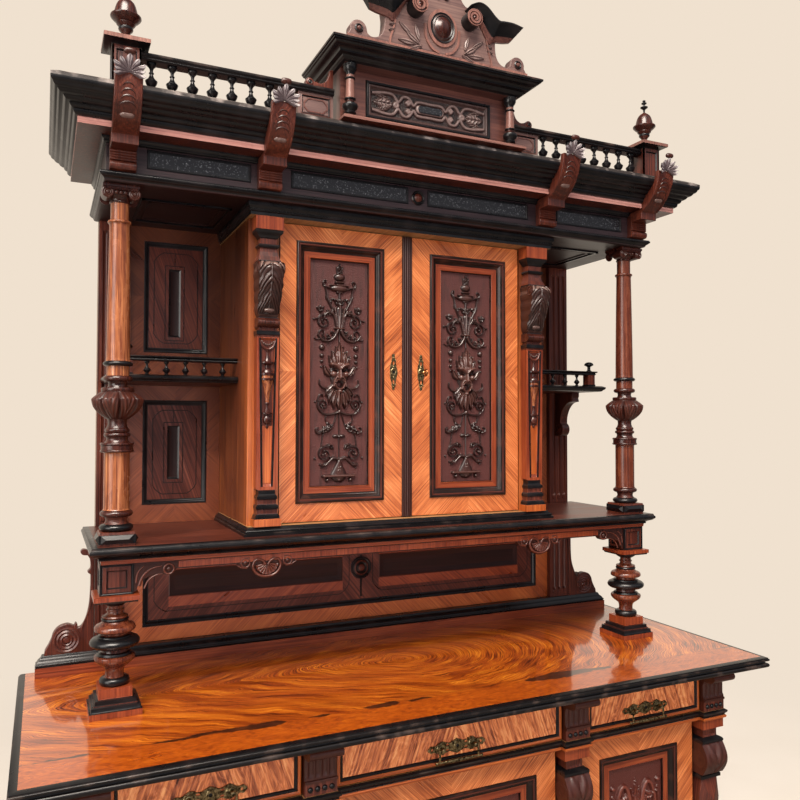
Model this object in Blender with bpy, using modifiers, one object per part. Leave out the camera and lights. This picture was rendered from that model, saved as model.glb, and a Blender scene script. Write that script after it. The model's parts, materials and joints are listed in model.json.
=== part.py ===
# Neo-Renaissance walnut buffet cabinet, built from its joinery.
# Metres, +Z up. The front faces -Y, the floor is Z = 0 and the back stands on Y = WORKTOP_DEPTH / 2.

import math

import bmesh
import bpy
from mathutils import Matrix

# Clearances
GAP = 0.0003              # between pieces that rest on each other
DOOR_GAP = 0.003          # beside a door
DOOR_LIFT = 0.002         # above and below a door
DRAWER_GAP = 0.0015       # round a drawer front
PIN_CLEARANCE = 0.0006    # round a pivot pin

# Base cabinet, seen from the front
WORKTOP_WIDTH = 1.65
WORKTOP_DEPTH = 0.62
WORKTOP_HEIGHT = 1.0
WORKTOP_THICKNESS = 0.026
SIDE_OVERHANG = 0.086     # worktop past the base at each side
FRONT_OVERHANG = 0.065    # worktop past the pilaster blocks
CENTRE_BAY = 0.529
PILASTER_WIDTH = 0.067
PILASTER_DEPTH = 0.055
PLINTH_HEIGHT = 0.12
PLINTH_SPREAD = 0.014     # foot of the plinth past the pilasters
BOTTOM_BOARD = 0.02
DECK_THICKNESS = 0.022
DRAWER_OPENING = 0.104
DRAWER_SETBACK = 0.013    # drawer faces behind the blocks
DOOR_SETBACK = 0.035      # door faces behind the blocks
PANEL = 0.02              # sides and partitions
BASE_BACK = 0.012

# Drawers and their pulls
DRAWER_FRONT = 0.02
DRAWER_BACK_ROOM = 0.06   # behind a closed drawer
DRAWER_SIDE_ROOM = 0.004
DRAWER_TOP_ROOM = 0.016
DRAWER_WALL = 0.01
DRAWER_FLOOR = 0.008
PLATE_WIDTH = 0.135
PLATE_HEIGHT = 0.031
PLATE_THICKNESS = 0.003
POST_SPREAD = 0.075       # between the two posts of a pull
POST_RADIUS = 0.0045
POST_LENGTH = 0.014
BAIL_DROP = 0.024
BAIL_WIRE = 0.0018
BAIL_BAR = 0.111
BAIL_BAR_RADIUS = 0.0042

# Doors
DOOR_THICKNESS = 0.024
PIN_RADIUS = 0.003
PIN_LENGTH = 0.008
PIN_INSET = 0.008         # pivot axis from the hinge edge
PIN_DEPTH = 0.004         # pivot axis behind the door face
BASE_DOOR_MARGIN = 0.05
MOULDING_PROUD = 0.005
MOULDING_BEAD = 0.009
MOULDING_OGEE = 0.013
MOULDING_SINK = 0.009
MOULDING_STRIP = 0.014

# Upper part: reach is measured forwards from the back of the cabinet
UPPER_SETBACK = 0.157     # upper back inside the end of the worktop
UPPER_BACK = 0.02
COLUMN_REACH = 0.314
COLUMN_INSET = 0.022      # column axis inside the end of the upper back
SPLASH_HEIGHT = 0.291     # worktop to the underside of the middle shelf
SHELF_THICKNESS = 0.035
SHELF_NOSE = 0.059        # shelf edge in front of the column axis
SHELF_END = 0.03          # shelf edge past the upper back
NICHE_HEIGHT = 0.711      # top of the middle shelf to the entablature
BACK_PILASTER_WIDTH = 0.066
BACK_PILASTER_PROUD = 0.015
BACK_PLINTH_PROUD = 0.034
BACK_PLINTH_HEIGHT = 0.045
BACK_PLINTH_INSET = 0.035  # plinth end inside the worktop end
EAR_THICKNESS = 0.018
EAR_HEIGHT = 0.23

# Cupboard between the niches
CUPBOARD_WIDTH = 0.765
CUPBOARD_BASE = 0.019
CUPBOARD_BASE_PROUD = 0.012
CUPBOARD_HEAD = 0.027
CUPBOARD_PILASTER = 0.069
CUPBOARD_PILASTER_DEPTH = 0.05
CUPBOARD_PILASTER_PROUD = 0.023   # pilaster face in front of the doors
CUPBOARD_DOOR_REACH = 0.302
CUPBOARD_SHELF = 0.018
CUPBOARD_SHELF_SETBACK = 0.03     # room for the lock behind the doors
ASTRAGAL_WIDTH = 0.025
ASTRAGAL_PROUD = 0.006
MEETING_GAP = 0.0015
UPPER_DOOR_SIDE = 0.0375  # moulding inside the hinge edge
UPPER_DOOR_MEETING = 0.034  # moulding outside the astragal
UPPER_DOOR_TOP = 0.033
UPPER_DOOR_BOTTOM = 0.04
KEY_HEIGHT = 0.34         # keyhole above the foot of the upper doors
KEY_OFFSET = 0.0235       # keyhole from the astragal
KEY_SHANK = 0.003

# Gallery shelves in the niches
GALLERY_HEIGHT = 0.329    # underside above the middle shelf
GALLERY_THICKNESS = 0.0156
GALLERY_REACH = 0.22
GALLERY_END = 0.006       # shelf end inside the end of the upper back
RAIL_HEIGHT = 0.041
RAIL_THICKNESS = 0.011
RAIL_DEPTH = 0.022
GALLERY_SPINDLES = 5
BRACKET_DROP = 0.13

# Entablature
FRIEZE_NOSE = 0.044       # frieze in front of the column axis
FRIEZE_END = 0.008        # frieze past the upper back
ARCHITRAVE_HEIGHT = 0.02
ARCHITRAVE_PROUD = 0.012
FRIEZE_HEIGHT = 0.067
SOFFIT_DEPTH = 0.054
FASCIA_HEIGHT = 0.013
CYMA_HEIGHT = 0.05
CYMA_PROUD = 0.047
CORNICE_CAP = 0.013
ENTABLATURE_WALL = 0.03
BRACKET_WIDTH = 0.05
INNER_BRACKET = 0.353     # from the middle of the cabinet
FRIEZE_PANEL_HEIGHT = 0.032
FRIEZE_PANEL_SINK = 0.005

# Gallery, attic and crest above the cornice
TOP_GALLERY_NOSE = 0.083  # gallery in front of the column axis
TOP_GALLERY_HEIGHT = 0.079
TOP_RAIL = 0.014
TOP_GALLERY_DEPTH = 0.024
TOP_PANEL = 0.078
TOP_SPINDLES = 8
POST_WIDTH = 0.052
POST_HEIGHT = 0.085
POST_CAP = 0.0092
POST_CAP_PROUD = 0.016
FINIAL_HEIGHT = 0.124
ATTIC_WIDTH = 0.43
ATTIC_NOSE = 0.106        # attic face in front of the column axis
ATTIC_DEPTH = 0.14
ATTIC_LEDGE = 0.008
ATTIC_LEDGE_PROUD = 0.04
ATTIC_BODY = 0.117
ATTIC_CORNICE = 0.038
ATTIC_CORNICE_PROUD = 0.042
COLONNETTE_INSET = 0.015  # axis inside the end of the attic
COLONNETTE_PROUD = 0.019  # axis in front of the attic face
CREST_WIDTH = 0.46
CREST_HEIGHT = 0.2
CREST_THICKNESS = 0.026
CREST_MOULDING = 0.03     # swan neck moulding in front of the crest board

TURN_STEPS = 10
SMALL_STEPS = 6

# Places worked out from the sizes above
BACK_Y = WORKTOP_DEPTH / 2
FRONT_Y = -WORKTOP_DEPTH / 2
BLOCK_Y = FRONT_Y + FRONT_OVERHANG
DRAWER_Y = BLOCK_Y + DRAWER_SETBACK
DOOR_Y = BLOCK_Y + DOOR_SETBACK
STILE_Y = BLOCK_Y + PILASTER_DEPTH
BASE_HALF = WORKTOP_WIDTH / 2 - SIDE_OVERHANG
OUTER_X = BASE_HALF - PILASTER_WIDTH / 2
INNER_X = CENTRE_BAY / 2 + PILASTER_WIDTH / 2
PILASTER_X = (-OUTER_X, -INNER_X, INNER_X, OUTER_X)
BAYS = (
    ("left", -OUTER_X + PILASTER_WIDTH / 2, -INNER_X - PILASTER_WIDTH / 2),
    ("center", -CENTRE_BAY / 2, CENTRE_BAY / 2),
    ("right", INNER_X + PILASTER_WIDTH / 2, OUTER_X - PILASTER_WIDTH / 2),
)
WORKTOP_Z = WORKTOP_HEIGHT - WORKTOP_THICKNESS
DECK_TOP = WORKTOP_Z - DRAWER_OPENING
DECK_Z = DECK_TOP - DECK_THICKNESS
SIDE_X = BASE_HALF - 0.004          # outer face of the base sides
PULL_Z = (DECK_TOP + WORKTOP_Z) / 2 - 0.018

UPPER_HALF = WORKTOP_WIDTH / 2 - UPPER_SETBACK
UPPER_Y = BACK_Y - UPPER_BACK       # front face of the upper back
COLUMN_X = UPPER_HALF - COLUMN_INSET
COLUMN_Y = BACK_Y - COLUMN_REACH
SHELF_Z = WORKTOP_HEIGHT + SPLASH_HEIGHT
SHELF_TOP = SHELF_Z + SHELF_THICKNESS
SHELF_Y = COLUMN_Y - SHELF_NOSE
ENTABLATURE_Z = SHELF_TOP + NICHE_HEIGHT
BACK_PILASTER_X = UPPER_HALF - BACK_PILASTER_WIDTH / 2
PLINTH_END = WORKTOP_WIDTH / 2 - BACK_PLINTH_INSET

CUPBOARD_HALF = CUPBOARD_WIDTH / 2
CUPBOARD_Y = BACK_Y - CUPBOARD_DOOR_REACH
CUPBOARD_FOOT = SHELF_TOP + CUPBOARD_BASE
CUPBOARD_TOP = ENTABLATURE_Z - CUPBOARD_HEAD
CUPBOARD_PILASTER_X = CUPBOARD_HALF - CUPBOARD_PILASTER / 2
CUPBOARD_PILASTER_Y = CUPBOARD_Y - CUPBOARD_PILASTER_PROUD
CUPBOARD_OPENING = CUPBOARD_HALF - CUPBOARD_PILASTER

FRIEZE_Y = COLUMN_Y - FRIEZE_NOSE
FRIEZE_HALF = UPPER_HALF + FRIEZE_END
SOFFIT_Z = ENTABLATURE_Z + ARCHITRAVE_HEIGHT + FRIEZE_HEIGHT
CORNICE_TOP = SOFFIT_Z + FASCIA_HEIGHT + CYMA_HEIGHT + CORNICE_CAP
GALLERY_Z = SHELF_TOP + GALLERY_HEIGHT
GALLERY_Y = BACK_Y - GALLERY_REACH
GALLERY_X = UPPER_HALF - GALLERY_END
TOP_GALLERY_Y = COLUMN_Y - TOP_GALLERY_NOSE
ATTIC_HALF = ATTIC_WIDTH / 2
ATTIC_Y = COLUMN_Y - ATTIC_NOSE
ATTIC_BODY_Z = CORNICE_TOP + ATTIC_LEDGE
ATTIC_CORNICE_Z = ATTIC_BODY_Z + ATTIC_BODY
ATTIC_TOP = ATTIC_CORNICE_Z + ATTIC_CORNICE
CREST_Y = ATTIC_Y - 0.044

for old in list(bpy.data.objects):
    bpy.data.objects.remove(old, do_unlink=True)
PARTS = bpy.data.collections.new("buffet_cabinet")
CUTTERS = bpy.data.collections.new("cutters")
bpy.context.scene.collection.children.link(PARTS)
bpy.context.scene.collection.children.link(CUTTERS)


def material(name, colour, roughness, metallic=0.0):
    made = bpy.data.materials.new(name)
    made.use_nodes = True
    shader = made.node_tree.nodes["Principled BSDF"]
    shader.inputs["Base Color"].default_value = (*colour, 1.0)
    shader.inputs["Roughness"].default_value = roughness
    shader.inputs["Metallic"].default_value = metallic
    return made


FINISHES = {
    "walnut": ((0.27, 0.085, 0.022), 0.25, 0.0),
    "carved": ((0.075, 0.022, 0.014), 0.35, 0.0),
    "ebonised": ((0.012, 0.010, 0.010), 0.25, 0.0),
    "brass": ((0.42, 0.30, 0.12), 0.35, 1.0),
    "oak": ((0.35, 0.22, 0.11), 0.6, 0.0),
}


def place(name, bm, finish=None):
    # A finish makes a part, and none makes a hidden tool for a Boolean.
    bmesh.ops.recalc_face_normals(bm, faces=bm.faces)
    mesh = bpy.data.meshes.new(name)
    bm.to_mesh(mesh)
    bm.free()
    return place_mesh(name, mesh, finish)


def place_mesh(name, mesh, finish=None):
    piece = bpy.data.objects.new(name, mesh)
    if finish is None:
        CUTTERS.objects.link(piece)
        piece.hide_render = True
        piece.display_type = "WIRE"
    else:
        PARTS.objects.link(piece)
        mesh.materials.clear()
        mesh.materials.append(material(name, *FINISHES[finish]))
        mesh.shade_smooth()
        mesh.set_sharp_from_angle(angle=math.radians(50))
    return piece


def boolean(piece, tool, operation):
    change = piece.modifiers.new(f"{operation.lower()} {tool.name}", "BOOLEAN")
    change.operation = operation
    change.object = tool
    change.solver = "EXACT"


def join(piece, tool):
    boolean(piece, tool, "UNION")


def cut(piece, tool):
    boolean(piece, tool, "DIFFERENCE")


def evaluated_mesh(source):
    graph = bpy.context.evaluated_depsgraph_get()
    mesh = bpy.data.meshes.new_from_object(source.evaluated_get(graph))
    bpy.data.objects.remove(source, do_unlink=True)
    return mesh


def box(bm, x0, x1, y0, y1, z0, z1):
    middle = Matrix.Translation(((x0 + x1) / 2, (y0 + y1) / 2, (z0 + z1) / 2))
    size = Matrix.Diagonal((x1 - x0, y1 - y0, z1 - z0, 1.0))
    bmesh.ops.create_cube(bm, size=1.0, matrix=middle @ size)


def board(name, x0, x1, y0, y1, z0, z1, finish=None):
    bm = bmesh.new()
    box(bm, x0, x1, y0, y1, z0, z1)
    return place(name, bm, finish)


def rod(bm, radius, start, end, steps=SMALL_STEPS):
    # A round bar along X, Y or Z, between two heights on its axis.
    axis = [index for index in range(3) if abs(end[index] - start[index]) > 1e-9][0]
    turn = (Matrix.Rotation(math.pi / 2, 4, "Y"), Matrix.Rotation(math.pi / 2, 4, "X"), Matrix())[axis]
    middle = Matrix.Translation([(a + b) / 2 for a, b in zip(start, end)])
    bmesh.ops.create_cone(bm, cap_ends=True, segments=steps, radius1=radius, radius2=radius,
                          depth=abs(end[axis] - start[axis]), matrix=middle @ turn)


def loft(bm, rings):
    loops = [[bm.verts.new(point) for point in ring] for ring in rings]
    for lower, upper in zip(loops, loops[1:]):
        for index in range(len(lower)):
            after = (index + 1) % len(lower)
            bm.faces.new((lower[index], lower[after], upper[after], upper[index]))
    bm.faces.new(reversed(loops[0]))
    bm.faces.new(loops[-1])


def outset(outline, amount, plain):
    # A right-angled outline moved outwards, except along its plain edges.
    count = len(outline)
    normals = []
    for index in range(count):
        x0, y0 = outline[index]
        x1, y1 = outline[(index + 1) % count]
        length = math.hypot(x1 - x0, y1 - y0)
        move = 0.0 if index in plain else amount
        normals.append(((y1 - y0) / length * move, (x0 - x1) / length * move))
    return [(x + normals[i - 1][0] + normals[i][0], y + normals[i - 1][1] + normals[i][1])
            for i, (x, y) in enumerate(outline)]


def moulded(bm, outline, profile, base, plain=()):
    # A moulding, given as outset and height, run round an outline.
    loft(bm, [[(x, y, base + height) for x, y in outset(outline, amount, plain)]
              for amount, height in profile])


def oblong(x0, x1, front, back):
    return [(x0, back), (x0, front), (x1, front), (x1, back)]


OBLONG_BACK = 3           # the edge of an oblong that lies on the wall


def stacked(bm, x, front, back, rings):
    # A post of oblong rings, each given as height, half width and how far it stands proud.
    loft(bm, [[(x - half, back, z), (x - half, front - proud, z), (x + half, front - proud, z),
               (x + half, back, z)] for z, half, proud in rings])


def arc(cx, cz, radius, start, end, steps):
    return [(cx + radius * math.cos(math.radians(start + (end - start) * i / steps)),
             cz + radius * math.sin(math.radians(start + (end - start) * i / steps)))
            for i in range(steps + 1)]


def flat_shape(name, outlines, thickness):
    # A flat outline with its holes, in the XY plane, centred on its thickness.
    curve = bpy.data.curves.new(name, "CURVE")
    curve.dimensions = "2D"
    curve.fill_mode = "BOTH"
    curve.extrude = thickness / 2
    for points in outlines:
        spline = curve.splines.new("POLY")
        spline.points.add(len(points) - 1)
        for point, (x, y) in zip(spline.points, points):
            point.co = (x, y, 0.0, 1.0)
        spline.use_cyclic_u = True
    source = bpy.data.objects.new(name, curve)
    CUTTERS.objects.link(source)
    mesh = evaluated_mesh(source)
    bm = bmesh.new()
    bm.from_mesh(mesh)
    bpy.data.meshes.remove(mesh)
    bmesh.ops.remove_doubles(bm, verts=bm.verts, dist=0.00001)
    return bm


def in_xz(bm, y):
    # Turns a flat shape drawn in X and Z to stand at a depth.
    bmesh.ops.transform(bm, matrix=Matrix.Translation((0, y, 0)) @ Matrix.Rotation(math.pi / 2, 4, "X"),
                        verts=bm.verts)
    return bm


def in_yz(bm, x):
    # Turns a flat shape drawn in Y and Z to stand across a place along X.
    turn = Matrix(((0, 0, 1, x), (1, 0, 0, 0), (0, 1, 0, 0), (0, 0, 0, 1)))
    bmesh.ops.transform(bm, matrix=turn, verts=bm.verts)
    return bm


def drum(height, radius, top=None):
    return [(radius, 0.0), (radius if top is None else top, height)]


def torus(height, radius, bulge, steps=3):
    return [(radius + bulge * math.sin(math.pi * i / steps),
             height * (1 - math.cos(math.pi * i / steps)) / 2) for i in range(steps + 1)]


def bulb(height, bottom, widest, top, rise, steps=3):
    # A swelling form that is widest at a share of its height.
    points = []
    for i in range(steps + 1):
        share = math.sin(math.pi / 2 * i / steps)
        points.append((bottom + (widest - bottom) * share, height * rise * (i / steps) ** 1.2))
    for i in range(1, steps + 1):
        share = 1 - math.cos(math.pi / 2 * (1 - i / steps))
        points.append((top + (widest - top) * math.sqrt(share), height * (rise + (1 - rise) * i / steps)))
    return points


def turned_profile(members):
    # Members stacked from the bottom, as radius and height.
    points = []
    level = 0.0
    for member in members:
        for radius, height in member:
            point = (radius, level + height)
            if not points or math.dist(points[-1], point) > 0.00005:
                points.append(point)
        level += member[-1][1]
    return points


def turned_mesh(name, profile, steps):
    # Screw of a profile that runs down its outer side, closed on its axis at both ends.
    down = [(0.0, profile[-1][1])] + profile[::-1] + [(0.0, profile[0][1])]
    mesh = bpy.data.meshes.new(name)
    mesh.from_pydata([(radius, 0.0, height) for radius, height in down],
                     [(i, i + 1) for i in range(len(down) - 1)], [])
    source = bpy.data.objects.new(name, mesh)
    CUTTERS.objects.link(source)
    screw = source.modifiers.new("turn", "SCREW")
    screw.steps = steps
    screw.render_steps = steps
    screw.use_merge_vertices = True
    screw.merge_threshold = 0.00005
    return evaluated_mesh(source)


def turned(bm, profile, at, steps=SMALL_STEPS):
    mesh = turned_mesh("turning", profile, steps)
    mesh.transform(Matrix.Translation(at))
    bm.from_mesh(mesh)
    bpy.data.meshes.remove(mesh)


def height_of(members):
    return sum(member[-1][1] for member in members)


def broken_front(half, face, recess, back):
    # The base from above: its front steps forward round each pilaster.
    points = [(-half, back), (-half, face)]
    for _, start, end in BAYS:
        points += [(start, face), (start, recess), (end, recess), (end, face)]
    return points + [(half, face), (half, back)]


BROKEN_BACK = 4 * len(BAYS) + 3


def pin_sockets(name, places, z0, z1):
    bm = bmesh.new()
    for x, y in places:
        rod(bm, PIN_RADIUS + PIN_CLEARANCE, (x, y, z0), (x, y, z1))
    return place(name, bm)


def door_pin(x0, x1, hinge, face):
    # Pivot axis of a door hung on its left or right edge.
    x = x0 + PIN_INSET if hinge < 0 else x1 - PIN_INSET
    return x, face + PIN_DEPTH


BASE_DOORS = [(side, start + DOOR_GAP, end - DOOR_GAP, 1 if side == "right" else -1)
              for side, start, end in BAYS]
UPPER_DOORS = (
    ("left", -CUPBOARD_OPENING + DOOR_GAP, -ASTRAGAL_WIDTH / 2 - MEETING_GAP, -1),
    ("right", -ASTRAGAL_WIDTH / 2, CUPBOARD_OPENING - DOOR_GAP, 1),
)
BASE_PINS = [door_pin(x0, x1, hinge, DOOR_Y) for _, x0, x1, hinge in BASE_DOORS]
UPPER_PINS = [door_pin(x0, x1, hinge, CUPBOARD_Y) for _, x0, x1, hinge in UPPER_DOORS]


def make_plinth():
    bm = bmesh.new()
    spread = PLINTH_SPREAD
    profile = [(spread, 0), (spread, 0.07), (spread - 0.004, 0.074), (spread - 0.004, 0.086),
               (spread - 0.008, 0.092), (0.002, 0.104), (0.002, PLINTH_HEIGHT)]
    moulded(bm, broken_front(BASE_HALF, BLOCK_Y - 0.004, DOOR_Y - 0.01, BACK_Y), profile, 0.0,
            plain=(BROKEN_BACK,))
    plinth = place("base_plinth", bm, "walnut")
    hollow = board("plinth_hollow", -BASE_HALF + 0.03, BASE_HALF - 0.03, DOOR_Y + 0.02, BACK_Y - 0.03,
                   -0.01, PLINTH_HEIGHT - BOTTOM_BOARD)
    cut(plinth, hollow)
    cut(plinth, pin_sockets("plinth_sockets", BASE_PINS, PLINTH_HEIGHT - PIN_LENGTH, PLINTH_HEIGHT + 0.01))


def upright_boxes(grow):
    # Sides and partitions of the base, from the plinth to the worktop.
    housed = BACK_Y - BASE_BACK + 0.002
    for name, x0, x1 in (
        ("base_side_left", -SIDE_X, -SIDE_X + PANEL),
        ("base_side_right", SIDE_X - PANEL, SIDE_X),
        ("partition_left", -INNER_X - PANEL / 2, -INNER_X + PANEL / 2),
        ("partition_right", INNER_X - PANEL / 2, INNER_X + PANEL / 2),
    ):
        rear = BACK_Y if "side" in name else housed
        yield name, x0 - grow, x1 + grow, STILE_Y + GAP - grow, rear + grow


def make_base_case():
    inside = SIDE_X - PANEL - GAP
    low = PLINTH_HEIGHT + GAP
    high = WORKTOP_Z - GAP
    back = board("base_back", -inside, inside, BACK_Y - BASE_BACK, BACK_Y, low, high, "oak")
    for name, x0, x1, y0, y1 in upright_boxes(0.0):
        if "side" in name:
            board(name, x0, x1, y0, y1, low, high, "walnut")
        else:
            # The partitions are glued into the back.
            join(back, board(name, x0, x1, y0, y1, low, high))
    bm = bmesh.new()
    top = DECK_THICKNESS
    profile = [(0, 0), (0.004, 0.003), (0.004, 0.007), (0.001, 0.010), (0.006, 0.015),
               (0.006, top - 0.003),
               (0.001, top)]
    moulded(bm, broken_front(BASE_HALF, BLOCK_Y, DRAWER_Y, BACK_Y - BASE_BACK - GAP), profile, DECK_Z,
            plain=(BROKEN_BACK,))
    deck = place("drawer_deck", bm, "ebonised")
    bm = bmesh.new()
    for _, x0, x1, y0, y1 in upright_boxes(GAP):
        box(bm, x0, x1, y0, y1 + 0.02, DECK_Z - 0.01, DECK_TOP + 0.01)
    cut(deck, place("deck_slots", bm))
    cut(deck, pin_sockets("deck_sockets", BASE_PINS, DECK_Z - 0.01, DECK_Z + PIN_LENGTH))
    bm = bmesh.new()
    edge = WORKTOP_THICKNESS
    profile = [(-0.014, 0), (-0.006, 0.0015), (-0.002, 0.005), (-0.002, 0.009), (-0.007, 0.012),
               (-0.007, edge - 0.009), (-0.003, edge - 0.007), (0, edge - 0.004), (-0.003, edge)]
    moulded(bm, oblong(-WORKTOP_WIDTH / 2, WORKTOP_WIDTH / 2, FRONT_Y, BACK_Y), profile, WORKTOP_Z,
            plain=(OBLONG_BACK,))
    place("worktop", bm, "walnut")


def make_consoles():
    half = PILASTER_WIDTH / 2
    top = DECK_Z - GAP
    foot = PLINTH_HEIGHT + GAP
    volute = [(top - 0.057 - 0.074 * i / 6, half, -0.006 + 0.016 * math.sin(math.pi * i / 6))
              for i in range(7)]
    rings = [(top, half, -0.003), (top - 0.022, half, -0.003),
             (top - 0.0225, half - 0.0115, -0.014), (top - 0.045, half - 0.0115, -0.014),
             (top - 0.048, half - 0.003, -0.008), (top - 0.051, half, -0.003), (top - 0.056, half, -0.003)]
    rings += volute
    rings += [(top - 0.133, half - 0.006, -0.016), (top - 0.137, half - 0.002, -0.011),
              (top - 0.143, half - 0.002, -0.011), (top - 0.146, half - 0.008, -0.018),
              (top - 0.196, half - 0.001, -0.007), (top - 0.246, half - 0.008, -0.018),
              (top - 0.252, half - 0.004, -0.013), (top - 0.258, half - 0.010, -0.020),
              (foot + 0.105, half - 0.007, -0.018), (foot + 0.095, half - 0.003, -0.012),
              (foot + 0.070, half, -0.004), (foot, half, -0.004)]
    for number, x in enumerate(PILASTER_X, start=1):
        bm = bmesh.new()
        stacked(bm, x, BLOCK_Y, STILE_Y, rings)
        place(f"base_console_{number}", bm, "carved")


def make_blocks():
    half = PILASTER_WIDTH / 2 - 0.001
    low = DECK_TOP + GAP
    high = WORKTOP_Z - GAP
    roll = [(high - 0.030 + 0.026 * (1 - math.cos(math.pi * i / 5)) / 2, half + 0.001,
             0.012 + 0.023 * math.sin(math.pi * i / 5)) for i in range(6)]
    rings = [(low, half, 0), (low + 0.023, half, 0), (low + 0.0235, half + 0.001, 0.003),
             (low + 0.028, half + 0.001, 0.003), (low + 0.0285, half, 0), (high - 0.0305, half, 0)]
    rings += roll + [(high, half, 0.012)]
    flute_width = 0.006
    for number, x in enumerate(PILASTER_X, start=1):
        bm = bmesh.new()
        stacked(bm, x, BLOCK_Y, STILE_Y, rings)
        block = place(f"drawer_block_{number}", bm, "carved")
        bm = bmesh.new()
        for place_along in (-0.021, -0.007, 0.007, 0.021):
            box(bm, x + place_along - flute_width / 2, x + place_along + flute_width / 2,
                BLOCK_Y - 0.002, BLOCK_Y + 0.003, low + 0.034, high - 0.036)
        cut(block, place(f"block_flutes_{number}", bm))


def rect_xz(x0, x1, z0, z1, inset, y):
    return [(x0 + inset, y, z0 + inset), (x1 - inset, y, z0 + inset),
            (x1 - inset, y, z1 - inset), (x0 + inset, y, z1 - inset)]


def panelled(bm, outer, inner, face, thickness, steps):
    # A board whose face carries a mitred frame: steps are inset and how far they stand proud.
    rings = [rect_xz(*outer, 0, face + thickness), rect_xz(*outer, 0, face), rect_xz(*inner, 0, face)]
    rings += [rect_xz(*inner, inset, face - proud) for inset, proud in steps]
    loft(bm, rings)


def door_moulding():
    bead = MOULDING_BEAD
    ogee = bead + MOULDING_OGEE
    strip = ogee + MOULDING_STRIP
    sink = MOULDING_SINK
    return [(0.002, MOULDING_PROUD), (bead - 0.002, MOULDING_PROUD), (bead, MOULDING_PROUD - 0.003),
            (bead + 0.006, -sink * 0.4), (ogee - 0.003, -sink), (strip, -sink),
            (strip + 0.001, -sink - 0.002)]


def add_pins(door, pin, z0, z1):
    bm = bmesh.new()
    x, y = pin
    root = 0.002          # length of a pin inside the door
    rod(bm, PIN_RADIUS, (x, y, z0 - PIN_LENGTH + DOOR_LIFT), (x, y, z0 + root))
    rod(bm, PIN_RADIUS, (x, y, z1 - root), (x, y, z1 + PIN_LENGTH - DOOR_LIFT))
    join(door, place(f"{door.name}_pins", bm))


def set_origin(piece, point):
    # Moves an object's origin to its joint's axis and leaves its shape where it is.
    piece.data.transform(Matrix.Translation([-value for value in point]))
    piece.location = point


def make_base_doors():
    z0 = PLINTH_HEIGHT + DOOR_LIFT
    z1 = DECK_Z - DOOR_LIFT
    margin = BASE_DOOR_MARGIN
    for (side, x0, x1, hinge), pin in zip(BASE_DOORS, BASE_PINS):
        bm = bmesh.new()
        inner = (x0 + margin, x1 - margin, z0 + margin, z1 - margin)
        panelled(bm, (x0, x1, z0, z1), inner, DOOR_Y, DOOR_THICKNESS, door_moulding())
        door = place(f"base_door_{side}", bm, "walnut")
        add_pins(door, pin, z0, z1)
        set_origin(door, (*pin, z0))


def make_drawers():
    z0 = DECK_TOP + DRAWER_GAP
    z1 = WORKTOP_Z - DRAWER_GAP
    frame = 0.007
    steps = [(0.0015, 0.003), (0.0045, 0.003), (0.006, 0.0), (0.008, -0.002)]
    for side, start, end in BAYS:
        x0 = start + DRAWER_GAP
        x1 = end - DRAWER_GAP
        bm = bmesh.new()
        panelled(bm, (x0, x1, z0, z1), (x0 + frame, x1 - frame, z0 + frame, z1 - frame), DRAWER_Y,
                 DRAWER_FRONT, steps)
        place(f"drawer_front_{side}", bm, "walnut")
        y0 = DRAWER_Y + DRAWER_FRONT + GAP
        y1 = BACK_Y - BASE_BACK - DRAWER_BACK_ROOM
        x0 = start + DRAWER_SIDE_ROOM
        x1 = end - DRAWER_SIDE_ROOM
        low = DECK_TOP + GAP
        high = WORKTOP_Z - DRAWER_TOP_ROOM
        tray = board(f"drawer_box_{side}", x0, x1, y0, y1, low, high, "oak")
        cut(tray, board(f"drawer_inside_{side}", x0 + DRAWER_WALL, x1 - DRAWER_WALL, y0 + DRAWER_WALL,
                        y1 - DRAWER_WALL, low + DRAWER_FLOOR, high + 0.01))
        make_pull(side, (start + end) / 2)


def plate_outline():
    # A cartouche: a round end at each post, drawn in to the middle and peaked at the centre.
    half = PLATE_WIDTH / 2
    end = PLATE_HEIGHT * 0.42
    peak = PLATE_HEIGHT / 2
    post = POST_SPREAD / 2
    right = arc(post, 0, end, -125, 125, 6)
    right[3] = (half, 0.0)
    neck = [(post * 0.45, end * 0.45), (post * 0.28, peak * 0.85)]
    top_half = right + neck + [(0.0, peak)]
    mirrored = [(-x, z) for x, z in reversed(neck)] + [(-x, -z) for x, z in right]
    low_neck = [(-post * 0.45, -end * 0.45), (-post * 0.2, -peak * 0.8), (0.0, -peak),
                (post * 0.2, -peak * 0.8),
                (post * 0.45, -end * 0.45)]
    return top_half + mirrored + low_neck


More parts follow.
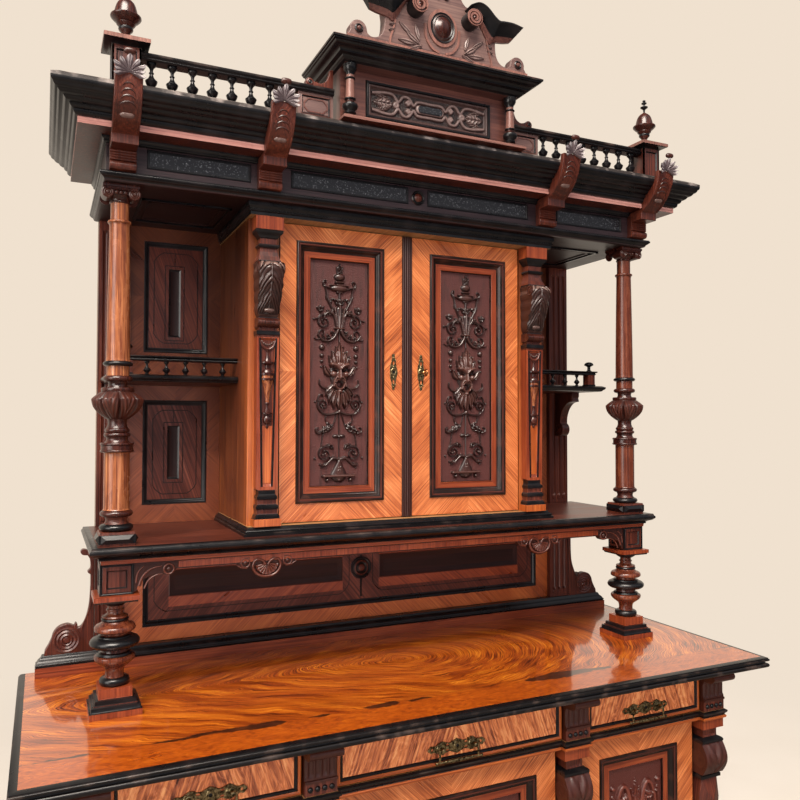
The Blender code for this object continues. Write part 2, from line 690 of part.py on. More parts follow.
def make_pull(side, x):
    back = DRAWER_Y - GAP + 0.002       # seated on the sunk face of the drawer front
    bm = in_xz(flat_shape("plate", [plate_outline()], PLATE_THICKNESS), back - PLATE_THICKNESS / 2)
    bmesh.ops.translate(bm, verts=bm.verts, vec=(x, 0, PULL_Z))
    plate = place(f"pull_plate_{side}", bm, "brass")
    face = back - PLATE_THICKNESS
    eye_y = face - POST_LENGTH + POST_RADIUS
    bm = bmesh.new()
    for sign in (-1, 1):
        post_x = x + sign * POST_SPREAD / 2
        rod(bm, POST_RADIUS, (post_x, face - POST_LENGTH, PULL_Z), (post_x, face + 0.001, PULL_Z))
    join(plate, place(f"pull_posts_{side}", bm))
    bm = bmesh.new()
    reach = POST_SPREAD / 2 + POST_RADIUS + 0.004
    rod(bm, BAIL_WIRE + PIN_CLEARANCE, (x - reach, eye_y, PULL_Z), (x + reach, eye_y, PULL_Z))
    cut(plate, place(f"pull_eyes_{side}", bm))
    # The bail: two pins in the posts, two arms and a turned bar across their feet.
    arm = POST_SPREAD / 2 + POST_RADIUS + BAIL_WIRE + 0.001
    inner = POST_SPREAD / 2 - POST_RADIUS + 0.001
    bar = [(0.0022, -BAIL_BAR / 2), (0.0034, -BAIL_BAR / 2 + 0.003), (0.0034, -arm - 0.004),
           (0.0026, -arm + 0.004), (BAIL_BAR_RADIUS, -arm * 0.35)]
    bar = bar + [(radius, -along) for radius, along in reversed(bar)]
    bm = bmesh.new()
    turned(bm, bar, (0, 0, 0))
    bmesh.ops.transform(bm, verts=bm.verts, matrix=Matrix.Translation((x, eye_y, PULL_Z - BAIL_DROP))
                        @ Matrix.Rotation(math.pi / 2, 4, "Y"))
    bail = place(f"pull_bail_{side}", bm, "brass")
    bm = bmesh.new()
    for sign in (-1, 1):
        rod(bm, BAIL_WIRE * 1.2, (x + sign * arm, eye_y, PULL_Z - BAIL_DROP),
            (x + sign * arm, eye_y, PULL_Z + BAIL_WIRE * 1.2))
    join(bail, place(f"bail_arms_{side}", bm))
    bm = bmesh.new()
    for sign in (-1, 1):
        ends = sorted((x + sign * inner, x + sign * arm))
        rod(bm, BAIL_WIRE, (ends[0], eye_y, PULL_Z), (ends[1], eye_y, PULL_Z))
    join(bail, place(f"bail_pins_{side}", bm))
    set_origin(bail, (x, eye_y, PULL_Z))


def make_upper_back():
    back = board("upper_back", -UPPER_HALF, UPPER_HALF, UPPER_Y, BACK_Y, WORKTOP_HEIGHT + GAP, CORNICE_TOP,
                 "walnut")
    strips = bmesh.new()
    flutes = bmesh.new()
    plinth_top = WORKTOP_HEIGHT + BACK_PLINTH_HEIGHT
    flute = 0.009
    for sign in (-1, 1):
        x = sign * BACK_PILASTER_X
        half = BACK_PILASTER_WIDTH / 2
        for z0, z1 in ((plinth_top + 2 * GAP, SHELF_Z - GAP), (SHELF_TOP + GAP, ENTABLATURE_Z - GAP)):
            box(strips, x - half + GAP, x + half - GAP, UPPER_Y - BACK_PILASTER_PROUD, UPPER_Y + 0.002,
                z0, z1)
            for step in (-1, 0, 1):
                along = x + step * flute * 2
                box(flutes, along - flute / 2, along + flute / 2, UPPER_Y - BACK_PILASTER_PROUD - 0.002,
                    UPPER_Y - BACK_PILASTER_PROUD + 0.004, z0 + 0.02, z1 - 0.02)
    join(back, place("back_pilasters", strips))
    cut(back, place("back_flutes", flutes))
    panels = bmesh.new()
    sink = 0.006
    for sign in (-1, 1):
        ends = sorted((sign * (CUPBOARD_HALF + 0.033),
                       sign * (BACK_PILASTER_X - BACK_PILASTER_WIDTH / 2 - 0.033)))
        for z0, z1 in ((SHELF_TOP + 0.046, GALLERY_Z - 0.036), (GALLERY_Z + 0.08, ENTABLATURE_Z - 0.034)):
            box(panels, *ends, UPPER_Y - 0.002, UPPER_Y + sink, z0, z1)
        long_panel = sorted((sign * 0.05, sign * (BACK_PILASTER_X - BACK_PILASTER_WIDTH / 2 - 0.09)))
        middle = (WORKTOP_HEIGHT + BACK_PLINTH_HEIGHT + SHELF_Z) / 2 + 0.01
        box(panels, *long_panel, UPPER_Y - 0.002, UPPER_Y + sink, middle - 0.033, middle + 0.033)
    cut(back, place("back_panels", panels))


def ear_outline():
    # The right-hand ear: a low volute, a hollow sweep and a hook under the middle shelf.
    inner = UPPER_HALF + GAP
    low = WORKTOP_HEIGHT + BACK_PLINTH_HEIGHT - 0.004
    top = low + EAR_HEIGHT
    volute = 0.034
    cx = (inner + PLINTH_END) / 2 - 0.004
    cz = low + volute
    strip = inner + 0.011
    points = [(inner, low), (PLINTH_END - 0.012, low)]
    points += [(cx + volute + 0.006, low + 0.012)]
    points += arc(cx, cz, volute, -10, 120, 7)
    points += [(cx - volute * 0.45, cz + volute * 0.72)]
    hollow = cx - volute * 0.45 - strip
    points += [(strip + hollow * (1 - math.sin(math.pi / 2 * i / 5)),
                cz + volute * 0.72 + hollow * 1.6 * (1 - math.cos(math.pi / 2 * i / 5))) for i in range(1, 6)]
    points += [(strip, top - 0.062), (strip + 0.007, top - 0.052), (strip, top - 0.042)]
    points += arc(strip + 0.004, top - 0.013, 0.012, -70, 120, 6)
    return points + [(inner, top)]


def make_back_plinth():
    bm = bmesh.new()
    proud = BACK_PLINTH_PROUD
    top = BACK_PLINTH_HEIGHT
    profile = [(0, 0), (0, top * 0.5), (-0.003, top * 0.53), (-0.001, top * 0.6), (-0.004, top * 0.75),
               (-0.012, top * 0.9), (-0.014, top)]
    outline = oblong(-PLINTH_END, PLINTH_END, UPPER_Y - proud, UPPER_Y - GAP)
    moulded(bm, outline, profile, WORKTOP_HEIGHT + GAP, plain=(OBLONG_BACK,))
    plinth = place("back_plinth", bm, "walnut")
    for sign in (-1, 1):
        points = [(sign * x, z) for x, z in ear_outline()]
        bm = in_xz(flat_shape("ear", [points], EAR_THICKNESS), UPPER_Y - GAP - EAR_THICKNESS / 2)
        join(plinth, place(f"plinth_ear_{'left' if sign < 0 else 'right'}", bm))


def square_ring(x, y, half, z):
    return [(x - half, y - half, z), (x + half, y - half, z), (x + half, y + half, z),
            (x - half, y + half, z)]


def make_balusters():
    foot = [(0, 0.0485), (0.014, 0.0485), (0.0145, 0.046), (0.019, 0.0445), (0.0195, 0.042),
            (0.026, 0.0385),
            (0.033, 0.0385), (0.0335, 0.035), (0.049, 0.035)]
    foot_height = foot[-1][0]
    abacus = 0.014
    block = 0.06
    below = [torus(0.013, 0.0236, 0.0104), drum(0.016, 0.0236)]
    above = [drum(0.007, 0.031), torus(0.026, 0.031, 0.0241), drum(0.008, 0.031),
             torus(0.019, 0.028, 0.0195),
             torus(0.013, 0.0185, 0.0099, 2), drum(0.02, 0.0185, 0.0176), drum(0.013, 0.0176, 0.032)]
    free = SPLASH_HEIGHT - 2 * GAP - foot_height - abacus - block
    swell = bulb(free - height_of(below) - height_of(above), 0.025, 0.0416, 0.031, 0.6)
    profile = turned_profile(below + [swell] + above)
    half = 0.029
    for side, x in (("left", -COLUMN_X), ("right", COLUMN_X)):
        base = WORKTOP_HEIGHT + GAP
        bm = bmesh.new()
        loft(bm, [square_ring(x, COLUMN_Y, size, base + z) for z, size in foot])
        baluster = place(f"baluster_{side}", bm, "walnut")
        bm = bmesh.new()
        lap = 0.002
        longer = [(profile[0][0], -lap)] + profile + [(profile[-1][0], profile[-1][1] + lap)]
        turned(bm, longer, (x, COLUMN_Y, base + foot_height), TURN_STEPS)
        join(baluster, place(f"baluster_turning_{side}", bm))
        bm = bmesh.new()
        top = base + foot_height + profile[-1][1]
        loft(bm, [square_ring(x, COLUMN_Y, size, z) for z, size in (
            (top, 0.0405), (top + 0.004, 0.0425), (top + abacus, 0.0425), (top + abacus + 0.0005, half),
            (top + abacus + block, half))])
        join(baluster, place(f"baluster_head_{side}", bm))


def make_mid_shelf():
    bm = bmesh.new()
    edge = SHELF_THICKNESS
    profile = [(-0.026, 0), (-0.020, 0.0005), (-0.018, 0.006), (-0.010, 0.012), (-0.004, 0.018),
               (0, 0.024),
               (0, 0.029), (-0.003, edge)]
    end = UPPER_HALF + SHELF_END
    moulded(bm, oblong(-end, end, SHELF_Y, UPPER_Y - GAP), profile, SHELF_Z, plain=(OBLONG_BACK,))
    shelf = place("mid_shelf", bm, "walnut")
    bm = bmesh.new()
    proud = CUPBOARD_BASE_PROUD
    lap = 0.002
    profile = [(proud, -lap), (proud, 0.006), (proud - 0.003, 0.008), (proud - 0.004, 0.013),
               (0.002, 0.016),
               (0.002, CUPBOARD_BASE)]
    moulded(bm, oblong(-CUPBOARD_HALF, CUPBOARD_HALF, CUPBOARD_PILASTER_Y, UPPER_Y - GAP), profile,
            SHELF_TOP,
            plain=(OBLONG_BACK,))
    join(shelf, place("cupboard_base", bm))
    cut(shelf, pin_sockets("shelf_sockets", UPPER_PINS, CUPBOARD_FOOT - PIN_LENGTH, CUPBOARD_FOOT + 0.01))


def apron_outline():
    # A shallow rail with a shell drop on each side and a quarter arch against each baluster.
    half = COLUMN_X - 0.029 - GAP
    rail = 0.018
    shell_x = 0.3476
    right = [(0.0, -rail), (shell_x - 0.062, -rail), (shell_x - 0.05, -0.024), (shell_x - 0.032, -0.026)]
    right += [(x + shell_x, z - 0.024) for x, z in arc(0, 0, 0.028, 190, 350, 8)]
    right += [(shell_x + 0.032, -0.026), (shell_x + 0.05, -0.024), (shell_x + 0.062, -rail)]
    right += [(half - 0.075, -rail), (half - 0.066, -0.026), (half - 0.052, -0.026)]
    right += [(half - 0.008 - 0.04 * (1 - math.sin(math.radians(a))),
               -0.054 + 0.028 * math.cos(math.radians(a)))
              for a in (0, 22, 45, 67, 90)]
    right += [(half, -0.058), (half, 0.0)]
    return right + [(-x, z) for x, z in reversed(right[1:])]


def make_apron():
    thickness = 0.016
    bm = in_xz(flat_shape("apron", [apron_outline()], thickness), COLUMN_Y - 0.02)
    bmesh.ops.translate(bm, verts=bm.verts, vec=(0, 0, SHELF_Z - GAP))
    place("apron", bm, "carved")


def make_columns():
    plinth = 0.026
    capital = 0.018
    half = 0.033
    below = [torus(0.0145, 0.0214, 0.0115), drum(0.0135, 0.0214), torus(0.0135, 0.0214, 0.0105),
             drum(0.114, 0.0246), drum(0.019, 0.0324), drum(0.011, 0.0214), torus(0.009, 0.02, 0.0053, 2),
             torus(0.009, 0.02, 0.0034, 2), drum(0.017, 0.0186), bulb(0.055, 0.0186, 0.0485, 0.0312, 0.74),
             drum(0.008, 0.0312), drum(0.012, 0.0175), torus(0.012, 0.0215, 0.0066, 2),
             drum(0.019, 0.0215),
             torus(0.010, 0.0215, 0.0071, 2)]
    above = [torus(0.011, 0.0175, 0.0053, 2), drum(0.034, 0.0172), drum(0.014, 0.0172, 0.024)]
    free = NICHE_HEIGHT - 2 * GAP - plinth - capital
    shaft = drum(free - height_of(below) - height_of(above), 0.0228, 0.0192)
    profile = turned_profile(below + [shaft] + above)
    for side, x in (("left", -COLUMN_X), ("right", COLUMN_X)):
        base = SHELF_TOP + GAP
        bm = bmesh.new()
        loft(bm, [square_ring(x, COLUMN_Y, size, base + z) for z, size in (
            (0, half), (0.004, half), (plinth * 0.4, half + 0.007), (plinth * 0.6, half + 0.007),
            (plinth - 0.003, half), (plinth, half))])
        column = place(f"column_{side}", bm, "walnut")
        bm = bmesh.new()
        lap = 0.002
        longer = [(profile[0][0], -lap)] + profile + [(profile[-1][0], profile[-1][1] + lap)]
        turned(bm, longer, (x, COLUMN_Y, base + plinth), TURN_STEPS)
        join(column, place(f"column_turning_{side}", bm))
        top = base + plinth + profile[-1][1]
        bm = bmesh.new()
        loft(bm, [square_ring(x, COLUMN_Y, size, top + z) for z, size in (
            (0, 0.027), (0.006, 0.027), (0.0065, 0.033), (capital, 0.033))])
        join(column, place(f"column_capital_{side}", bm))
        bm = bmesh.new()
        for sign in (-1, 1):
            rod(bm, 0.0105, (x + sign * 0.0255, COLUMN_Y - 0.029, top + 0.001),
                (x + sign * 0.0255, COLUMN_Y + 0.029, top + 0.001), 8)
        join(column, place(f"column_volutes_{side}", bm))


def make_cupboard():
    pilaster_back = CUPBOARD_PILASTER_Y + CUPBOARD_PILASTER_DEPTH
    foot = CUPBOARD_FOOT + GAP
    top = CUPBOARD_TOP - GAP
    half = CUPBOARD_PILASTER / 2
    term = top - 0.255
    rings = [(foot, half, 0.008), (foot + 0.016, half, 0.008)]
    for step in range(3):
        level = foot + 0.018 + step * 0.02
        rings += [(level, half - 0.002, 0.006), (level + 0.008, half - 0.002, 0.006),
                  (level + 0.014, half - 0.005, 0.002)]
    rings += [(foot + 0.080, half - 0.009, 0.0), (term, half - 0.004, 0.004),
              (term + 0.004, half - 0.002, 0.006),
              (term + 0.009, half - 0.002, 0.006), (term + 0.011, half - 0.008, 0.0)]
    rings += [(term + 0.018 + 0.018 * i / 4, half - 0.004, 0.004 + 0.009 * math.sin(math.pi * i / 4))
              for i in range(5)]
    corbel = term + 0.044
    rings += [(corbel, half - 0.006, 0.008), (corbel + 0.02, half - 0.005, 0.016),
              (corbel + 0.05, half - 0.002, 0.028), (corbel + 0.085, half, 0.040),
              (corbel + 0.105, half, 0.041),
              (corbel + 0.113, half - 0.001, 0.034), (corbel + 0.114, half - 0.004, 0.012),
              (top - 0.066, half - 0.004, 0.012), (top - 0.064, half - 0.002, 0.016),
              (top - 0.058, half - 0.002, 0.016),
              (top - 0.056, half - 0.006, 0.006), (top - 0.030, half - 0.006, 0.006),
              (top - 0.026, half, 0.016),
              (top, half, 0.016)]
    for side, sign in (("left", -1), ("right", 1)):
        ends = sorted((sign * CUPBOARD_HALF, sign * (CUPBOARD_HALF - PANEL)))
        board(f"cupboard_side_{side}", *ends, pilaster_back + GAP, UPPER_Y - GAP, foot, top, "walnut")
        bm = bmesh.new()
        stacked(bm, sign * CUPBOARD_PILASTER_X, CUPBOARD_PILASTER_Y, pilaster_back, rings)
        place(f"cupboard_pilaster_{side}", bm, "carved")
    inside = CUPBOARD_HALF - PANEL - GAP
    middle = (CUPBOARD_FOOT + CUPBOARD_TOP) / 2
    board("cupboard_shelf", -inside, inside, pilaster_back + CUPBOARD_SHELF_SETBACK, UPPER_Y - GAP,
          middle - CUPBOARD_SHELF / 2, middle + CUPBOARD_SHELF / 2, "oak")


def make_cupboard_doors():
    z0 = CUPBOARD_FOOT + DOOR_LIFT
    z1 = CUPBOARD_TOP - DOOR_LIFT
    key_x = ASTRAGAL_WIDTH / 2 + KEY_OFFSET
    key_z = CUPBOARD_FOOT + KEY_HEIGHT
    for (side, x0, x1, hinge), pin in zip(UPPER_DOORS, UPPER_PINS):
        meeting = ASTRAGAL_WIDTH / 2 + UPPER_DOOR_MEETING
        near, far = (x0 + UPPER_DOOR_SIDE, -meeting) if hinge < 0 else (meeting, x1 - UPPER_DOOR_SIDE)
        bm = bmesh.new()
        inner = (near, far, z0 + UPPER_DOOR_BOTTOM, z1 - UPPER_DOOR_TOP)
        panelled(bm, (x0, x1, z0, z1), inner, CUPBOARD_Y, DOOR_THICKNESS, door_moulding())
        door = place(f"cupboard_door_{side}", bm, "walnut")
        add_pins(door, pin, z0, z1)
        if hinge > 0:
            bm = bmesh.new()
            half = ASTRAGAL_WIDTH / 2
            strip = [(-half, 0.002), (-half, -ASTRAGAL_PROUD * 0.5), (-half * 0.5, -ASTRAGAL_PROUD * 0.6)]
            strip += [(x, y - ASTRAGAL_PROUD * 0.6) for x, y in arc(0, 0, half * 0.45, 180, 360, 6)]
            strip += [(half * 0.5, -ASTRAGAL_PROUD * 0.6), (half, -ASTRAGAL_PROUD * 0.5), (half, 0.002)]
            loft(bm, [[(x, CUPBOARD_Y + y, z) for x, y in strip] for z in (z0, z1)])
            join(door, place("door_astragal", bm))
            bm = bmesh.new()
            rod(bm, KEY_SHANK + PIN_CLEARANCE, (key_x, CUPBOARD_Y - 0.02, key_z),
                (key_x, CUPBOARD_Y + DOOR_THICKNESS + 0.02, key_z))
            cut(door, place("keyhole", bm))
        set_origin(door, (*pin, z0))
    make_key(key_x, key_z)


def make_key(x, z):
    # A barrel key: shank through the door, bit behind it and a ring bow in front.
    bow = 0.0095
    wire = 0.0026
    face = CUPBOARD_Y
    bm = bmesh.new()
    rod(bm, KEY_SHANK, (x, face - 0.021, z), (x, face + DOOR_THICKNESS + 0.006, z))
    key = place("cupboard_key", bm, "brass")
    outer = arc(0, 0, bow, 0, 330, 11)
    inner = arc(0, 0, bow - 2 * wire, 0, 315, 7)
    bm = in_yz(flat_shape("bow", [outer, inner], 2 * wire * 0.9), x)
    bmesh.ops.translate(bm, verts=bm.verts, vec=(0, face - 0.020 - bow + wire, z))
    join(key, place("key_bow", bm))
    set_origin(key, (x, face, z))


def spindle(height):
    # A small vase baluster: a foot, a ball and a flaring neck.
    return turned_profile([drum(height * 0.12, 0.0045), bulb(height * 0.4, 0.0045, 0.0078, 0.003, 0.5, 1),
                           drum(height * 0.48, 0.003, 0.0055)])


def make_gallery_shelves():
    for side, sign in (("left", -1), ("right", 1)):
        inner = CUPBOARD_HALF + GAP
        x0, x1 = sorted((sign * inner, sign * GALLERY_X))
        wall_edges = (OBLONG_BACK, 2) if sign < 0 else (OBLONG_BACK, 0)
        thick = GALLERY_THICKNESS
        profile = [(-0.010, 0), (-0.006, 0.003), (-0.002, 0.006), (0, 0.009), (0, 0.012), (-0.008, thick)]
        bm = bmesh.new()
        moulded(bm, oblong(x0, x1, GALLERY_Y, UPPER_Y - GAP), profile, GALLERY_Z, plain=wall_edges)
        shelf = place(f"gallery_shelf_{side}", bm, "carved")
        rail_y = GALLERY_Y + 0.022
        floor = GALLERY_Z + thick
        spindle_height = RAIL_HEIGHT - RAIL_THICKNESS
        lap = 0.001
        post = 0.024
        post_x = GALLERY_X - 0.03 - post / 2
        pitch = (post_x - inner) / (GALLERY_SPINDLES + 0.5)
        bm = bmesh.new()
        for number in range(GALLERY_SPINDLES):
            turned(bm, [(radius, height * (spindle_height + 2 * lap) / spindle_height)
                        for radius, height in spindle(spindle_height)],
                   (sign * (inner + pitch * (number + 0.75)), rail_y, floor - lap))
        ends = sorted((sign * (post_x - post / 2), sign * (post_x + post / 2)))
        box(bm, *ends, rail_y - post / 2, rail_y + post / 2, floor - lap, floor + spindle_height + lap)
        join(shelf, place(f"gallery_spindles_{side}", bm))
        bm = bmesh.new()
        rail_end = post_x + post / 2 + 0.003
        ends = sorted((sign * inner, sign * rail_end))
        rail_profile = [(0, 0), (0.001, 0.003), (0.006, 0.008), (0.006, RAIL_THICKNESS)]
        moulded(bm, oblong(*ends, rail_y - RAIL_DEPTH / 2, rail_y + RAIL_DEPTH / 2), rail_profile,
                floor + spindle_height, plain=(2,) if sign < 0 else (0,))
        join(shelf, place(f"gallery_rail_{side}", bm))
        bm = bmesh.new()
        knob = turned_profile([drum(0.003, 0.0075, 0.0042), drum(0.012, 0.0042),
                               drum(0.004, 0.0042, 0.0128),
                               bulb(0.008, 0.0128, 0.013, 0.003, 0.2, 2)])
        turned(bm, [(knob[0][0], -lap)] + knob, (sign * post_x, rail_y, floor + RAIL_HEIGHT), 8)
        join(shelf, place(f"gallery_knob_{side}", bm))
        join(shelf, gallery_bracket(side, sign))
        bm = bmesh.new()
        half = BACK_PILASTER_WIDTH / 2
        box(bm, sign * BACK_PILASTER_X - half - 0.01 * (sign < 0),
            sign * BACK_PILASTER_X + half + 0.01 * (sign > 0),
            UPPER_Y - BACK_PILASTER_PROUD - GAP, UPPER_Y + 0.01, GALLERY_Z - BRACKET_DROP - 0.02,
            floor + 0.01)
        cut(shelf, place(f"gallery_notch_{side}", bm))


def gallery_bracket(side, sign):
    # A scroll bracket on the back pilaster: a straight nose, a hollow and a volute at the foot.
    wall = UPPER_Y - BACK_PILASTER_PROUD + 0.002
    top = GALLERY_Z + 0.002
    reach = 0.085
    points = [(wall, top), (wall - reach, top), (wall - reach, top - 0.028)]
    points += [(wall - 0.022 - (reach - 0.022) * (1 - math.sin(math.pi / 2 * i / 5)),
                top - 0.028 - 0.05 * (1 - math.cos(math.pi / 2 * i / 5))) for i in range(1, 6)]
    points += arc(wall - 0.018, top - BRACKET_DROP + 0.022, 0.02, 100, 270, 7)
    points += [(wall, top - BRACKET_DROP)]
    bm = in_yz(flat_shape("bracket", [points], 0.026), sign * BACK_PILASTER_X)
    return place(f"gallery_bracket_{side}", bm)


def entablature_profile():
    # Outset and height of the architrave, frieze, soffit, fascia, cyma and cap.
    frieze = ARCHITRAVE_HEIGHT
    soffit = frieze + FRIEZE_HEIGHT
    fascia = soffit + FASCIA_HEIGHT
    cap = fascia + CYMA_HEIGHT
    tip = SOFFIT_DEPTH + CYMA_PROUD
    low = [(-0.002, 0), (0.002, 0.0035), (0.004, 0.004), (ARCHITRAVE_PROUD - 0.002, frieze * 0.5),
           (ARCHITRAVE_PROUD, frieze * 0.7), (ARCHITRAVE_PROUD, frieze - 0.001), (0, frieze)]
    bed = [(0, soffit - 0.012), (0.005, soffit - 0.010), (0.009, soffit - 0.003)]
    high = [(SOFFIT_DEPTH, soffit), (SOFFIT_DEPTH, fascia), (SOFFIT_DEPTH + 0.004, fascia + 0.001)]
    cyma = []
    for i in range(6):
        share = i / 5
        swing = share - 0.09 * math.sin(2 * math.pi * share)
        cyma.append((SOFFIT_DEPTH + 0.004 + (CYMA_PROUD - 0.004) * swing,
                     fascia + 0.004 + (CYMA_HEIGHT - 0.004) * share))
    return low, bed, high, cyma, [(tip, cap + 0.005), (tip - 0.012, cap + CORNICE_CAP)]


def make_entablature():
    low, bed, high, cyma, cap = entablature_profile()
    outline = oblong(-FRIEZE_HALF, FRIEZE_HALF, FRIEZE_Y, UPPER_Y - GAP)
    bm = bmesh.new()
    moulded(bm, outline, low + bed + high + cyma + cap, ENTABLATURE_Z, plain=(OBLONG_BACK,))
    entablature = place("entablature", bm, "walnut")
    bm = bmesh.new()
    turned(bm, [(0.016, -0.004), (0.016, 0.005), (0.012, 0.008), (0.009, 0.006), (0.005, 0.009)],
           (0, 0, 0), TURN_STEPS)
    frieze_middle = ENTABLATURE_Z + ARCHITRAVE_HEIGHT + (FRIEZE_HEIGHT - 0.012) / 2
    bmesh.ops.transform(bm, verts=bm.verts, matrix=Matrix.Translation((0, FRIEZE_Y, frieze_middle))
                        @ Matrix.Rotation(math.pi / 2, 4, "X"))
    join(entablature, place("frieze_roundel", bm))
    # Hollow behind, coffers over the niches and sunk frieze panels.
    bm = bmesh.new()
    wall = ENTABLATURE_WALL
    box(bm, -FRIEZE_HALF + wall, FRIEZE_HALF - wall, FRIEZE_Y + wall, UPPER_Y + 0.02,
        ENTABLATURE_Z + wall, CORNICE_TOP - wall / 2)
    cut(entablature, place("entablature_hollow", bm))
    bm = bmesh.new()
    for sign in (-1, 1):
        ends = sorted((sign * (CUPBOARD_HALF + 0.03), sign * (COLUMN_X - 0.05)))
        box(bm, *ends, COLUMN_Y + 0.05, UPPER_Y - 0.06, ENTABLATURE_Z - 0.01, ENTABLATURE_Z + 0.012)
        panel = FRIEZE_PANEL_HEIGHT / 2
        gap = BRACKET_WIDTH / 2 + 0.012
        for x0, x1 in ((0.0246, INNER_BRACKET - gap - 0.012),
                       (INNER_BRACKET + gap, COLUMN_X - gap - 0.008)):
            box(bm, *sorted((sign * x0, sign * x1)), FRIEZE_Y - 0.002, FRIEZE_Y + FRIEZE_PANEL_SINK,
                frieze_middle - panel, frieze_middle + panel)
    cut(entablature, place("entablature_panels", bm))


def make_cupboard_head():
    # Moulded board over the cupboard, with the upper pivots of its doors.
    bm = bmesh.new()
    profile = [(0.004, 0), (0.004, 0.008), (0.010, 0.016), (0.010, CUPBOARD_HEAD - GAP)]
    front = CUPBOARD_PILASTER_Y - 0.012
    moulded(bm, oblong(-CUPBOARD_HALF, CUPBOARD_HALF, front, UPPER_Y - GAP), profile, CUPBOARD_TOP,
            plain=(OBLONG_BACK,))
    head = place("cupboard_head", bm, "ebonised")
    cut(head, pin_sockets("head_sockets", UPPER_PINS, CUPBOARD_TOP - 0.01, CUPBOARD_TOP + PIN_LENGTH))


def make_cornice_brackets():
    # An S-shaped clasp: a foot on the frieze, a block under the soffit and a strap up the cornice.
    _, bed, high, cyma, cap = entablature_profile()
    base = ARCHITRAVE_HEIGHT + GAP
    behind = [(outset_by + GAP, height - GAP) for outset_by, height in bed + high + cyma + cap[:1]]
    tip = behind[-1][0]
    top = behind[-1][1]
    block = SOFFIT_DEPTH - 0.006
    foot = [(0.013, base), (0.019, base + 0.003), (0.021, base + 0.009), (0.019, base + 0.015),
            (0.014, base + 0.018),
            (0.016, base + 0.030), (0.022, base + 0.038), (block - 0.014, base + 0.040),
            (block, base + 0.040),
            (block, base + 0.056)]
    strap = [(block + (tip + 0.008 - block) * share + 0.006 * math.sin(math.pi * share),
              base + 0.056 + (top - base - 0.056) * share ** 1.25) for share in (0.2, 0.4, 0.6, 0.8, 1.0)]
    leaf = [(tip + 0.014, top + 0.012), (tip + 0.019, top + 0.026), (tip + 0.016, top + 0.040),
            (tip + 0.009, top + 0.046), (tip + 0.003, top + 0.042), (tip, top + 0.026)]
    front = [(GAP, base)] + foot + strap + leaf
    outline = [(FRIEZE_Y - o, ENTABLATURE_Z + h) for o, h in front + behind[::-1]]
    for number, x in enumerate((-COLUMN_X, -INNER_BRACKET, INNER_BRACKET, COLUMN_X), start=1):
        bm = in_yz(flat_shape("clasp", [outline], BRACKET_WIDTH), x)
        place(f"cornice_bracket_{number}", bm, "carved")


def make_top_galleries():
    base = CORNICE_TOP + GAP
    inner = ATTIC_HALF + ATTIC_LEDGE_PROUD * 0.25 + GAP
    half_depth = TOP_GALLERY_DEPTH / 2
    half_post = POST_WIDTH / 2
    low_rail = 0.012
    lap = 0.001
    high_rail = TOP_GALLERY_HEIGHT - TOP_RAIL
    for side, sign in (("left", -1), ("right", 1)):
        post_in = COLUMN_X - half_post
        bm = bmesh.new()
        box(bm, *sorted((sign * inner, sign * (post_in + lap))), TOP_GALLERY_Y - half_depth,
            TOP_GALLERY_Y + half_depth, base, base + low_rail)
        gallery = place(f"top_gallery_{side}", bm, "carved")
        span = high_rail - low_rail
        first = inner + TOP_PANEL + 0.02
        pitch = (post_in - 0.022 - first) / (TOP_SPINDLES - 1)
        bm = bmesh.new()
        for number in range(TOP_SPINDLES):
            turned(bm, [(radius, height * (span + 2 * lap) / span) for radius, height in spindle(span)],
                   (sign * (first + pitch * number), TOP_GALLERY_Y, base + low_rail - lap))
        box(bm, *sorted((sign * inner, sign * (inner + TOP_PANEL))), TOP_GALLERY_Y - 0.007,
            TOP_GALLERY_Y + 0.007,
            base + low_rail - lap, base + high_rail + lap)
        join(gallery, place(f"top_spindles_{side}", bm))
        bm = bmesh.new()
        rail = [(0, 0), (0.001, 0.003), (0.004, 0.007), (0.004, TOP_RAIL)]
        ends = sorted((sign * inner, sign * (post_in + lap)))
        moulded(bm, oblong(*ends, TOP_GALLERY_Y - half_depth, TOP_GALLERY_Y + half_depth), rail,
                base + high_rail,
                plain=(0, 2))
        join(gallery, place(f"top_rail_{side}", bm))
        bm = bmesh.new()
        cap = half_post + POST_CAP_PROUD
        x = sign * COLUMN_X
        loft(bm, [square_ring(x, TOP_GALLERY_Y, size, base + z) for z, size in (
            (0, half_post), (POST_HEIGHT - 0.006, half_post), (POST_HEIGHT, cap - 0.002),
            (POST_HEIGHT + 0.002, cap),
            (POST_HEIGHT + POST_CAP, cap))])
        join(gallery, place(f"top_post_{side}", bm))
        bm = bmesh.new()
        tall = FINIAL_HEIGHT
        finial = turned_profile([drum(tall * 0.06, 0.017), torus(tall * 0.06, 0.010, 0.006, 2),
                                 drum(tall * 0.08, 0.008), bulb(tall * 0.34, 0.010, 0.0287, 0.014, 0.6),
                                 torus(tall * 0.06, 0.012, 0.004, 2), drum(tall * 0.1, 0.011, 0.008),
                                 bulb(tall * 0.3, 0.008, 0.011, 0.0015, 0.35, 2)])
        turned(bm, [(finial[0][0], -lap)] + finial, (x, TOP_GALLERY_Y, base + POST_HEIGHT + POST_CAP), 8)
        join(gallery, place(f"top_finial_{side}", bm))
        join(gallery, gallery_cheek(side, sign, inner, base + TOP_GALLERY_HEIGHT))


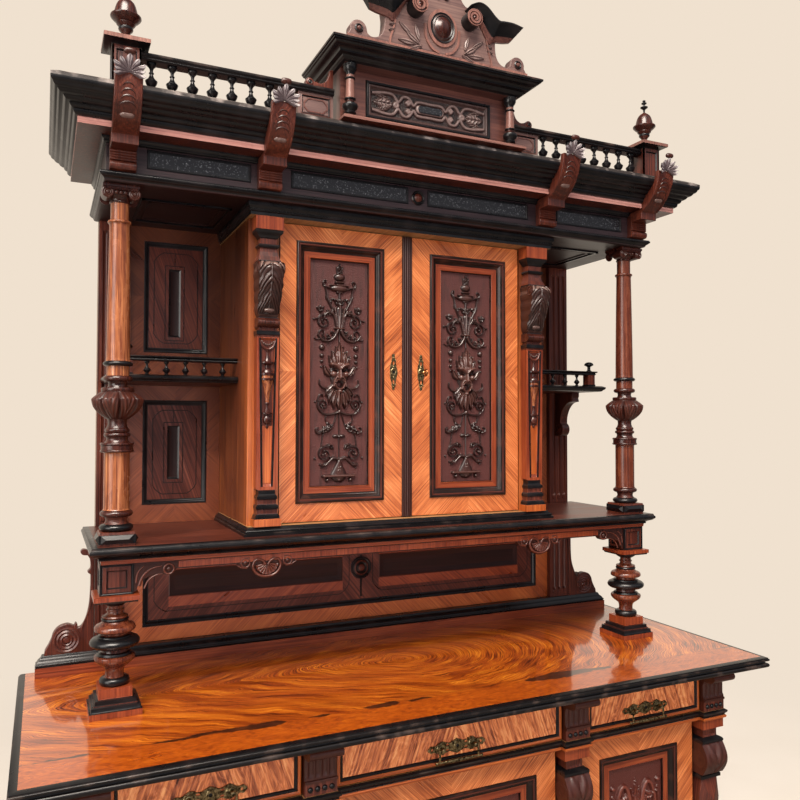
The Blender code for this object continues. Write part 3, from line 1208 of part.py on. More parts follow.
def gallery_cheek(side, sign, inner, z):
    # A low scroll on the rail, rising to the attic.
    points = [(inner, z - 0.001), (inner + 0.062, z - 0.001)]
    points += arc(inner + 0.054, z + 0.008, 0.009, -20, 160, 6)
    points += [(inner + 0.045 - 0.038 * math.sin(math.pi / 2 * i / 5),
                z + 0.008 + 0.032 * (1 - math.cos(math.pi / 2 * i / 5)))
               for i in range(1, 6)]
    points += [(inner, z + 0.046)]
    bm = in_xz(flat_shape("cheek", [[(sign * x, h) for x, h in points]], 0.012), TOP_GALLERY_Y)
    return place(f"top_cheek_{side}", bm)


def make_attic():
    base = CORNICE_TOP + GAP
    back = ATTIC_Y + ATTIC_DEPTH
    column_y = ATTIC_Y - COLONNETTE_PROUD
    bm = bmesh.new()
    ledge = [(0.25 * ATTIC_LEDGE_PROUD, 0), (0.25 * ATTIC_LEDGE_PROUD, ATTIC_LEDGE - 0.002),
             (0.006, ATTIC_LEDGE)]
    moulded(bm, oblong(-ATTIC_HALF, ATTIC_HALF, ATTIC_Y - ATTIC_LEDGE_PROUD, back), ledge, base,
            plain=(OBLONG_BACK,))
    attic = place("attic", bm, "walnut")
    bm = bmesh.new()
    half = ATTIC_HALF
    panel = (-half + 0.058, half - 0.058, ATTIC_BODY_Z + 0.018, ATTIC_CORNICE_Z - 0.016)
    lap = 0.002
    body = (-half, half, ATTIC_BODY_Z - lap, ATTIC_CORNICE_Z + lap)
    panelled(bm, body, panel, ATTIC_Y, ATTIC_DEPTH, [(0.002, 0.004), (0.006, 0.004), (0.010, -0.004),
                                                     (0.014, -0.005)])
    join(attic, place("attic_body", bm))
    bm = bmesh.new()
    out = ATTIC_CORNICE_PROUD
    tall = ATTIC_CORNICE
    profile = [(0, 0), (0.003, 0.003), (0.008, 0.007), (0.010, 0.011), (out * 0.45, 0.015),
               (out * 0.62, 0.022),
               (out * 0.92, 0.028), (out, 0.031), (out, tall - 0.003), (out - 0.006, tall)]
    moulded(bm, oblong(-half, half, ATTIC_Y - COLONNETTE_PROUD - 0.012, back), profile, ATTIC_CORNICE_Z,
            plain=(OBLONG_BACK,))
    join(attic, place("attic_cornice", bm))
    free = ATTIC_BODY - 2 * GAP
    parts = [drum(0.010, 0.013), torus(0.007, 0.008, 0.005, 2), bulb(0.019, 0.008, 0.017, 0.0085, 0.5, 2),
             torus(0.007, 0.0085, 0.004, 2)]
    head = [torus(0.006, 0.0082, 0.003, 2), drum(0.015, 0.0082, 0.013), drum(0.004, 0.014)]
    shaft = drum(free - height_of(parts) - height_of(head), 0.0098, 0.0082)
    profile = turned_profile(parts + [shaft] + head)
    for side, sign in (("left", -1), ("right", 1)):
        x = sign * (half - COLONNETTE_INSET)
        bm = bmesh.new()
        turned(bm, profile, (x, column_y, ATTIC_BODY_Z + 2 * GAP), 8)
        place(f"attic_colonnette_{side}", bm, "walnut")


def crest_outline():
    # Right half: ear with its curl, hollow waist, shoulder behind the swan neck, and the peak.
    half = CREST_WIDTH / 2
    peak = CREST_HEIGHT
    ear_x = half - 0.034
    right = [(half, 0.0)]
    right += [(half - 0.012, 0.012)]
    right += arc(ear_x, 0.024, 0.0175, -20, 170, 6)
    right += [(ear_x - 0.026, 0.014), (half - 0.078, 0.018)]
    right += [(half - 0.078 - 0.016 * math.sin(math.pi / 2 * i / 3),
               0.018 + 0.026 * (1 - math.cos(math.pi / 2 * i / 3)))
              for i in range(1, 4)]
    right += [(half - 0.094, 0.098), (half - 0.15, 0.118), (0.058, 0.128), (0.044, 0.146)]
    right += arc(0, peak - 0.026, 0.026, 10, 90, 4)
    return right + [(-x, z) for x, z in reversed(right[:-1])]


def swan_neck():
    # Right half of the broken pediment: a moulding that falls outwards from its volute.
    volute_x = 0.067
    volute_z = 0.093
    radius = 0.017
    top = [(volute_x + radius * 0.9, volute_z + 0.034), (volute_x + 0.030, volute_z + 0.030),
           (volute_x + 0.052, volute_z + 0.014), (volute_x + 0.066, volute_z + 0.006),
           (volute_x + 0.092, volute_z + 0.008), (volute_x + 0.126, volute_z + 0.004)]
    low = [(volute_x + 0.118, volute_z - 0.008), (volute_x + 0.104, volute_z - 0.024),
           (volute_x + 0.062, volute_z - 0.030), (volute_x + 0.050, volute_z - 0.036),
           (volute_x + 0.038, volute_z - 0.020), (volute_x + 0.022, volute_z + 0.004)]
    curl = arc(volute_x, volute_z, radius, -30, -270, 7)
    return top + low + curl + [(volute_x + radius * 0.4, volute_z + 0.031)]


def make_crest():
    base = ATTIC_TOP + GAP
    bm = in_xz(flat_shape("crest_board", [crest_outline()], CREST_THICKNESS), CREST_Y)
    bmesh.ops.translate(bm, verts=bm.verts, vec=(0, 0, base))
    crest = place("crest", bm, "carved")
    front = CREST_Y - CREST_THICKNESS / 2
    for side, sign in (("left", -1), ("right", 1)):
        points = [(sign * x, z) for x, z in swan_neck()]
        bm = in_xz(flat_shape("swan_neck", [points], CREST_MOULDING + 0.004),
                   front - CREST_MOULDING / 2 + 0.002)
        bmesh.ops.translate(bm, verts=bm.verts, vec=(0, 0, base))
        join(crest, place(f"crest_neck_{side}", bm))
    bm = bmesh.new()
    turned(bm, [(0.034, -0.004), (0.034, 0.005), (0.028, 0.008), (0.025, 0.005), (0.022, 0.009),
                (0.012, 0.014),
                (0.004, 0.015)], (0, 0, 0), TURN_STEPS)
    bmesh.ops.transform(bm, verts=bm.verts, matrix=Matrix.Translation((0, front, base + 0.067))
                        @ Matrix.Rotation(math.pi / 2, 4, "X") @ Matrix.Diagonal((0.9, 1.05, 1, 1)))
    join(crest, place("crest_medallion", bm))


make_plinth()
make_base_case()
make_consoles()
make_blocks()
make_base_doors()
make_drawers()
make_upper_back()
make_back_plinth()
make_balusters()
make_mid_shelf()
make_apron()
make_columns()
make_cupboard()
make_cupboard_doors()
make_gallery_shelves()
make_entablature()
make_cupboard_head()
make_cornice_brackets()
make_top_galleries()
make_attic()
make_crest()
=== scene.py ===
import bmesh
import bpy
import json
import math
import numpy as np
from mathutils import Matrix, Vector


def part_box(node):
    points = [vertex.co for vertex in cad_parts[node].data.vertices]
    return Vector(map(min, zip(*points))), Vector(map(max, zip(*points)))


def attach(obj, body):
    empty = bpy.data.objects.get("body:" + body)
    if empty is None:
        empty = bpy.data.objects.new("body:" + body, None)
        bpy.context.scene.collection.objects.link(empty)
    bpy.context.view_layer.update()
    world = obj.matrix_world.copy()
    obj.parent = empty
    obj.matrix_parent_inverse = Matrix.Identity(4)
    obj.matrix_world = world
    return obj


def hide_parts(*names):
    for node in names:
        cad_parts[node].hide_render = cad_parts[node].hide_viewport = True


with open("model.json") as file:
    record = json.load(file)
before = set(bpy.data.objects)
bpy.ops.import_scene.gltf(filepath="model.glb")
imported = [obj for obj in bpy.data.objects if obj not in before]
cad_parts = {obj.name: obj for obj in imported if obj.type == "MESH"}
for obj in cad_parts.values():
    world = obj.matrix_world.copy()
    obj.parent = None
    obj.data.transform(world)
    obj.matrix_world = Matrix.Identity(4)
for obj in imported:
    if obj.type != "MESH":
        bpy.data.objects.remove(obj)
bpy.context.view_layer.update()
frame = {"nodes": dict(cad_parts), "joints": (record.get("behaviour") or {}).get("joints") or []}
nodes = frame["nodes"]
print("frame loaded:", len(nodes), "nodes")


def hexToLinear(code):
    channels = [int(code[i:i + 2], 16) / 255 for i in (1, 3, 5)]
    return tuple(c / 12.92 if c <= 0.04045 else ((c + 0.055) / 1.055) ** 2.4 for c in channels) + (1.0,)


def addNode(tree, kind, sockets=None, **settings):
    # settings are the node's own fields, sockets are values or outputs for its inputs
    node = tree.nodes.new(kind if kind.startswith(("GeometryNode", "NodeGroup")) else "ShaderNode" + kind)
    for field, value in settings.items():
        setattr(node, field, value)
    for socket, value in (sockets or {}).items():
        if isinstance(value, bpy.types.NodeSocket):
            tree.links.new(value, node.inputs[socket])
        else:
            node.inputs[socket].default_value = value
    return node


def setRamp(node, stops):
    # stops run upwards; each is a place with a colour code or a plain value
    elements = node.color_ramp.elements
    elements.remove(elements[1])
    elements[0].position = stops[0][0]
    for number, (place, code) in enumerate(stops):
        element = elements.new(place) if number else elements[0]
        element.color = hexToLinear(code) if isinstance(code, str) else (code, code, code, 1.0)
    return node.outputs[0]


def newMaterial(name, roughness, coat=0.0, metallic=0.0, gloss=0.5):
    material = bpy.data.materials.new(name)
    material.use_nodes = True
    shader = material.node_tree.nodes["Principled BSDF"]
    shader.inputs["Roughness"].default_value = roughness
    shader.inputs["Metallic"].default_value = metallic
    shader.inputs["Specular IOR Level"].default_value = gloss
    shader.inputs["Coat Weight"].default_value = coat
    shader.inputs["Coat Roughness"].default_value = 0.12
    return material, material.node_tree, shader


def grainVector(tree, source, along, across, turn=(0.0, 0.0, 0.0)):
    # coordinates counted in grain lengths and widths; source is the grain UV map, or the axis the grain
    # follows
    if source == "uv":
        start = addNode(tree, "UVMap", uv_map="grain").outputs[0]
        scale = (1 / along, 1 / across, 1 / across)
    else:
        start = addNode(tree, "TexCoord").outputs["Object"]
        scale = tuple(1 / along if axis == source else 1 / across for axis in "xyz")
    return addNode(tree, "Mapping", {"Vector": start, "Scale": scale, "Rotation": turn}).outputs[0]


def walnutFinish(name, source, stops, stripe=0.003, figure=0.06, roughness=0.3, coat=0.0, wave=0.25,
                 paintedShade=None):
    # polished walnut: fine stripes a few mm apart over a broad soft figure, with open pores; a painted shade
    # may darken the colour from one height to another, down to a share, standing in for the shadow under an
    # overhang
    material, tree, shader = newMaterial(name, roughness, coat)
    broad = addNode(tree, "TexNoise", {
        "Vector": grainVector(tree, source, figure * 3.0, figure), "Scale": 1.0, "Detail": 3.0,
        "Distortion": wave * 4})
    stripes = addNode(tree, "TexNoise", {
        "Vector": grainVector(tree, source, stripe * 90, stripe), "Scale": 1.0, "Detail": 3.0,
        "Roughness": 0.6, "Distortion": wave})
    fibre = addNode(tree, "TexNoise", {
        "Vector": grainVector(tree, source, 0.03, 0.0009), "Scale": 1.0, "Detail": 2.0})
    mixed = addNode(tree, "Mix", {
        0: 0.34, 2: stripes.outputs["Fac"], 3: broad.outputs["Fac"]}, data_type="FLOAT")
    mixed = addNode(tree, "Mix", {
        0: 0.16, 2: mixed.outputs[0], 3: fibre.outputs["Fac"]}, data_type="FLOAT")
    spread = addNode(tree, "MapRange", {"Value": mixed.outputs[0], "From Min": 0.34, "From Max": 0.66})
    colour = setRamp(addNode(tree, "ValToRGB", {"Fac": spread.outputs[0]}), stops)
    # painted shade: the colour is multiplied darker from one height up to another, for the shadow under an
    # overhang
    if paintedShade:
        place = addNode(tree, "TexCoord").outputs["Object"]
        height = addNode(tree, "SeparateXYZ", {0: place}).outputs[2]
        shadeShare = addNode(tree, "MapRange", {
            "Value": height, "From Min": paintedShade[0], "From Max": paintedShade[1], "To Min": 1.0, "To Max": paintedShade[2]},
            interpolation_type="SMOOTHSTEP").outputs[0]
        colour = addNode(tree, "Mix", {
            0: 1.0, 6: colour, 7: shadeShare}, data_type="RGBA", blend_type="MULTIPLY").outputs[2]
    tree.links.new(colour, shader.inputs["Base Color"])
    rough = addNode(tree, "MapRange", {
        "Value": broad.outputs["Fac"], "To Min": roughness - 0.08, "To Max": roughness + 0.1})
    tree.links.new(rough.outputs[0], shader.inputs["Roughness"])
    bump = addNode(tree, "Bump", {
        "Strength": 0.15, "Distance": 0.0003, "Height": fibre.outputs["Fac"]})
    tree.links.new(bump.outputs[0], shader.inputs["Normal"])
    return material


def worktopFinish():
    # polished crotch walnut matched in four about the middle: its stripes run in a diamond on the left and
    # in arcs
    # on the right; near the front edge lies a ragged dark streak with a strip of burr before it
    settings = {"middle": 0.055, "lean": 0.45, "stripe": 0.0019, "streak": -0.203, "half": 0.825,
                "fattest": 0.02}
    # the streak's blots, in mm: place along the board and half width
    blots = ((-825, 4), (-705, 6), (-690, 0), (-640, 0), (-620, 5), (-480, 8), (-420, 13), (-365, 13),
             (-352, 0),
             (-318, 0), (-300, 7), (-272, 7), (-262, 0), (-200, 0), (-185, 10), (-130, 12), (-112, 2),
             (-88, 7),
             (-50, 8), (-30, 0), (180, 0), (200, 10), (270, 18), (360, 12), (425, 6), (440, 0), (458, 6),
             (480, 0), (620, 0), (640, 7), (670, 0), (800, 5))
    material, tree, shader = newMaterial("walnutCrotchVeneer", 0.3, 1.0)
    shader.inputs["Coat Roughness"].default_value = 0.06

    place = addNode(tree, "TexCoord").outputs["Object"]
    x, y, _ = addNode(tree, "SeparateXYZ", {0: place}).outputs
    # noises over the board: scale, detail, distortion and roughness
    warp, curl, wander, burr, ragged = (addNode(tree, "TexNoise", {
        "Vector": addNode(tree, "Mapping", {"Vector": place, "Scale": scale}).outputs[0],
        "Scale": 1.0, "Detail": detail, "Distortion": distortion, "Roughness": roughness}).outputs["Fac"]
        for scale, detail, distortion, roughness in (
            ((4, 7, 1), 3.0, 0.0, 0.5), ((16, 30, 1), 3.0, 0.0, 0.5), ((5, 0, 0), 2.0, 0.0, 0.5),
            ((38, 75, 1), 4.0, 1.8, 0.5), ((26, 80, 1), 5.0, 0.0, 0.62)))
    at = addNode(tree, "MapRange", {
        "Value": x, "From Min": -settings["half"], "From Max": settings["half"]}).outputs[0]
    table = [((mm / 1000 + settings["half"]) / (2 * settings["half"]), size / 1000 / settings["fattest"])
             for mm, size in blots]
    fat = setRamp(addNode(tree, "ValToRGB", {"Fac": at}), table)
    # sums in order, each named for the later ones: how far over the middle a place lies, the diamond and
    # the arcs
    # round it, how far from the streak, and how far inside a blot
    sums = {"x": x, "y": y, "warp": warp, "curl": curl, "wander": wander, "fat": fat, "ragged": ragged}
    for name, operation, given in (
            ("off", "SUBTRACT", ("y", settings["middle"] + 0.055)),
            ("sway", "MULTIPLY", ("curl", 0.02)),
            ("drift", "MULTIPLY_ADD", ("warp", 0.09, "sway")),
            ("over", "ADD", ("off", "drift")),
            ("square", "MULTIPLY", ("over", "over")),
            ("eased", "ADD", ("square", 0.0003)),
            ("rise", "SQRT", ("eased",)),
            ("side", "ABSOLUTE", ("x",)),
            ("diamond", "MULTIPLY_ADD", ("side", settings["lean"], "rise")),
            ("flank", "MULTIPLY", ("x", "x")),
            ("bowed", "MULTIPLY_ADD", ("flank", 0.34, "square")),
            ("arcs", "SQRT", ("bowed",)),
            ("along", "MULTIPLY_ADD", ("over", 0.6, "x")),
            ("line", "MULTIPLY_ADD", ("wander", 0.02, settings["streak"] - 0.01)),
            ("away", "SUBTRACT", ("y", "line")),
            ("near", "ABSOLUTE", ("away",)),
            ("grown", "MULTIPLY_ADD", ("fat", 1.25 * settings["fattest"], -0.0165)),
            ("reach", "MULTIPLY_ADD", ("ragged", 0.026, "grown")),
            ("inside", "SUBTRACT", ("reach", "near"))):
        sums[name] = addNode(tree, "Math", {
            number: sums.get(value, value) for number, value in enumerate(given)},
            operation=operation).outputs[0]
    # soft steps between the two halves, at the burr strip and at the blots
    rightHalf, burrShare, blot = (addNode(tree, "MapRange", {
        "Value": sums[name], "From Min": low, "From Max": high, "To Max": most},
        interpolation_type="SMOOTHSTEP").outputs[0]
        for name, low, high, most in (
            ("x", -0.02, 0.02, 1.0), ("away", 0.01, -0.01, 0.75), ("inside", -0.0015, 0.002, 0.94)))
    across = addNode(tree, "Mix", {0: rightHalf, 2: sums["diamond"], 3: sums["arcs"]}, data_type="FLOAT")
    grain = addNode(tree, "CombineXYZ", {0: sums["along"], 1: across.outputs[0]}).outputs[0]
    stripes, flame = (addNode(tree, "TexNoise", {
        "Vector": addNode(tree, "Mapping", {"Vector": grain, "Scale": scale}).outputs[0],
        "Scale": 1.0, "Detail": 3.0, "Distortion": distortion, "Roughness": roughness}).outputs["Fac"]
        for scale, distortion, roughness in (((9, 1 / settings["stripe"], 1), 0.0, 0.62),
                ((9, 34, 1), 0.4, 0.5)))
    striped = addNode(tree, "Mix", {0: 0.3, 2: stripes, 3: flame}, data_type="FLOAT")
    figure = addNode(tree, "MapRange", {"Value": striped.outputs[0], "From Min": 0.36,
        "From Max": 0.64}).outputs[0]
    # burr strip in front of the streak
    figure = addNode(tree, "Mix", {0: burrShare, 2: figure, 3: burr}, data_type="FLOAT").outputs[0]
    colour = setRamp(addNode(tree, "ValToRGB", {"Fac": figure}), [
        (0.0, "#2a0b03"), (0.28, "#6e2806"), (0.6, "#a64d0d"), (1.0, "#d98423")])
    dark = setRamp(addNode(tree, "ValToRGB", {"Fac": ragged}), [(0.35, "#42200f"), (0.6, "#1d0d07")])
    final = addNode(tree, "Mix", {0: blot, 6: colour, 7: dark}, data_type="RGBA")
    tree.links.new(final.outputs[2], shader.inputs["Base Color"])
    rough = addNode(tree, "MapRange", {"Value": warp, "To Min": 0.22, "To Max": 0.38})
    tree.links.new(rough.outputs[0], shader.inputs["Roughness"])
    return material


def boardFinish(name, stops, wide=0.112):
    # waxed back boards side by side: each has its own tone and grain, with a dark joint between two
    material, tree, shader = newMaterial(name, 0.5)
    place = addNode(tree, "TexCoord").outputs["Object"]
    x = addNode(tree, "SeparateXYZ", {0: place}).outputs[0]

    count = addNode(tree, "Math", {0: x, 1: 1 / wide, 2: 100.5}, operation="MULTIPLY_ADD").outputs[0]
    number = addNode(tree, "Math", {0: count}, operation="FLOOR").outputs[0]
    tone = addNode(tree, "TexWhiteNoise", {"W": number}, noise_dimensions="1D").outputs["Value"]
    moved = addNode(tree, "VectorMath", {0: tone, 1: (3.0, 0.0, 9.0), 2: place},
                    operation="MULTIPLY_ADD").outputs[0]
    lines, figure = (addNode(tree, "TexNoise", {
        "Vector": addNode(tree, "Mapping", {"Vector": moved, "Scale": scale}).outputs[0],
        "Scale": 1.0, "Detail": 4.0, "Distortion": 0.8}).outputs["Fac"] for scale in ((260, 260, 6),
            (26, 26, 2)))
    mixed = -0.15
    for source, share in ((tone, 0.3), (figure, 0.45), (lines, 0.55)):
        mixed = addNode(tree, "Math", {0: source, 1: share, 2: mixed}, operation="MULTIPLY_ADD").outputs[0]
    spread = addNode(tree, "MapRange", {"Value": mixed, "From Min": 0.3, "From Max": 0.7}).outputs[0]
    colour = setRamp(addNode(tree, "ValToRGB", {"Fac": spread}), stops)
    edge = addNode(tree, "Math", {0: count, 1: 0.5}, operation="PINGPONG").outputs[0]
    joint = addNode(tree, "MapRange", {"Value": edge, "From Max": 0.016}).outputs[0]
    final = addNode(tree, "Mix", {0: joint, 6: hexToLinear("#1d120b"), 7: colour}, data_type="RGBA")
    tree.links.new(final.outputs[2], shader.inputs["Base Color"])
    bump = addNode(tree, "Bump", {"Strength": 0.6, "Distance": 0.002, "Height": joint})
    tree.links.new(bump.outputs[0], shader.inputs["Normal"])
    return material


def carvedFinish(name, ground, low, high, groundRough=0.55, waxed=0.08):
    # waxed carved walnut: matt punched ground, dark hollows, and high places coloured lighter, partly rubbed
    # wear and partly painted highlight; depth runs 0 to 1
    material, tree, shader = newMaterial(name, 0.36, waxed)
    depth = addNode(tree, "Attribute", attribute_name="depth").outputs["Fac"]
    place = addNode(tree, "TexCoord").outputs["Object"]
    grain = addNode(tree, "TexNoise", {
        "Vector": addNode(tree, "Mapping", {"Vector": place, "Scale": (160, 160, 18)}).outputs[0],
        "Scale": 1.0, "Detail": 3.0})
    shifted = addNode(tree, "Math", {
        0: grain.outputs["Fac"], 1: 0.3, 2: addNode(tree, "Math", {
            0: depth, 1: 0.15}, operation="SUBTRACT").outputs[0]}, operation="MULTIPLY_ADD")
    # the high colour on raised carving is partly wear and partly a painted highlight
    colour = setRamp(addNode(tree, "ValToRGB", {"Fac": shifted.outputs[0]}), [
        (0.0, ground), (0.1, low), (0.5, low), (1.0, high)])
    tree.links.new(colour, shader.inputs["Base Color"])
    rough = addNode(tree, "MapRange", {
        "Value": depth, "From Min": 0.0, "From Max": 0.12, "To Min": groundRough, "To Max": 0.36})
    tree.links.new(rough.outputs[0], shader.inputs["Roughness"])
    punch = addNode(tree, "TexVoronoi", {"Vector": place, "Scale": 420.0})  # punch marks, 2.4 mm
    fade = addNode(tree, "MapRange", {
        "Value": depth, "From Min": 0.0, "From Max": 0.08, "To Min": 0.75, "To Max": 0.06})
    bump = addNode(tree, "Bump", {
        "Strength": fade.outputs[0], "Distance": 0.0012, "Height": punch.outputs["Distance"]})
    tree.links.new(bump.outputs[0], shader.inputs["Normal"])
    return material


def ebonisedFinish(name, black, worn, roughness, scale=26.0, bare=0.5):
    # pear stained black and waxed: nearly black, brown where hands have rubbed it
    material, tree, shader = newMaterial(name, roughness, gloss=0.4)
    place = addNode(tree, "TexCoord").outputs["Object"]
    rubbed = addNode(tree, "TexNoise", {"Vector": place, "Scale": scale, "Detail": 5.0})
    fac = addNode(tree, "MapRange", {
        "Value": rubbed.outputs["Fac"], "From Min": bare, "From Max": bare + 0.28})
    colour = setRamp(addNode(tree, "ValToRGB", {"Fac": fac.outputs[0]}), [(0.0, black), (1.0, worn)])
    tree.links.new(colour, shader.inputs["Base Color"])
    rough = addNode(tree, "MapRange", {
        "Value": rubbed.outputs["Fac"], "To Min": roughness - 0.1, "To Max": roughness + 0.14})
    tree.links.new(rough.outputs[0], shader.inputs["Roughness"])
    return material


def metalFinish(name, bright, tarnish, roughness):
    # cast brass, lacquer gone: bright where rubbed, brown in the hollows
    material, tree, shader = newMaterial(name, roughness, 0.0, 1.0)
    place = addNode(tree, "TexCoord").outputs["Object"]
    spots = addNode(tree, "TexNoise", {"Vector": place, "Scale": 190.0, "Detail": 4.0})
    colour = setRamp(addNode(tree, "ValToRGB", {"Fac": spots.outputs["Fac"]}), [
        (0.34, tarnish), (0.62, bright)])
    tree.links.new(colour, shader.inputs["Base Color"])
    rough = addNode(tree, "MapRange", {
        "Value": spots.outputs["Fac"], "To Min": roughness + 0.16, "To Max": roughness - 0.08})
    tree.links.new(rough.outputs[0], shader.inputs["Roughness"])
    return material


orangeStops = [(0.0, "#552613"), (0.35, "#934a25"), (0.7, "#be6f3d"), (1.0, "#dd9763")]
redStops = [(0.0, "#1e0a08"), (0.4, "#3a1710"), (0.75, "#57281b"), (1.0, "#713a28")]
turnedStops = [(0.0, "#32150e"), (0.35, "#66341f"), (0.7, "#935835"), (1.0, "#b98052")]
finishes = {
    "veneer": walnutFinish("stripedWalnutVeneer", "uv", orangeStops, 0.0024),
    "burr": walnutFinish("figuredWalnutVeneer", "uv", [(0.0, "#33170f"), (0.3, "#8c472a"), (0.6, "#c97443"),
                                                      (1.0, "#eaa76b")], 0.011, 0.034, 0.26, wave=1.3),
    "splashVeneer": walnutFinish("splashWalnutVeneer", "uv", [(0.0, "#501d0b"), (0.4, "#8a421f"),
        (1.0, "#b56733")], 0.0024),
    # niche veneer: a darker copy of the walnut that darkens further towards its top, painted shade under the
    # entablature
    "nicheVeneer": walnutFinish("shadedNicheWalnutVeneer", "uv", [(0.0, "#3a1810"), (0.4, "#66321f"),
        (1.0, "#8e4f2f")], 0.0024,
                                paintedShade=(1.42, 1.92, 0.36)),
    # pilaster stile: darkens towards its top, painted shade under the cornice
    "stile": walnutFinish("stileWalnut", "z", [(0.0, "#55230f"), (0.4, "#83401e"), (1.0, "#a85f30")], 0.004,
                          paintedShade=(1.5, 2.0, 0.35)),
    "redVeneer": walnutFinish("darkWalnutVeneer", "uv", redStops, 0.004, 0.08, 0.34),
    "friezeVeneer": walnutFinish("friezeWalnutVeneer", "uv", [(0.0, "#120b0e"), (0.4, "#201518"),
        (1.0, "#372628")],
                                 0.004, 0.08, 0.36),
    # near-black walnut: a dark stain in the sunk slots, and painted shade on the entablature's underside
    "stained": walnutFinish("stainedAndShadedWalnut", "uv", [(0.0, "#0d0404"), (0.5, "#1a0807"), (1.0, "#2a0f0b")],
                            0.004, 0.08, 0.42),
    "dusty": walnutFinish("dustyWalnut", "uv", [(0.0, "#3f2c2a"), (0.4, "#57403c"), (1.0, "#70574f")],
                          0.004, 0.05, 0.5),
    "rubbed": walnutFinish("rubbedWalnutEdge", "uv", [(0.0, "#4c312b"), (0.5, "#6d4a41"), (1.0, "#885f53")],
                           0.004),
    "turned": walnutFinish("turnedWalnut", "z", turnedStops, 0.003, 0.03, 0.26),
    "deepTurned": walnutFinish("deepTurnedWalnut", "z", [(0.0, "#260d08"), (0.4, "#4c2115"),
        (1.0, "#774027")],
                               0.003, 0.03, 0.26),
    "strip": walnutFinish("orangeWalnutStrip", "uv", [(0.0, "#5a220c"), (0.4, "#893f18"), (1.0, "#b05e28")],
                          0.004),
    "redStrip": walnutFinish("redWalnutStrip", "uv", [(0.0, "#3f150b"), (0.4, "#6b2b16"), (1.0, "#904624")],
                             0.004), "plain": walnutFinish("plainWalnut", "z", redStops, 0.006, 0.1, 0.4),
    "darkTurned": walnutFinish("darkTurnedWalnut", "z", [(0.0, "#170807"), (0.5, "#2f130e"),
        (1.0, "#4d2418")],
                               0.003, 0.03, 0.26),
    "sideVeneer": walnutFinish("straightWalnutVeneer", "z", orangeStops, 0.004, 0.08),
    # cupboard sides: a darker copy of the side veneer that darkens further towards the top, painted shade in
    # the niches
    "innerSide": walnutFinish("shadedSideWalnutVeneer", "z", [(0.0, "#2e140c"), (0.4, "#5e2d19"),
        (0.75, "#814524"),
                                                         (1.0, "#9b5b30")], 0.004, 0.08,
                                                         paintedShade=(1.6, 2.0, 0.4)),
    "plinth": walnutFinish("plinthWalnut", "x", redStops, 0.006, 0.12),
    "oak": walnutFinish("waxedOak", "y", [(0.0, "#6d4b2c"), (0.5, "#8f683f"), (1.0, "#a9835a")], 0.004, 0.1,
                        0.5),
    "boards": boardFinish("waxedOakBoards", [(0.0, "#573b23"), (0.5, "#876340"), (1.0, "#a9855c")]),
    "oakShelf": walnutFinish("waxedOakShelf", "x", [(0.0, "#6d4b2c"), (0.5, "#8f683f"), (1.0, "#a9835a")],
                             0.004, 0.1, 0.5), "worktop": worktopFinish(),
    "carved": carvedFinish("carvedWalnut", "#46201c", "#1f0c0a", "#4d2e27", waxed=0.45),
    "greyCarved": carvedFinish("greyCarvedWalnut", "#1c1211", "#3b2926", "#84706b", 0.4),
    "atticVeneer": walnutFinish("duskyWalnutVeneer", "uv", [(0.0, "#2a1715"), (0.4, "#4a2c27"),
        (1.0, "#6a443a")], 0.004, 0.08),
    "redCarved": carvedFinish("redCarvedWalnut", "#4a221b", "#451d16", "#74392a", 0.45),
    "darkCarved": carvedFinish("darkCarvedWalnut", "#1a0b0a", "#2b120d", "#55281c", 0.36),
    # carved walnut pale on its high places: rubbed wear, and on the pilaster's corbel a painted highlight
    "leaf": carvedFinish("rubbedAndHighlitCarvedWalnut", "#160a09", "#2c1814", "#7d655d", 0.34),
    # dark carved walnut with near-white high places: a painted highlight on the bracket crowns
    "silver": carvedFinish("highlitCarvedWalnut", "#1a1211", "#54484a", "#ded8d6", 0.4),
    "brownBlack": ebonisedFinish("rubbedEbonisedBead", "#140b09", "#44241a", 0.3),
    "black": ebonisedFinish("ebonisedPear", "#0a0a0c", "#1e191a", 0.28),
    "wornBlack": ebonisedFinish("wornEbonisedPear", "#0e0b0b", "#4a3c35", 0.32),
    # pale grey over black: rubbed bare on the worktop bead, and a painted sheen on the cornice's top lip
    "lip": ebonisedFinish("wornAndSheenEbonisedLip", "#2b2624", "#a0958f", 0.4),
    "slate": ebonisedFinish("ebonisedPanel", "#1d1e21", "#8d8f92", 0.2, 300.0, 0.58),
    "fascia": walnutFinish("duskyWalnutFascia", "uv", [(0.0, "#6a423c"), (0.4, "#a06d63"),
        (1.0, "#c49488")], 0.004),
    "brass": metalFinish("agedBrass", "#ab9a72", "#33281a", 0.34),
    "copper": metalFinish("copperAlloy", "#c98b5a", "#6e4327", 0.28),
}
print("finishes made:", len(finishes))


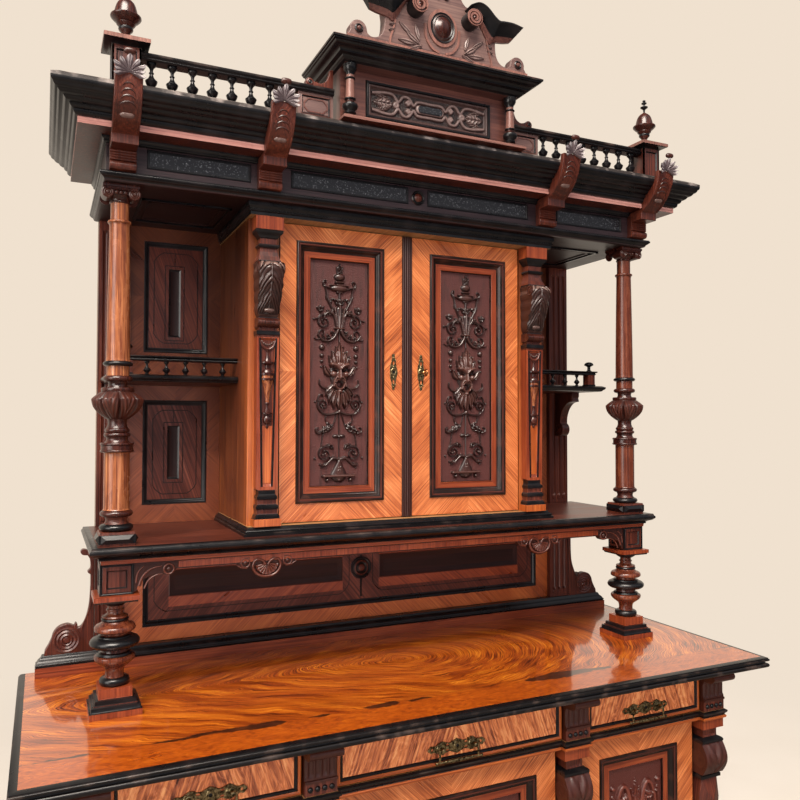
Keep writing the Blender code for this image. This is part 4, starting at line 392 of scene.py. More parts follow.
class Piece:
    # one piece of the cabinet while it is being shaped: points, faces, and each face's finish and grain
    def __init__(self, name):
        self.name = name
        self.points = []
        self.depth = []
        self.faces = []
        self.finish = []
        self.grain = []

    def add(self, points, faces, finish, grain=(0, 0, 1), depth=None):
        start = len(self.points)
        self.points.extend(tuple(p) for p in points)
        self.depth.extend(depth if depth is not None else [0.5] * len(points))
        self.faces.extend([start + i for i in face] for face in faces)
        many = isinstance(finish, list)
        self.finish.extend(finish if many else [finish] * len(faces))
        self.grain.extend([grain] * len(faces))

    def face(self, corners, finish, grain=(0, 0, 1)):
        self.add(corners, [list(range(len(corners)))], finish, grain)

    def strips(self, rows, finish, grain=(0, 0, 1), closed=False, depth=None):
        # quads between rows of points; finish may be one name for each gap between rows
        across = len(rows[0])
        faces, names = [], []
        for r in range(len(rows) - 1):
            for c in range(across if closed else across - 1):
                d = (c + 1) % across
                faces.append([r * across + c, r * across + d, (r + 1) * across + d, (r + 1) * across + c])
                names.append(finish[r] if isinstance(finish, (list, tuple)) else finish)
        self.add([p for row in rows for p in row], faces, names, grain, depth)

    def box(self, x0, x1, y0, y1, z0, z1, finish, grain=(0, 0, 1)):
        p = [(x, y, z) for z in (z0, z1) for y in (y0, y1) for x in (x0, x1)]
        self.add(p, [[0, 2, 3, 1], [4, 5, 7, 6], [0, 1, 5, 4], [2, 6, 7, 3], [0, 4, 6, 2], [1, 3, 7, 5]],
                 finish, grain)

    def mesh(self, mesh, finish, grain=(0, 0, 1), place=None):
        # takes in a ready mesh, moved by a matrix, and removes it
        if place is not None:
            mesh.transform(place)
        self.add([tuple(v.co) for v in mesh.vertices], [list(p.vertices) for p in mesh.polygons], finish,
                 grain)
        bpy.data.meshes.remove(mesh)

    def done(self, body, *replaced, sharp=38, weld=0.00002):
        names = sorted(set(self.finish))
        mesh = bpy.data.meshes.new(self.name)
        mesh.from_pydata(self.points, [], self.faces)
        for name in names:
            mesh.materials.append(finishes[name])
        index = {name: i for i, name in enumerate(names)}
        mesh.polygons.foreach_set("material_index", [index[name] for name in self.finish])
        mesh.attributes.new("depth", "FLOAT", "POINT").data.foreach_set("value", np.array(self.depth, "f"))
        mesh.update()
        setGrain(mesh, self.grain)
        shaping = bmesh.new()
        shaping.from_mesh(mesh)
        bmesh.ops.remove_doubles(shaping, verts=shaping.verts, dist=weld)
        faceOutwards(shaping)
        shaping.to_mesh(mesh)
        shaping.free()
        mesh.shade_smooth()
        mesh.set_sharp_from_angle(angle=math.radians(sharp))
        creaseFlats(mesh)
        made = bpy.data.objects.new(self.name, mesh)
        bpy.context.scene.collection.objects.link(made)
        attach(made, body)
        if replaced:
            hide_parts(*replaced)
        # the finish which covers most of the piece is found, and nothing uses it
        areas = {name: 0.0 for name in names}
        for polygon in mesh.polygons:
            areas[names[polygon.material_index]] += polygon.area
        most = max(areas, key=areas.get)
        return made


def faceOutwards(shaping):
    # closed parts turn outwards; an open part keeps the side that most of its faces were drawn on
    drawn = [face.normal.copy() for face in shaping.faces]
    bmesh.ops.recalc_face_normals(shaping, faces=shaping.faces)
    shaping.faces.ensure_lookup_table()
    seen = [False] * len(shaping.faces)
    turned = []
    for first in shaping.faces:
        if seen[first.index]:
            continue
        seen[first.index] = True
        part, closed, vote = [first], True, 0.0
        for face in part:
            vote += face.normal.dot(drawn[face.index]) * face.calc_area()
            for edge in face.edges:
                closed = closed and len(edge.link_faces) == 2
                for other in edge.link_faces:
                    if not seen[other.index]:
                        seen[other.index] = True
                        part.append(other)
        if not closed and vote < 0:
            turned += part
    bmesh.ops.reverse_faces(shaping, faces=turned)


def creaseFlats(mesh, ratio=14):
    # a large flat face keeps a crisp edge against the narrow strips round it
    count = len(mesh.polygons)
    area = np.empty(count, "f")
    mesh.polygons.foreach_get("area", area)
    totals = np.empty(count, "i")
    mesh.polygons.foreach_get("loop_total", totals)
    edges = np.empty(len(mesh.loops), "i")
    mesh.loops.foreach_get("edge_index", edges)
    size = np.repeat(area, totals)
    most = np.zeros(len(mesh.edges), "f")
    least = np.full(len(mesh.edges), 9.0, "f")
    np.maximum.at(most, edges, size)
    np.minimum.at(least, edges, size)
    sharp = np.empty(len(mesh.edges), bool)
    mesh.edges.foreach_get("use_edge_sharp", sharp)
    mesh.edges.foreach_set("use_edge_sharp", sharp | (most > ratio * np.maximum(least, 1e-12)))


def setGrain(mesh, grains):
    # UV in metres: along the grain, then across it in the plane of the face
    count = len(mesh.polygons)
    totals = np.empty(count, "i")
    mesh.polygons.foreach_get("loop_total", totals)
    normals = np.empty(count * 3, "f")
    mesh.polygons.foreach_get("normal", normals)
    corner = np.empty(len(mesh.loops), "i")
    mesh.loops.foreach_get("vertex_index", corner)
    points = np.empty(len(mesh.vertices) * 3, "f")
    mesh.vertices.foreach_get("co", points)
    owner = np.repeat(np.arange(count), totals)
    along = np.array(grains, "f")
    along /= np.linalg.norm(along, axis=1, keepdims=True)
    across = np.cross(normals.reshape(-1, 3), along)
    at = points.reshape(-1, 3)[corner]
    u = (at * along[owner]).sum(1)
    v = (at * across[owner]).sum(1)
    layer = mesh.uv_layers.new(name="grain")
    layer.data.foreach_set("uv", np.stack([u, v], 1).ravel())


def arcPoints(cx, cz, radius, start, end, steps):
    turn = [math.radians(start + (end - start) * i / steps) for i in range(steps + 1)]
    return [(cx + radius * math.cos(a), cz + radius * math.sin(a)) for a in turn]


def smoothLine(points, steps=6):
    # a rounded line through given points
    pts = np.array([points[0]] + list(points) + [points[-1]], float)
    out = []
    for i in range(1, len(pts) - 2):
        p0, p1, p2, p3 = pts[i - 1:i + 3]
        for s in range(steps):
            t = s / steps
            out.append(tuple(0.5 * (2 * p1 + (p2 - p0) * t + (2 * p0 - 5 * p1 + 4 * p2 - p3) * t * t
                                    + (3 * p1 - p0 - 3 * p2 + p3) * t ** 3)))
    return out + [tuple(pts[-2])]


def outsetLoop(outline, amount, plain=()):
    # a right-angled outline moved outwards, except along its plain edges
    count = len(outline)
    moves = []
    for i in range(count):
        (x0, y0), (x1, y1) = outline[i], outline[(i + 1) % count]
        length = math.hypot(x1 - x0, y1 - y0)
        move = 0.0 if i in plain else amount
        moves.append(((y1 - y0) / length * move, (x0 - x1) / length * move))
    return [(x + moves[i - 1][0] + moves[i][0], y + moves[i - 1][1] + moves[i][1]) for i,
            (x, y) in enumerate(outline)]


def mouldedSlab(piece, outline, profile, base, plain=(), top="veneer", bottom="plain", topGrain=(1, 0, 0)):
    # profile rows are outset, height and the finish of the band below that row
    loops = [[(x, y, base + h) for x, y in outsetLoop(outline, o, plain)] for o, h, _ in profile]
    count = len(outline)
    for i in range(count):
        j = (i + 1) % count
        a, b = Vector(loops[0][i]), Vector(loops[0][j])
        grain = tuple((b - a).normalized())
        piece.strips([[loop[i], loop[j]] for loop in loops], [row[2] for row in profile[1:]], grain)
    piece.face(loops[0][::-1], bottom, topGrain)
    piece.face(loops[-1], top, topGrain)


def oblong(x0, x1, front, back):
    return [(x0, back), (x0, front), (x1, front), (x1, back)]


def ogeeRows(start, end, finish, steps=6, bulge=0.35):
    # an S-shaped run between two profile places, given as outset and height
    rows = []
    for i in range(1, steps + 1):
        t = i / steps
        swing = bulge * math.sin(2 * math.pi * t) / (2 * math.pi) * 1.6
        rows.append((start[0] + (end[0] - start[0]) * (t - swing), start[1] + (end[1] - start[1])
                     * (t + swing * 0.2), finish))
    return rows


def roundRows(start, end, out, finish, steps=5):
    # a half-round bead between two profile places
    rows = []
    for i in range(1, steps + 1):
        a = math.pi * i / steps
        rows.append((start[0] + (end[0] - start[0]) * i / steps + out * math.sin(a),
                     start[1] + (end[1] - start[1]) * (1 - math.cos(a)) / 2, finish))
    return rows


def framedRect(piece, rect, y, rows):
    # a mitred frame on a front: rows are inset, how far it stands proud, and the finish of the band before
    # it
    x0, x1, z0, z1 = rect
    rings = [[(x0 + i, y - p, z0 + i), (x1 - i, y - p, z0 + i), (x1 - i, y - p, z1 - i),
              (x0 + i, y - p, z1 - i)]
             for i, p, _ in rows]
    for side in range(4):
        after = (side + 1) % 4
        grain = (1, 0, 0) if side % 2 == 0 else (0, 0, 1)
        piece.strips([[ring[side], ring[after]] for ring in rings], [row[2] for row in rows[1:]], grain)
    last = rows[-1]
    return x0 + last[0], x1 - last[0], z0 + last[0], z1 - last[0], y - last[1]


def herringbone(piece, outer, inner, y, finish="veneer"):
    # frame veneered in four quarters whose stripes all lean towards its middle
    x0, x1, z0, z1 = outer
    a0, a1, c0, c1 = inner
    cx, cz = (a0 + a1) / 2, (c0 + c1) / 2
    parts = [(x0, a0, z0, cz), (x0, a0, cz, z1), (a1, x1, z0, cz), (a1, x1, cz, z1),
             (a0, cx, z0, c0), (cx, a1, z0, c0), (a0, cx, c1, z1), (cx, a1, c1, z1)]
    for l, r, b, t in parts:
        lean = (1.0 if (l + r) / 2 < cx else -1.0, 0.0, 1.0 if (b + t) / 2 < cz else -1.0)
        piece.face([(l, y, b), (r, y, b), (r, y, t), (l, y, t)], finish, lean)


def rowsOf(*given):
    # profile rows from mm: each finish is named before the first pair that takes it
    rows, pair, finish = [], [], None
    for item in given:
        if isinstance(item, str):
            finish = item
            continue
        pair.append(item / 1000)
        if len(pair) == 2:
            rows.append((*pair, finish))
            pair = []
    return rows


def pairsOf(*given):
    # points from mm, two numbers each
    return [(a / 1000, b / 1000) for a, b in zip(given[::2], given[1::2])]


def facing(rows, sign):
    # a disc's rows, turned round where it looks the other way
    return rows if sign > 0 else [(radius, -height, finish) for radius, height, finish in rows][::-1]


def turnedRows(rows):
    # stacks members, each a list of radius, height and finish, from the bottom up
    out, level = [], 0.0
    for member in rows:
        for radius, height, finish in member:
            out.append((radius, level + height, finish))
        level += member[-1][1]
    return out


def drum(height, radius, finish, top=None):
    return [(radius, 0.0, finish), (radius if top is None else top, height, finish)]


def torus(height, radius, bulge, finish, steps=8):
    return [(radius + bulge * math.sin(math.pi * i / steps),
             height * (1 - math.cos(math.pi * i / steps)) / 2, finish)
            for i in range(steps + 1)]


def cove(height, low, high, depth, finish, steps=6):
    return [(low + (high - low) * i / steps - depth * math.sin(math.pi * i / steps), height * i / steps,
             finish)
            for i in range(steps + 1)]


def bulb(height, bottom, widest, top, rise, finish, steps=8):
    rows = []
    for i in range(steps + 1):
        rows.append((bottom + (widest - bottom) * math.sin(math.pi / 2 * i / steps),
                     height * rise * (i / steps) ** 1.15, finish))
    for i in range(1, steps + 1):
        share = math.sqrt(1 - math.cos(math.pi / 2 * (1 - i / steps)))
        rows.append((top + (widest - top) * share, height * (rise + (1 - rise) * i / steps), finish))
    return rows


def turn(piece, at, rows, sides=36, carve=None, axis="z"):
    # rows of radius, height and finish spun round an axis; carve gives extra radius by angle and row
    rings, depth = [], []
    for n, (radius, height, _) in enumerate(rows):
        ring = []
        for s in range(sides):
            a = 2 * math.pi * s / sides
            extra = carve(a, height, n) if carve else 0.0
            r = max(radius + extra, 0.0)
            p = (r * math.cos(a), r * math.sin(a), height)
            if axis == "y":
                p = (p[0], -p[2], p[1])
            elif axis == "x":
                p = (p[2], p[0], p[1])
            ring.append((at[0] + p[0], at[1] + p[1], at[2] + p[2]))
            depth.append(0.5 + extra / 0.004 * 0.5 if carve else 0.6)
        rings.append(ring)
    piece.strips(rings, [row[2] for row in rows[1:]], closed=True, depth=depth)
    piece.face(rings[0][::-1], rows[0][2])
    piece.face(rings[-1], rows[-1][2])


def shapeMesh(outlines, thickness, bevel=0.0, resolution=2):
    # a flat outline with holes, in XY, as a mesh centred on its thickness
    curve = bpy.data.curves.new("shape", "CURVE")
    curve.dimensions = "2D"
    curve.fill_mode = "BOTH"
    curve.extrude = thickness / 2 - bevel
    curve.bevel_depth = bevel
    curve.bevel_resolution = resolution
    curve.offset = -bevel
    for points in outlines:
        spline = curve.splines.new("POLY")
        spline.points.add(len(points) - 1)
        for point, (x, y) in zip(spline.points, points):
            point.co = (x, y, 0.0, 1.0)
        spline.use_cyclic_u = True
    source = bpy.data.objects.new("shape", curve)
    bpy.context.scene.collection.objects.link(source)
    mesh = bpy.data.meshes.new_from_object(source.evaluated_get(bpy.context.evaluated_depsgraph_get()))
    bpy.data.objects.remove(source)
    bpy.data.curves.remove(curve)
    return mesh


standXZ = Matrix.Rotation(math.pi / 2, 4, "X")           # drawn in X and Z, thickness along Y
standYZ = Matrix(((0, 0, 1, 0), (1, 0, 0, 0), (0, 1, 0, 0), (0, 0, 0, 1)))  # drawn in Y and Z


def rowOfCopies(piece, sample, count, start, step, finish):
    # Geometry Nodes set copies of a small turned sample along a line
    source = bpy.data.objects.new("sample", sample)
    bpy.context.scene.collection.objects.link(source)
    tree = bpy.data.node_groups.new("spindleRow", "GeometryNodeTree")
    tree.interface.new_socket("Geometry", in_out="OUTPUT", socket_type="NodeSocketGeometry")
    sockets = {name: tree.interface.new_socket(name, in_out="INPUT", socket_type=kind) for name, kind in (
        ("Count", "NodeSocketInt"), ("Start", "NodeSocketVector"), ("Step", "NodeSocketVector"))}
    given = addNode(tree, "NodeGroupInput")
    line = addNode(tree, "GeometryNodeMeshLine", {
        "Count": given.outputs["Count"], "Start Location": given.outputs["Start"],
        "Offset": given.outputs["Step"]}, mode="OFFSET")
    shape = addNode(tree, "GeometryNodeObjectInfo", {"Object": source})
    copies = addNode(tree, "GeometryNodeInstanceOnPoints", {
        "Points": line.outputs[0], "Instance": shape.outputs["Geometry"]})
    solid = addNode(tree, "GeometryNodeRealizeInstances", {0: copies.outputs[0]})
    painted = addNode(tree, "GeometryNodeSetMaterial", {0: solid.outputs[0], "Material": finishes[finish]})
    addNode(tree, "NodeGroupOutput", {0: painted.outputs[0]})
    holder = bpy.data.objects.new("row", bpy.data.meshes.new("row"))
    bpy.context.scene.collection.objects.link(holder)
    modifier = holder.modifiers.new("row", "NODES")
    modifier.node_group = tree
    for name, value in (("Count", count), ("Start", start), ("Step", step)):
        modifier[sockets[name].identifier] = value
    made = bpy.data.meshes.new_from_object(holder.evaluated_get(bpy.context.evaluated_depsgraph_get()))
    bpy.data.objects.remove(holder)
    bpy.data.objects.remove(source)
    bpy.data.node_groups.remove(tree)
    piece.mesh(made, finish)


def sampleTurning(rows, sides=14):
    part = Piece("sample")
    turn(part, (0, 0, 0), rows, sides)
    mesh = bpy.data.meshes.new("sample")
    mesh.from_pydata(part.points, [], part.faces)
    return mesh


def reliefBlock(piece, centre, levels, half, front, rear, finish, columns=16, depth=None, grain=(0, 0, 1)):
    # a block whose half width and face are given by height; finish may depend on height
    shares = [2 * i / columns - 1 for i in range(columns + 1)]
    rows, names, depths = [], [], []
    for z in levels:
        wide = half(z)
        row = [(centre + u * wide, front(u, z), z) for u in shares]
        rows.append([(centre - wide, rear, z)] + row + [(centre + wide, rear, z)])
        depths += [0.5] + [depth(u, z) if depth else 0.6 for u in shares] + [0.5]
    for low, high in zip(levels, levels[1:]):
        names.append(finish((low + high) / 2) if callable(finish) else finish)
    piece.strips(rows, names, grain, closed=True, depth=depths)
    piece.face(rows[0][::-1], names[0], grain)
    piece.face(rows[-1], names[-1], grain)


def between(z, table):
    # straight-line reading of a table of height and value
    return float(np.interp(z, [row[0] for row in table], [row[1] for row in table]))


def levelsOf(table, fine):
    # the table's own heights, with more between them where they lie far apart
    out = []
    for (a, *_), (b, *_) in zip(table, table[1:]):
        count = max(1, round((b - a) / fine))
        out += [a + (b - a) * i / count for i in range(count)]
    return out + [table[-1][0]]


class Relief:
    # a carved panel as heights over its ground, in mm; x runs outwards from the middle when mirrored, z
    # down
    def __init__(self, x0, x1, z0, z1, step, mirrored=True):
        self.columns = max(2, round((x1 - x0) / step)) + 1
        self.rows = max(2, round((z1 - z0) / step)) + 1
        self.worldX, self.worldZ = np.meshgrid(np.linspace(x0, x1, self.columns),
            np.linspace(z0, z1, self.rows))
        middle = (x0 + x1) / 2
        self.x = (np.abs(self.worldX - middle) if mirrored else self.worldX - middle) * 1000
        self.z = (z1 - self.worldZ) * 1000
        self.h = np.zeros_like(self.x)

    def window(self, points, reach):
        p = np.array(points)
        low, high = p.min(0) - reach, p.max(0) + reach
        inside = (self.x >= low[0]) & (self.x <= high[0]) & (self.z >= low[1]) & (self.z <= high[1])
        return inside

    def ridge(self, points, width, height, groove=0.0, flat=0.5):
        # a rounded stem along a line; width and height may run from start to end
        p = np.array(smoothLine(points, 5) if 2 < len(points) < 12 else points, float)
        w0, w1 = width if isinstance(width, tuple) else (width, width)
        h0, h1 = height if isinstance(height, tuple) else (height, height)
        inside = self.window(p, max(w0, w1))
        if not inside.any():
            return
        gx, gz = self.x[inside], self.z[inside]
        best = np.full(gx.shape, 900.0)
        along = np.zeros(gx.shape)
        steps = np.linalg.norm(np.diff(p, axis=0), axis=1)
        total = max(steps.sum(), 1e-9)
        run = 0.0
        for a, b, length in zip(p, p[1:], steps):
            d = b - a
            t = np.clip(((gx - a[0]) * d[0] + (gz - a[1]) * d[1]) / max(length * length, 1e-12), 0, 1)
            away = np.hypot(gx - a[0] - d[0] * t, gz - a[1] - d[1] * t)
            nearer = away < best
            best = np.where(nearer, away, best)
            along = np.where(nearer, (run + t * length) / total, along)
            run += length
        wide = w0 + (w1 - w0) * along
        tall = h0 + (h1 - h0) * along
        share = np.clip(1 - (best / wide) ** 2, 0, None)
        rise = tall * share ** flat
        if groove:
            rise = rise * (1 - groove * np.exp(-(best / (wide * 0.28)) ** 2))
        self.h[inside] = np.maximum(self.h[inside], rise)

    def leaf(self, start, end, width, height, bend=0.0, lobes=5, veins=0.45):
        # an acanthus leaf: lobed edge, hollow midrib and ribbed blade
        a, b = np.array(start, float), np.array(end, float)
        d = b - a
        length = np.hypot(*d)
        inside = self.window([start, end], width + abs(bend))
        if not inside.any():
            return
        gx, gz = self.x[inside] - a[0], self.z[inside] - a[1]
        t = (gx * d[0] + gz * d[1]) / length ** 2
        s = (gx * d[1] - gz * d[0]) / length - bend * np.sin(np.pi * np.clip(t, 0, 1))
        shape = np.sin(np.pi * np.clip(t, 0, 1) ** 0.75) ** 0.8
        edge = width * shape * (0.8 + 0.28 * np.abs(np.sin(np.pi * lobes * t)))
        ratio = np.abs(s) / np.maximum(edge, 1e-6)
        blade = np.clip(1 - ratio ** 2.4, 0, None) ** 0.5
        ribs = 1 - veins * (0.5 + 0.5 * np.cos(2 * np.pi * (lobes * t + ratio * 0.9)))
        midrib = 1 - 0.55 * np.exp(-(s / (width * 0.13)) ** 2)
        rise = np.where((t > 0) & (t < 1), height * blade * ribs * midrib, 0)
        self.h[inside] = np.maximum(self.h[inside], rise)

    def dome(self, cx, cz, rx, rz, height, dent=0.0, petals=0):
        inside = self.window([(cx, cz)], max(rx, rz))
        gx, gz = (self.x[inside] - cx) / rx, (self.z[inside] - cz) / rz
        r = np.hypot(gx, gz)
        if petals:
            r = r / (0.78 + 0.22 * np.abs(np.cos(petals / 2 * np.arctan2(gz, gx))))
        rise = height * np.sqrt(np.clip(1 - r ** 2, 0, None))
        if dent:
            rise = rise - dent * np.exp(-(r / 0.3) ** 2)
        self.h[inside] = np.maximum(self.h[inside], rise)

    def hollow(self, cx, cz, rx, rz, depth):
        inside = self.window([(cx, cz)], max(rx, rz) * 2)
        gx, gz = (self.x[inside] - cx) / rx, (self.z[inside] - cz) / rz
        self.h[inside] -= depth * np.exp(-(gx ** 2 + gz ** 2))

    def spiral(self, cx, cz, radius, turns, start, width, height, groove=0.0, ball=True):
        # a scroll wound inwards; negative turns wind the other way
        count = int(abs(turns) * 26) + 2
        points = []
        for i in range(count):
            t = i / (count - 1)
            a = math.radians(start) + 2 * math.pi * turns * t
            r = radius * (1 - 0.8 * t)
            points.append((cx + r * math.cos(a), cz + r * math.sin(a)))
        self.ridge(points, (width, width * 0.55), (height, height * 0.9), groove)
        if ball:
            self.dome(cx, cz, width * 1.15, width * 1.15, height * 1.25)

    def onto(self, piece, y, finish, tall, grain=(0, 0, 1)):
        # adds the carved face to a piece, facing the front, and returns its edge loop
        heights = np.maximum(self.h, -4) / 1000
        points = np.stack([self.worldX, np.full_like(self.h, y) - heights, self.worldZ], -1).reshape(-1, 3)
        index = np.arange(self.rows * self.columns).reshape(self.rows, self.columns)
        quads = np.stack([index[:-1, :-1], index[:-1, 1:], index[1:, 1:], index[1:, :-1]], -1).reshape(-1,
            4)
        depth = np.clip(self.h / tall, 0, 1).ravel()
        piece.add(points.tolist(), quads.tolist(), finish, grain, depth.tolist())
        rim = np.concatenate([index[0, :-1], index[:-1, -1], index[-1, :0:-1], index[:0:-1, 0]])
        return [tuple(points[i]) for i in rim]


def flatFront(piece, outer, y, rear, rows, side="plain", back="plain"):
    # a board: its back and edges, then the rings of its moulded face; gives the inner rectangle and its
    # depth
    x0, x1, z0, z1 = outer
    piece.face([(x1, rear, z0), (x0, rear, z0), (x0, rear, z1), (x1, rear, z1)], back)
    return framedRect(piece, outer, y, [(0.0, y - rear, side), (0.0, 0.0, side)] + rows)


def boardEdge(piece, rect, rear, face, finish, grains=((0, 0, 1), (0, 0, 1))):
    # the four narrow faces round a board; grains are those of its level and of its upright ones
    x0, x1, z0, z1 = rect
    edge = [(x0, z0), (x1, z0), (x1, z1), (x0, z1)]
    for n in range(4):
        (ax, az), (bx, bz) = edge[n], edge[(n + 1) % 4]
        piece.face([(ax, rear, az), (bx, rear, bz), (bx, face, bz), (ax, face, az)], finish, grains[n % 2])


def fourFrames(piece, cx, cy, rect, y, rows):
    # a raised border on each of the four faces of a block
    part = Piece("border")
    framedRect(part, rect, y, rows)
    for turnBy in range(4):
        spin = Matrix.Translation((cx, cy, 0)) @ Matrix.Rotation(math.pi / 2 * turnBy, 4, "Z")
        piece.add([spin @ Vector(p) for p in part.points], part.faces, list(part.finish))


def fillRect(piece, rect, finish, grain, split=False):
    x0, x1, z0, z1, y = rect
    if not split:
        piece.face([(x0, y, z0), (x1, y, z0), (x1, y, z1), (x0, y, z1)], finish, grain)
        return
    cx = (x0 + x1) / 2
    piece.face([(x0, y, z0), (cx, y, z0), (cx, y, z1), (x0, y, z1)], finish, grain)
    piece.face([(cx, y, z0), (x1, y, z0), (x1, y, z1), (cx, y, z1)], finish,
               (-grain[0], grain[1], grain[2]))


def beadRow(start, end, rise, finish, steps=5):
    # a half-round bead in a mitred frame, from one inset to another at one level
    i0, p0 = start
    i1, p1 = end
    return [(i0 + (i1 - i0) * (1 - math.cos(math.pi * k / steps)) / 2,
             p0 + (p1 - p0) * k / steps + rise * math.sin(math.pi * k / steps),
             finish) for k in range(1, steps + 1)]


def slopeRow(start, end, finish, steps=6):
    # an S-shaped slope in a mitred frame
    i0, p0 = start
    i1, p1 = end
    return [(i0 + (i1 - i0) * k / steps, p0 + (p1 - p0)
             * (k / steps - math.sin(2 * math.pi * k / steps) / 9), finish)
            for k in range(1, steps + 1)]


def ballsAt(piece, places, radius, finish, axis="y", sides=12):
    # small turned studs
    for x, y, z in places:
        rows = [(radius * math.sin(math.pi / 2 * k / 4 + 0.02),
                 radius * 0.9 * (1 - math.cos(math.pi / 2 * k / 4)), finish)
                for k in range(5)]
        flipped = [(r, radius * 0.9 - h, finish) for r, h, _ in reversed(rows)]
        turn(piece, (x, y, z), flipped, sides, axis=axis)

# base cabinet
worktopSettings = {"inset": 0.012, "border": 0.004}
piece = Piece("worktopBoard")
low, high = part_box("worktop")
inset = worktopSettings["inset"]
slab = oblong(low.x + inset, high.x - inset, low.y + inset, high.y)
edgeRows = [(-0.004, 0.0, "black"), (0.004, 0.0012, "black")]
edgeRows += roundRows((0.004, 0.0012), (0.004, 0.0125), 0.0062, "wornBlack", 8)
edgeRows[3] = edgeRows[3][:2] + ("lip",)           # rubbed bare along the bead's lower side
edgeRows += [(0.003, 0.0140, "black"), (0.003, 0.0160, "black")]
edgeRows += roundRows((0.006, 0.0160), (0.008, 0.0225), 0.0034, "wornBlack", 6)
edgeRows += [(0.008, 0.0245, "black"), (0.004, 0.0258, "black"), (-worktopSettings["border"], 0.026,
    "black")]
mouldedSlab(piece, slab, edgeRows, low.z, plain=(3,), top="worktop", bottom="oak")
piece.done("carcass", "worktop")

# drawers: book-matched fronts in a walnut and an ebonised bead
drawerSettings = {"face": -0.232, "bead": 0.0075, "ebony": 0.0125, "sink": 0.002}
for side in ("left", "center", "right"):
    piece = Piece(f"drawerFront_{side}")
    low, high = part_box(f"drawer_front_{side}")
    face = drawerSettings["face"]
    rows = [(0.0006, 0.0006, "strip")]
    rows += beadRow((0.0006, 0.0006), (drawerSettings["bead"], 0.0004), 0.0022, "strip")
    rows += beadRow((drawerSettings["bead"], 0.0004), (drawerSettings["ebony"], -0.001), 0.0026, "black")
    rows += [(drawerSettings["ebony"] + 0.0012, -drawerSettings["sink"], "black")]
    field = flatFront(piece, (low.x, high.x, low.z, high.z), face, high.y, rows, "strip", "oak")
    fillRect(piece, field, "burr", (0.35, 0, 1), True)
    piece.done(f"drawer_{side}", f"drawer_front_{side}")

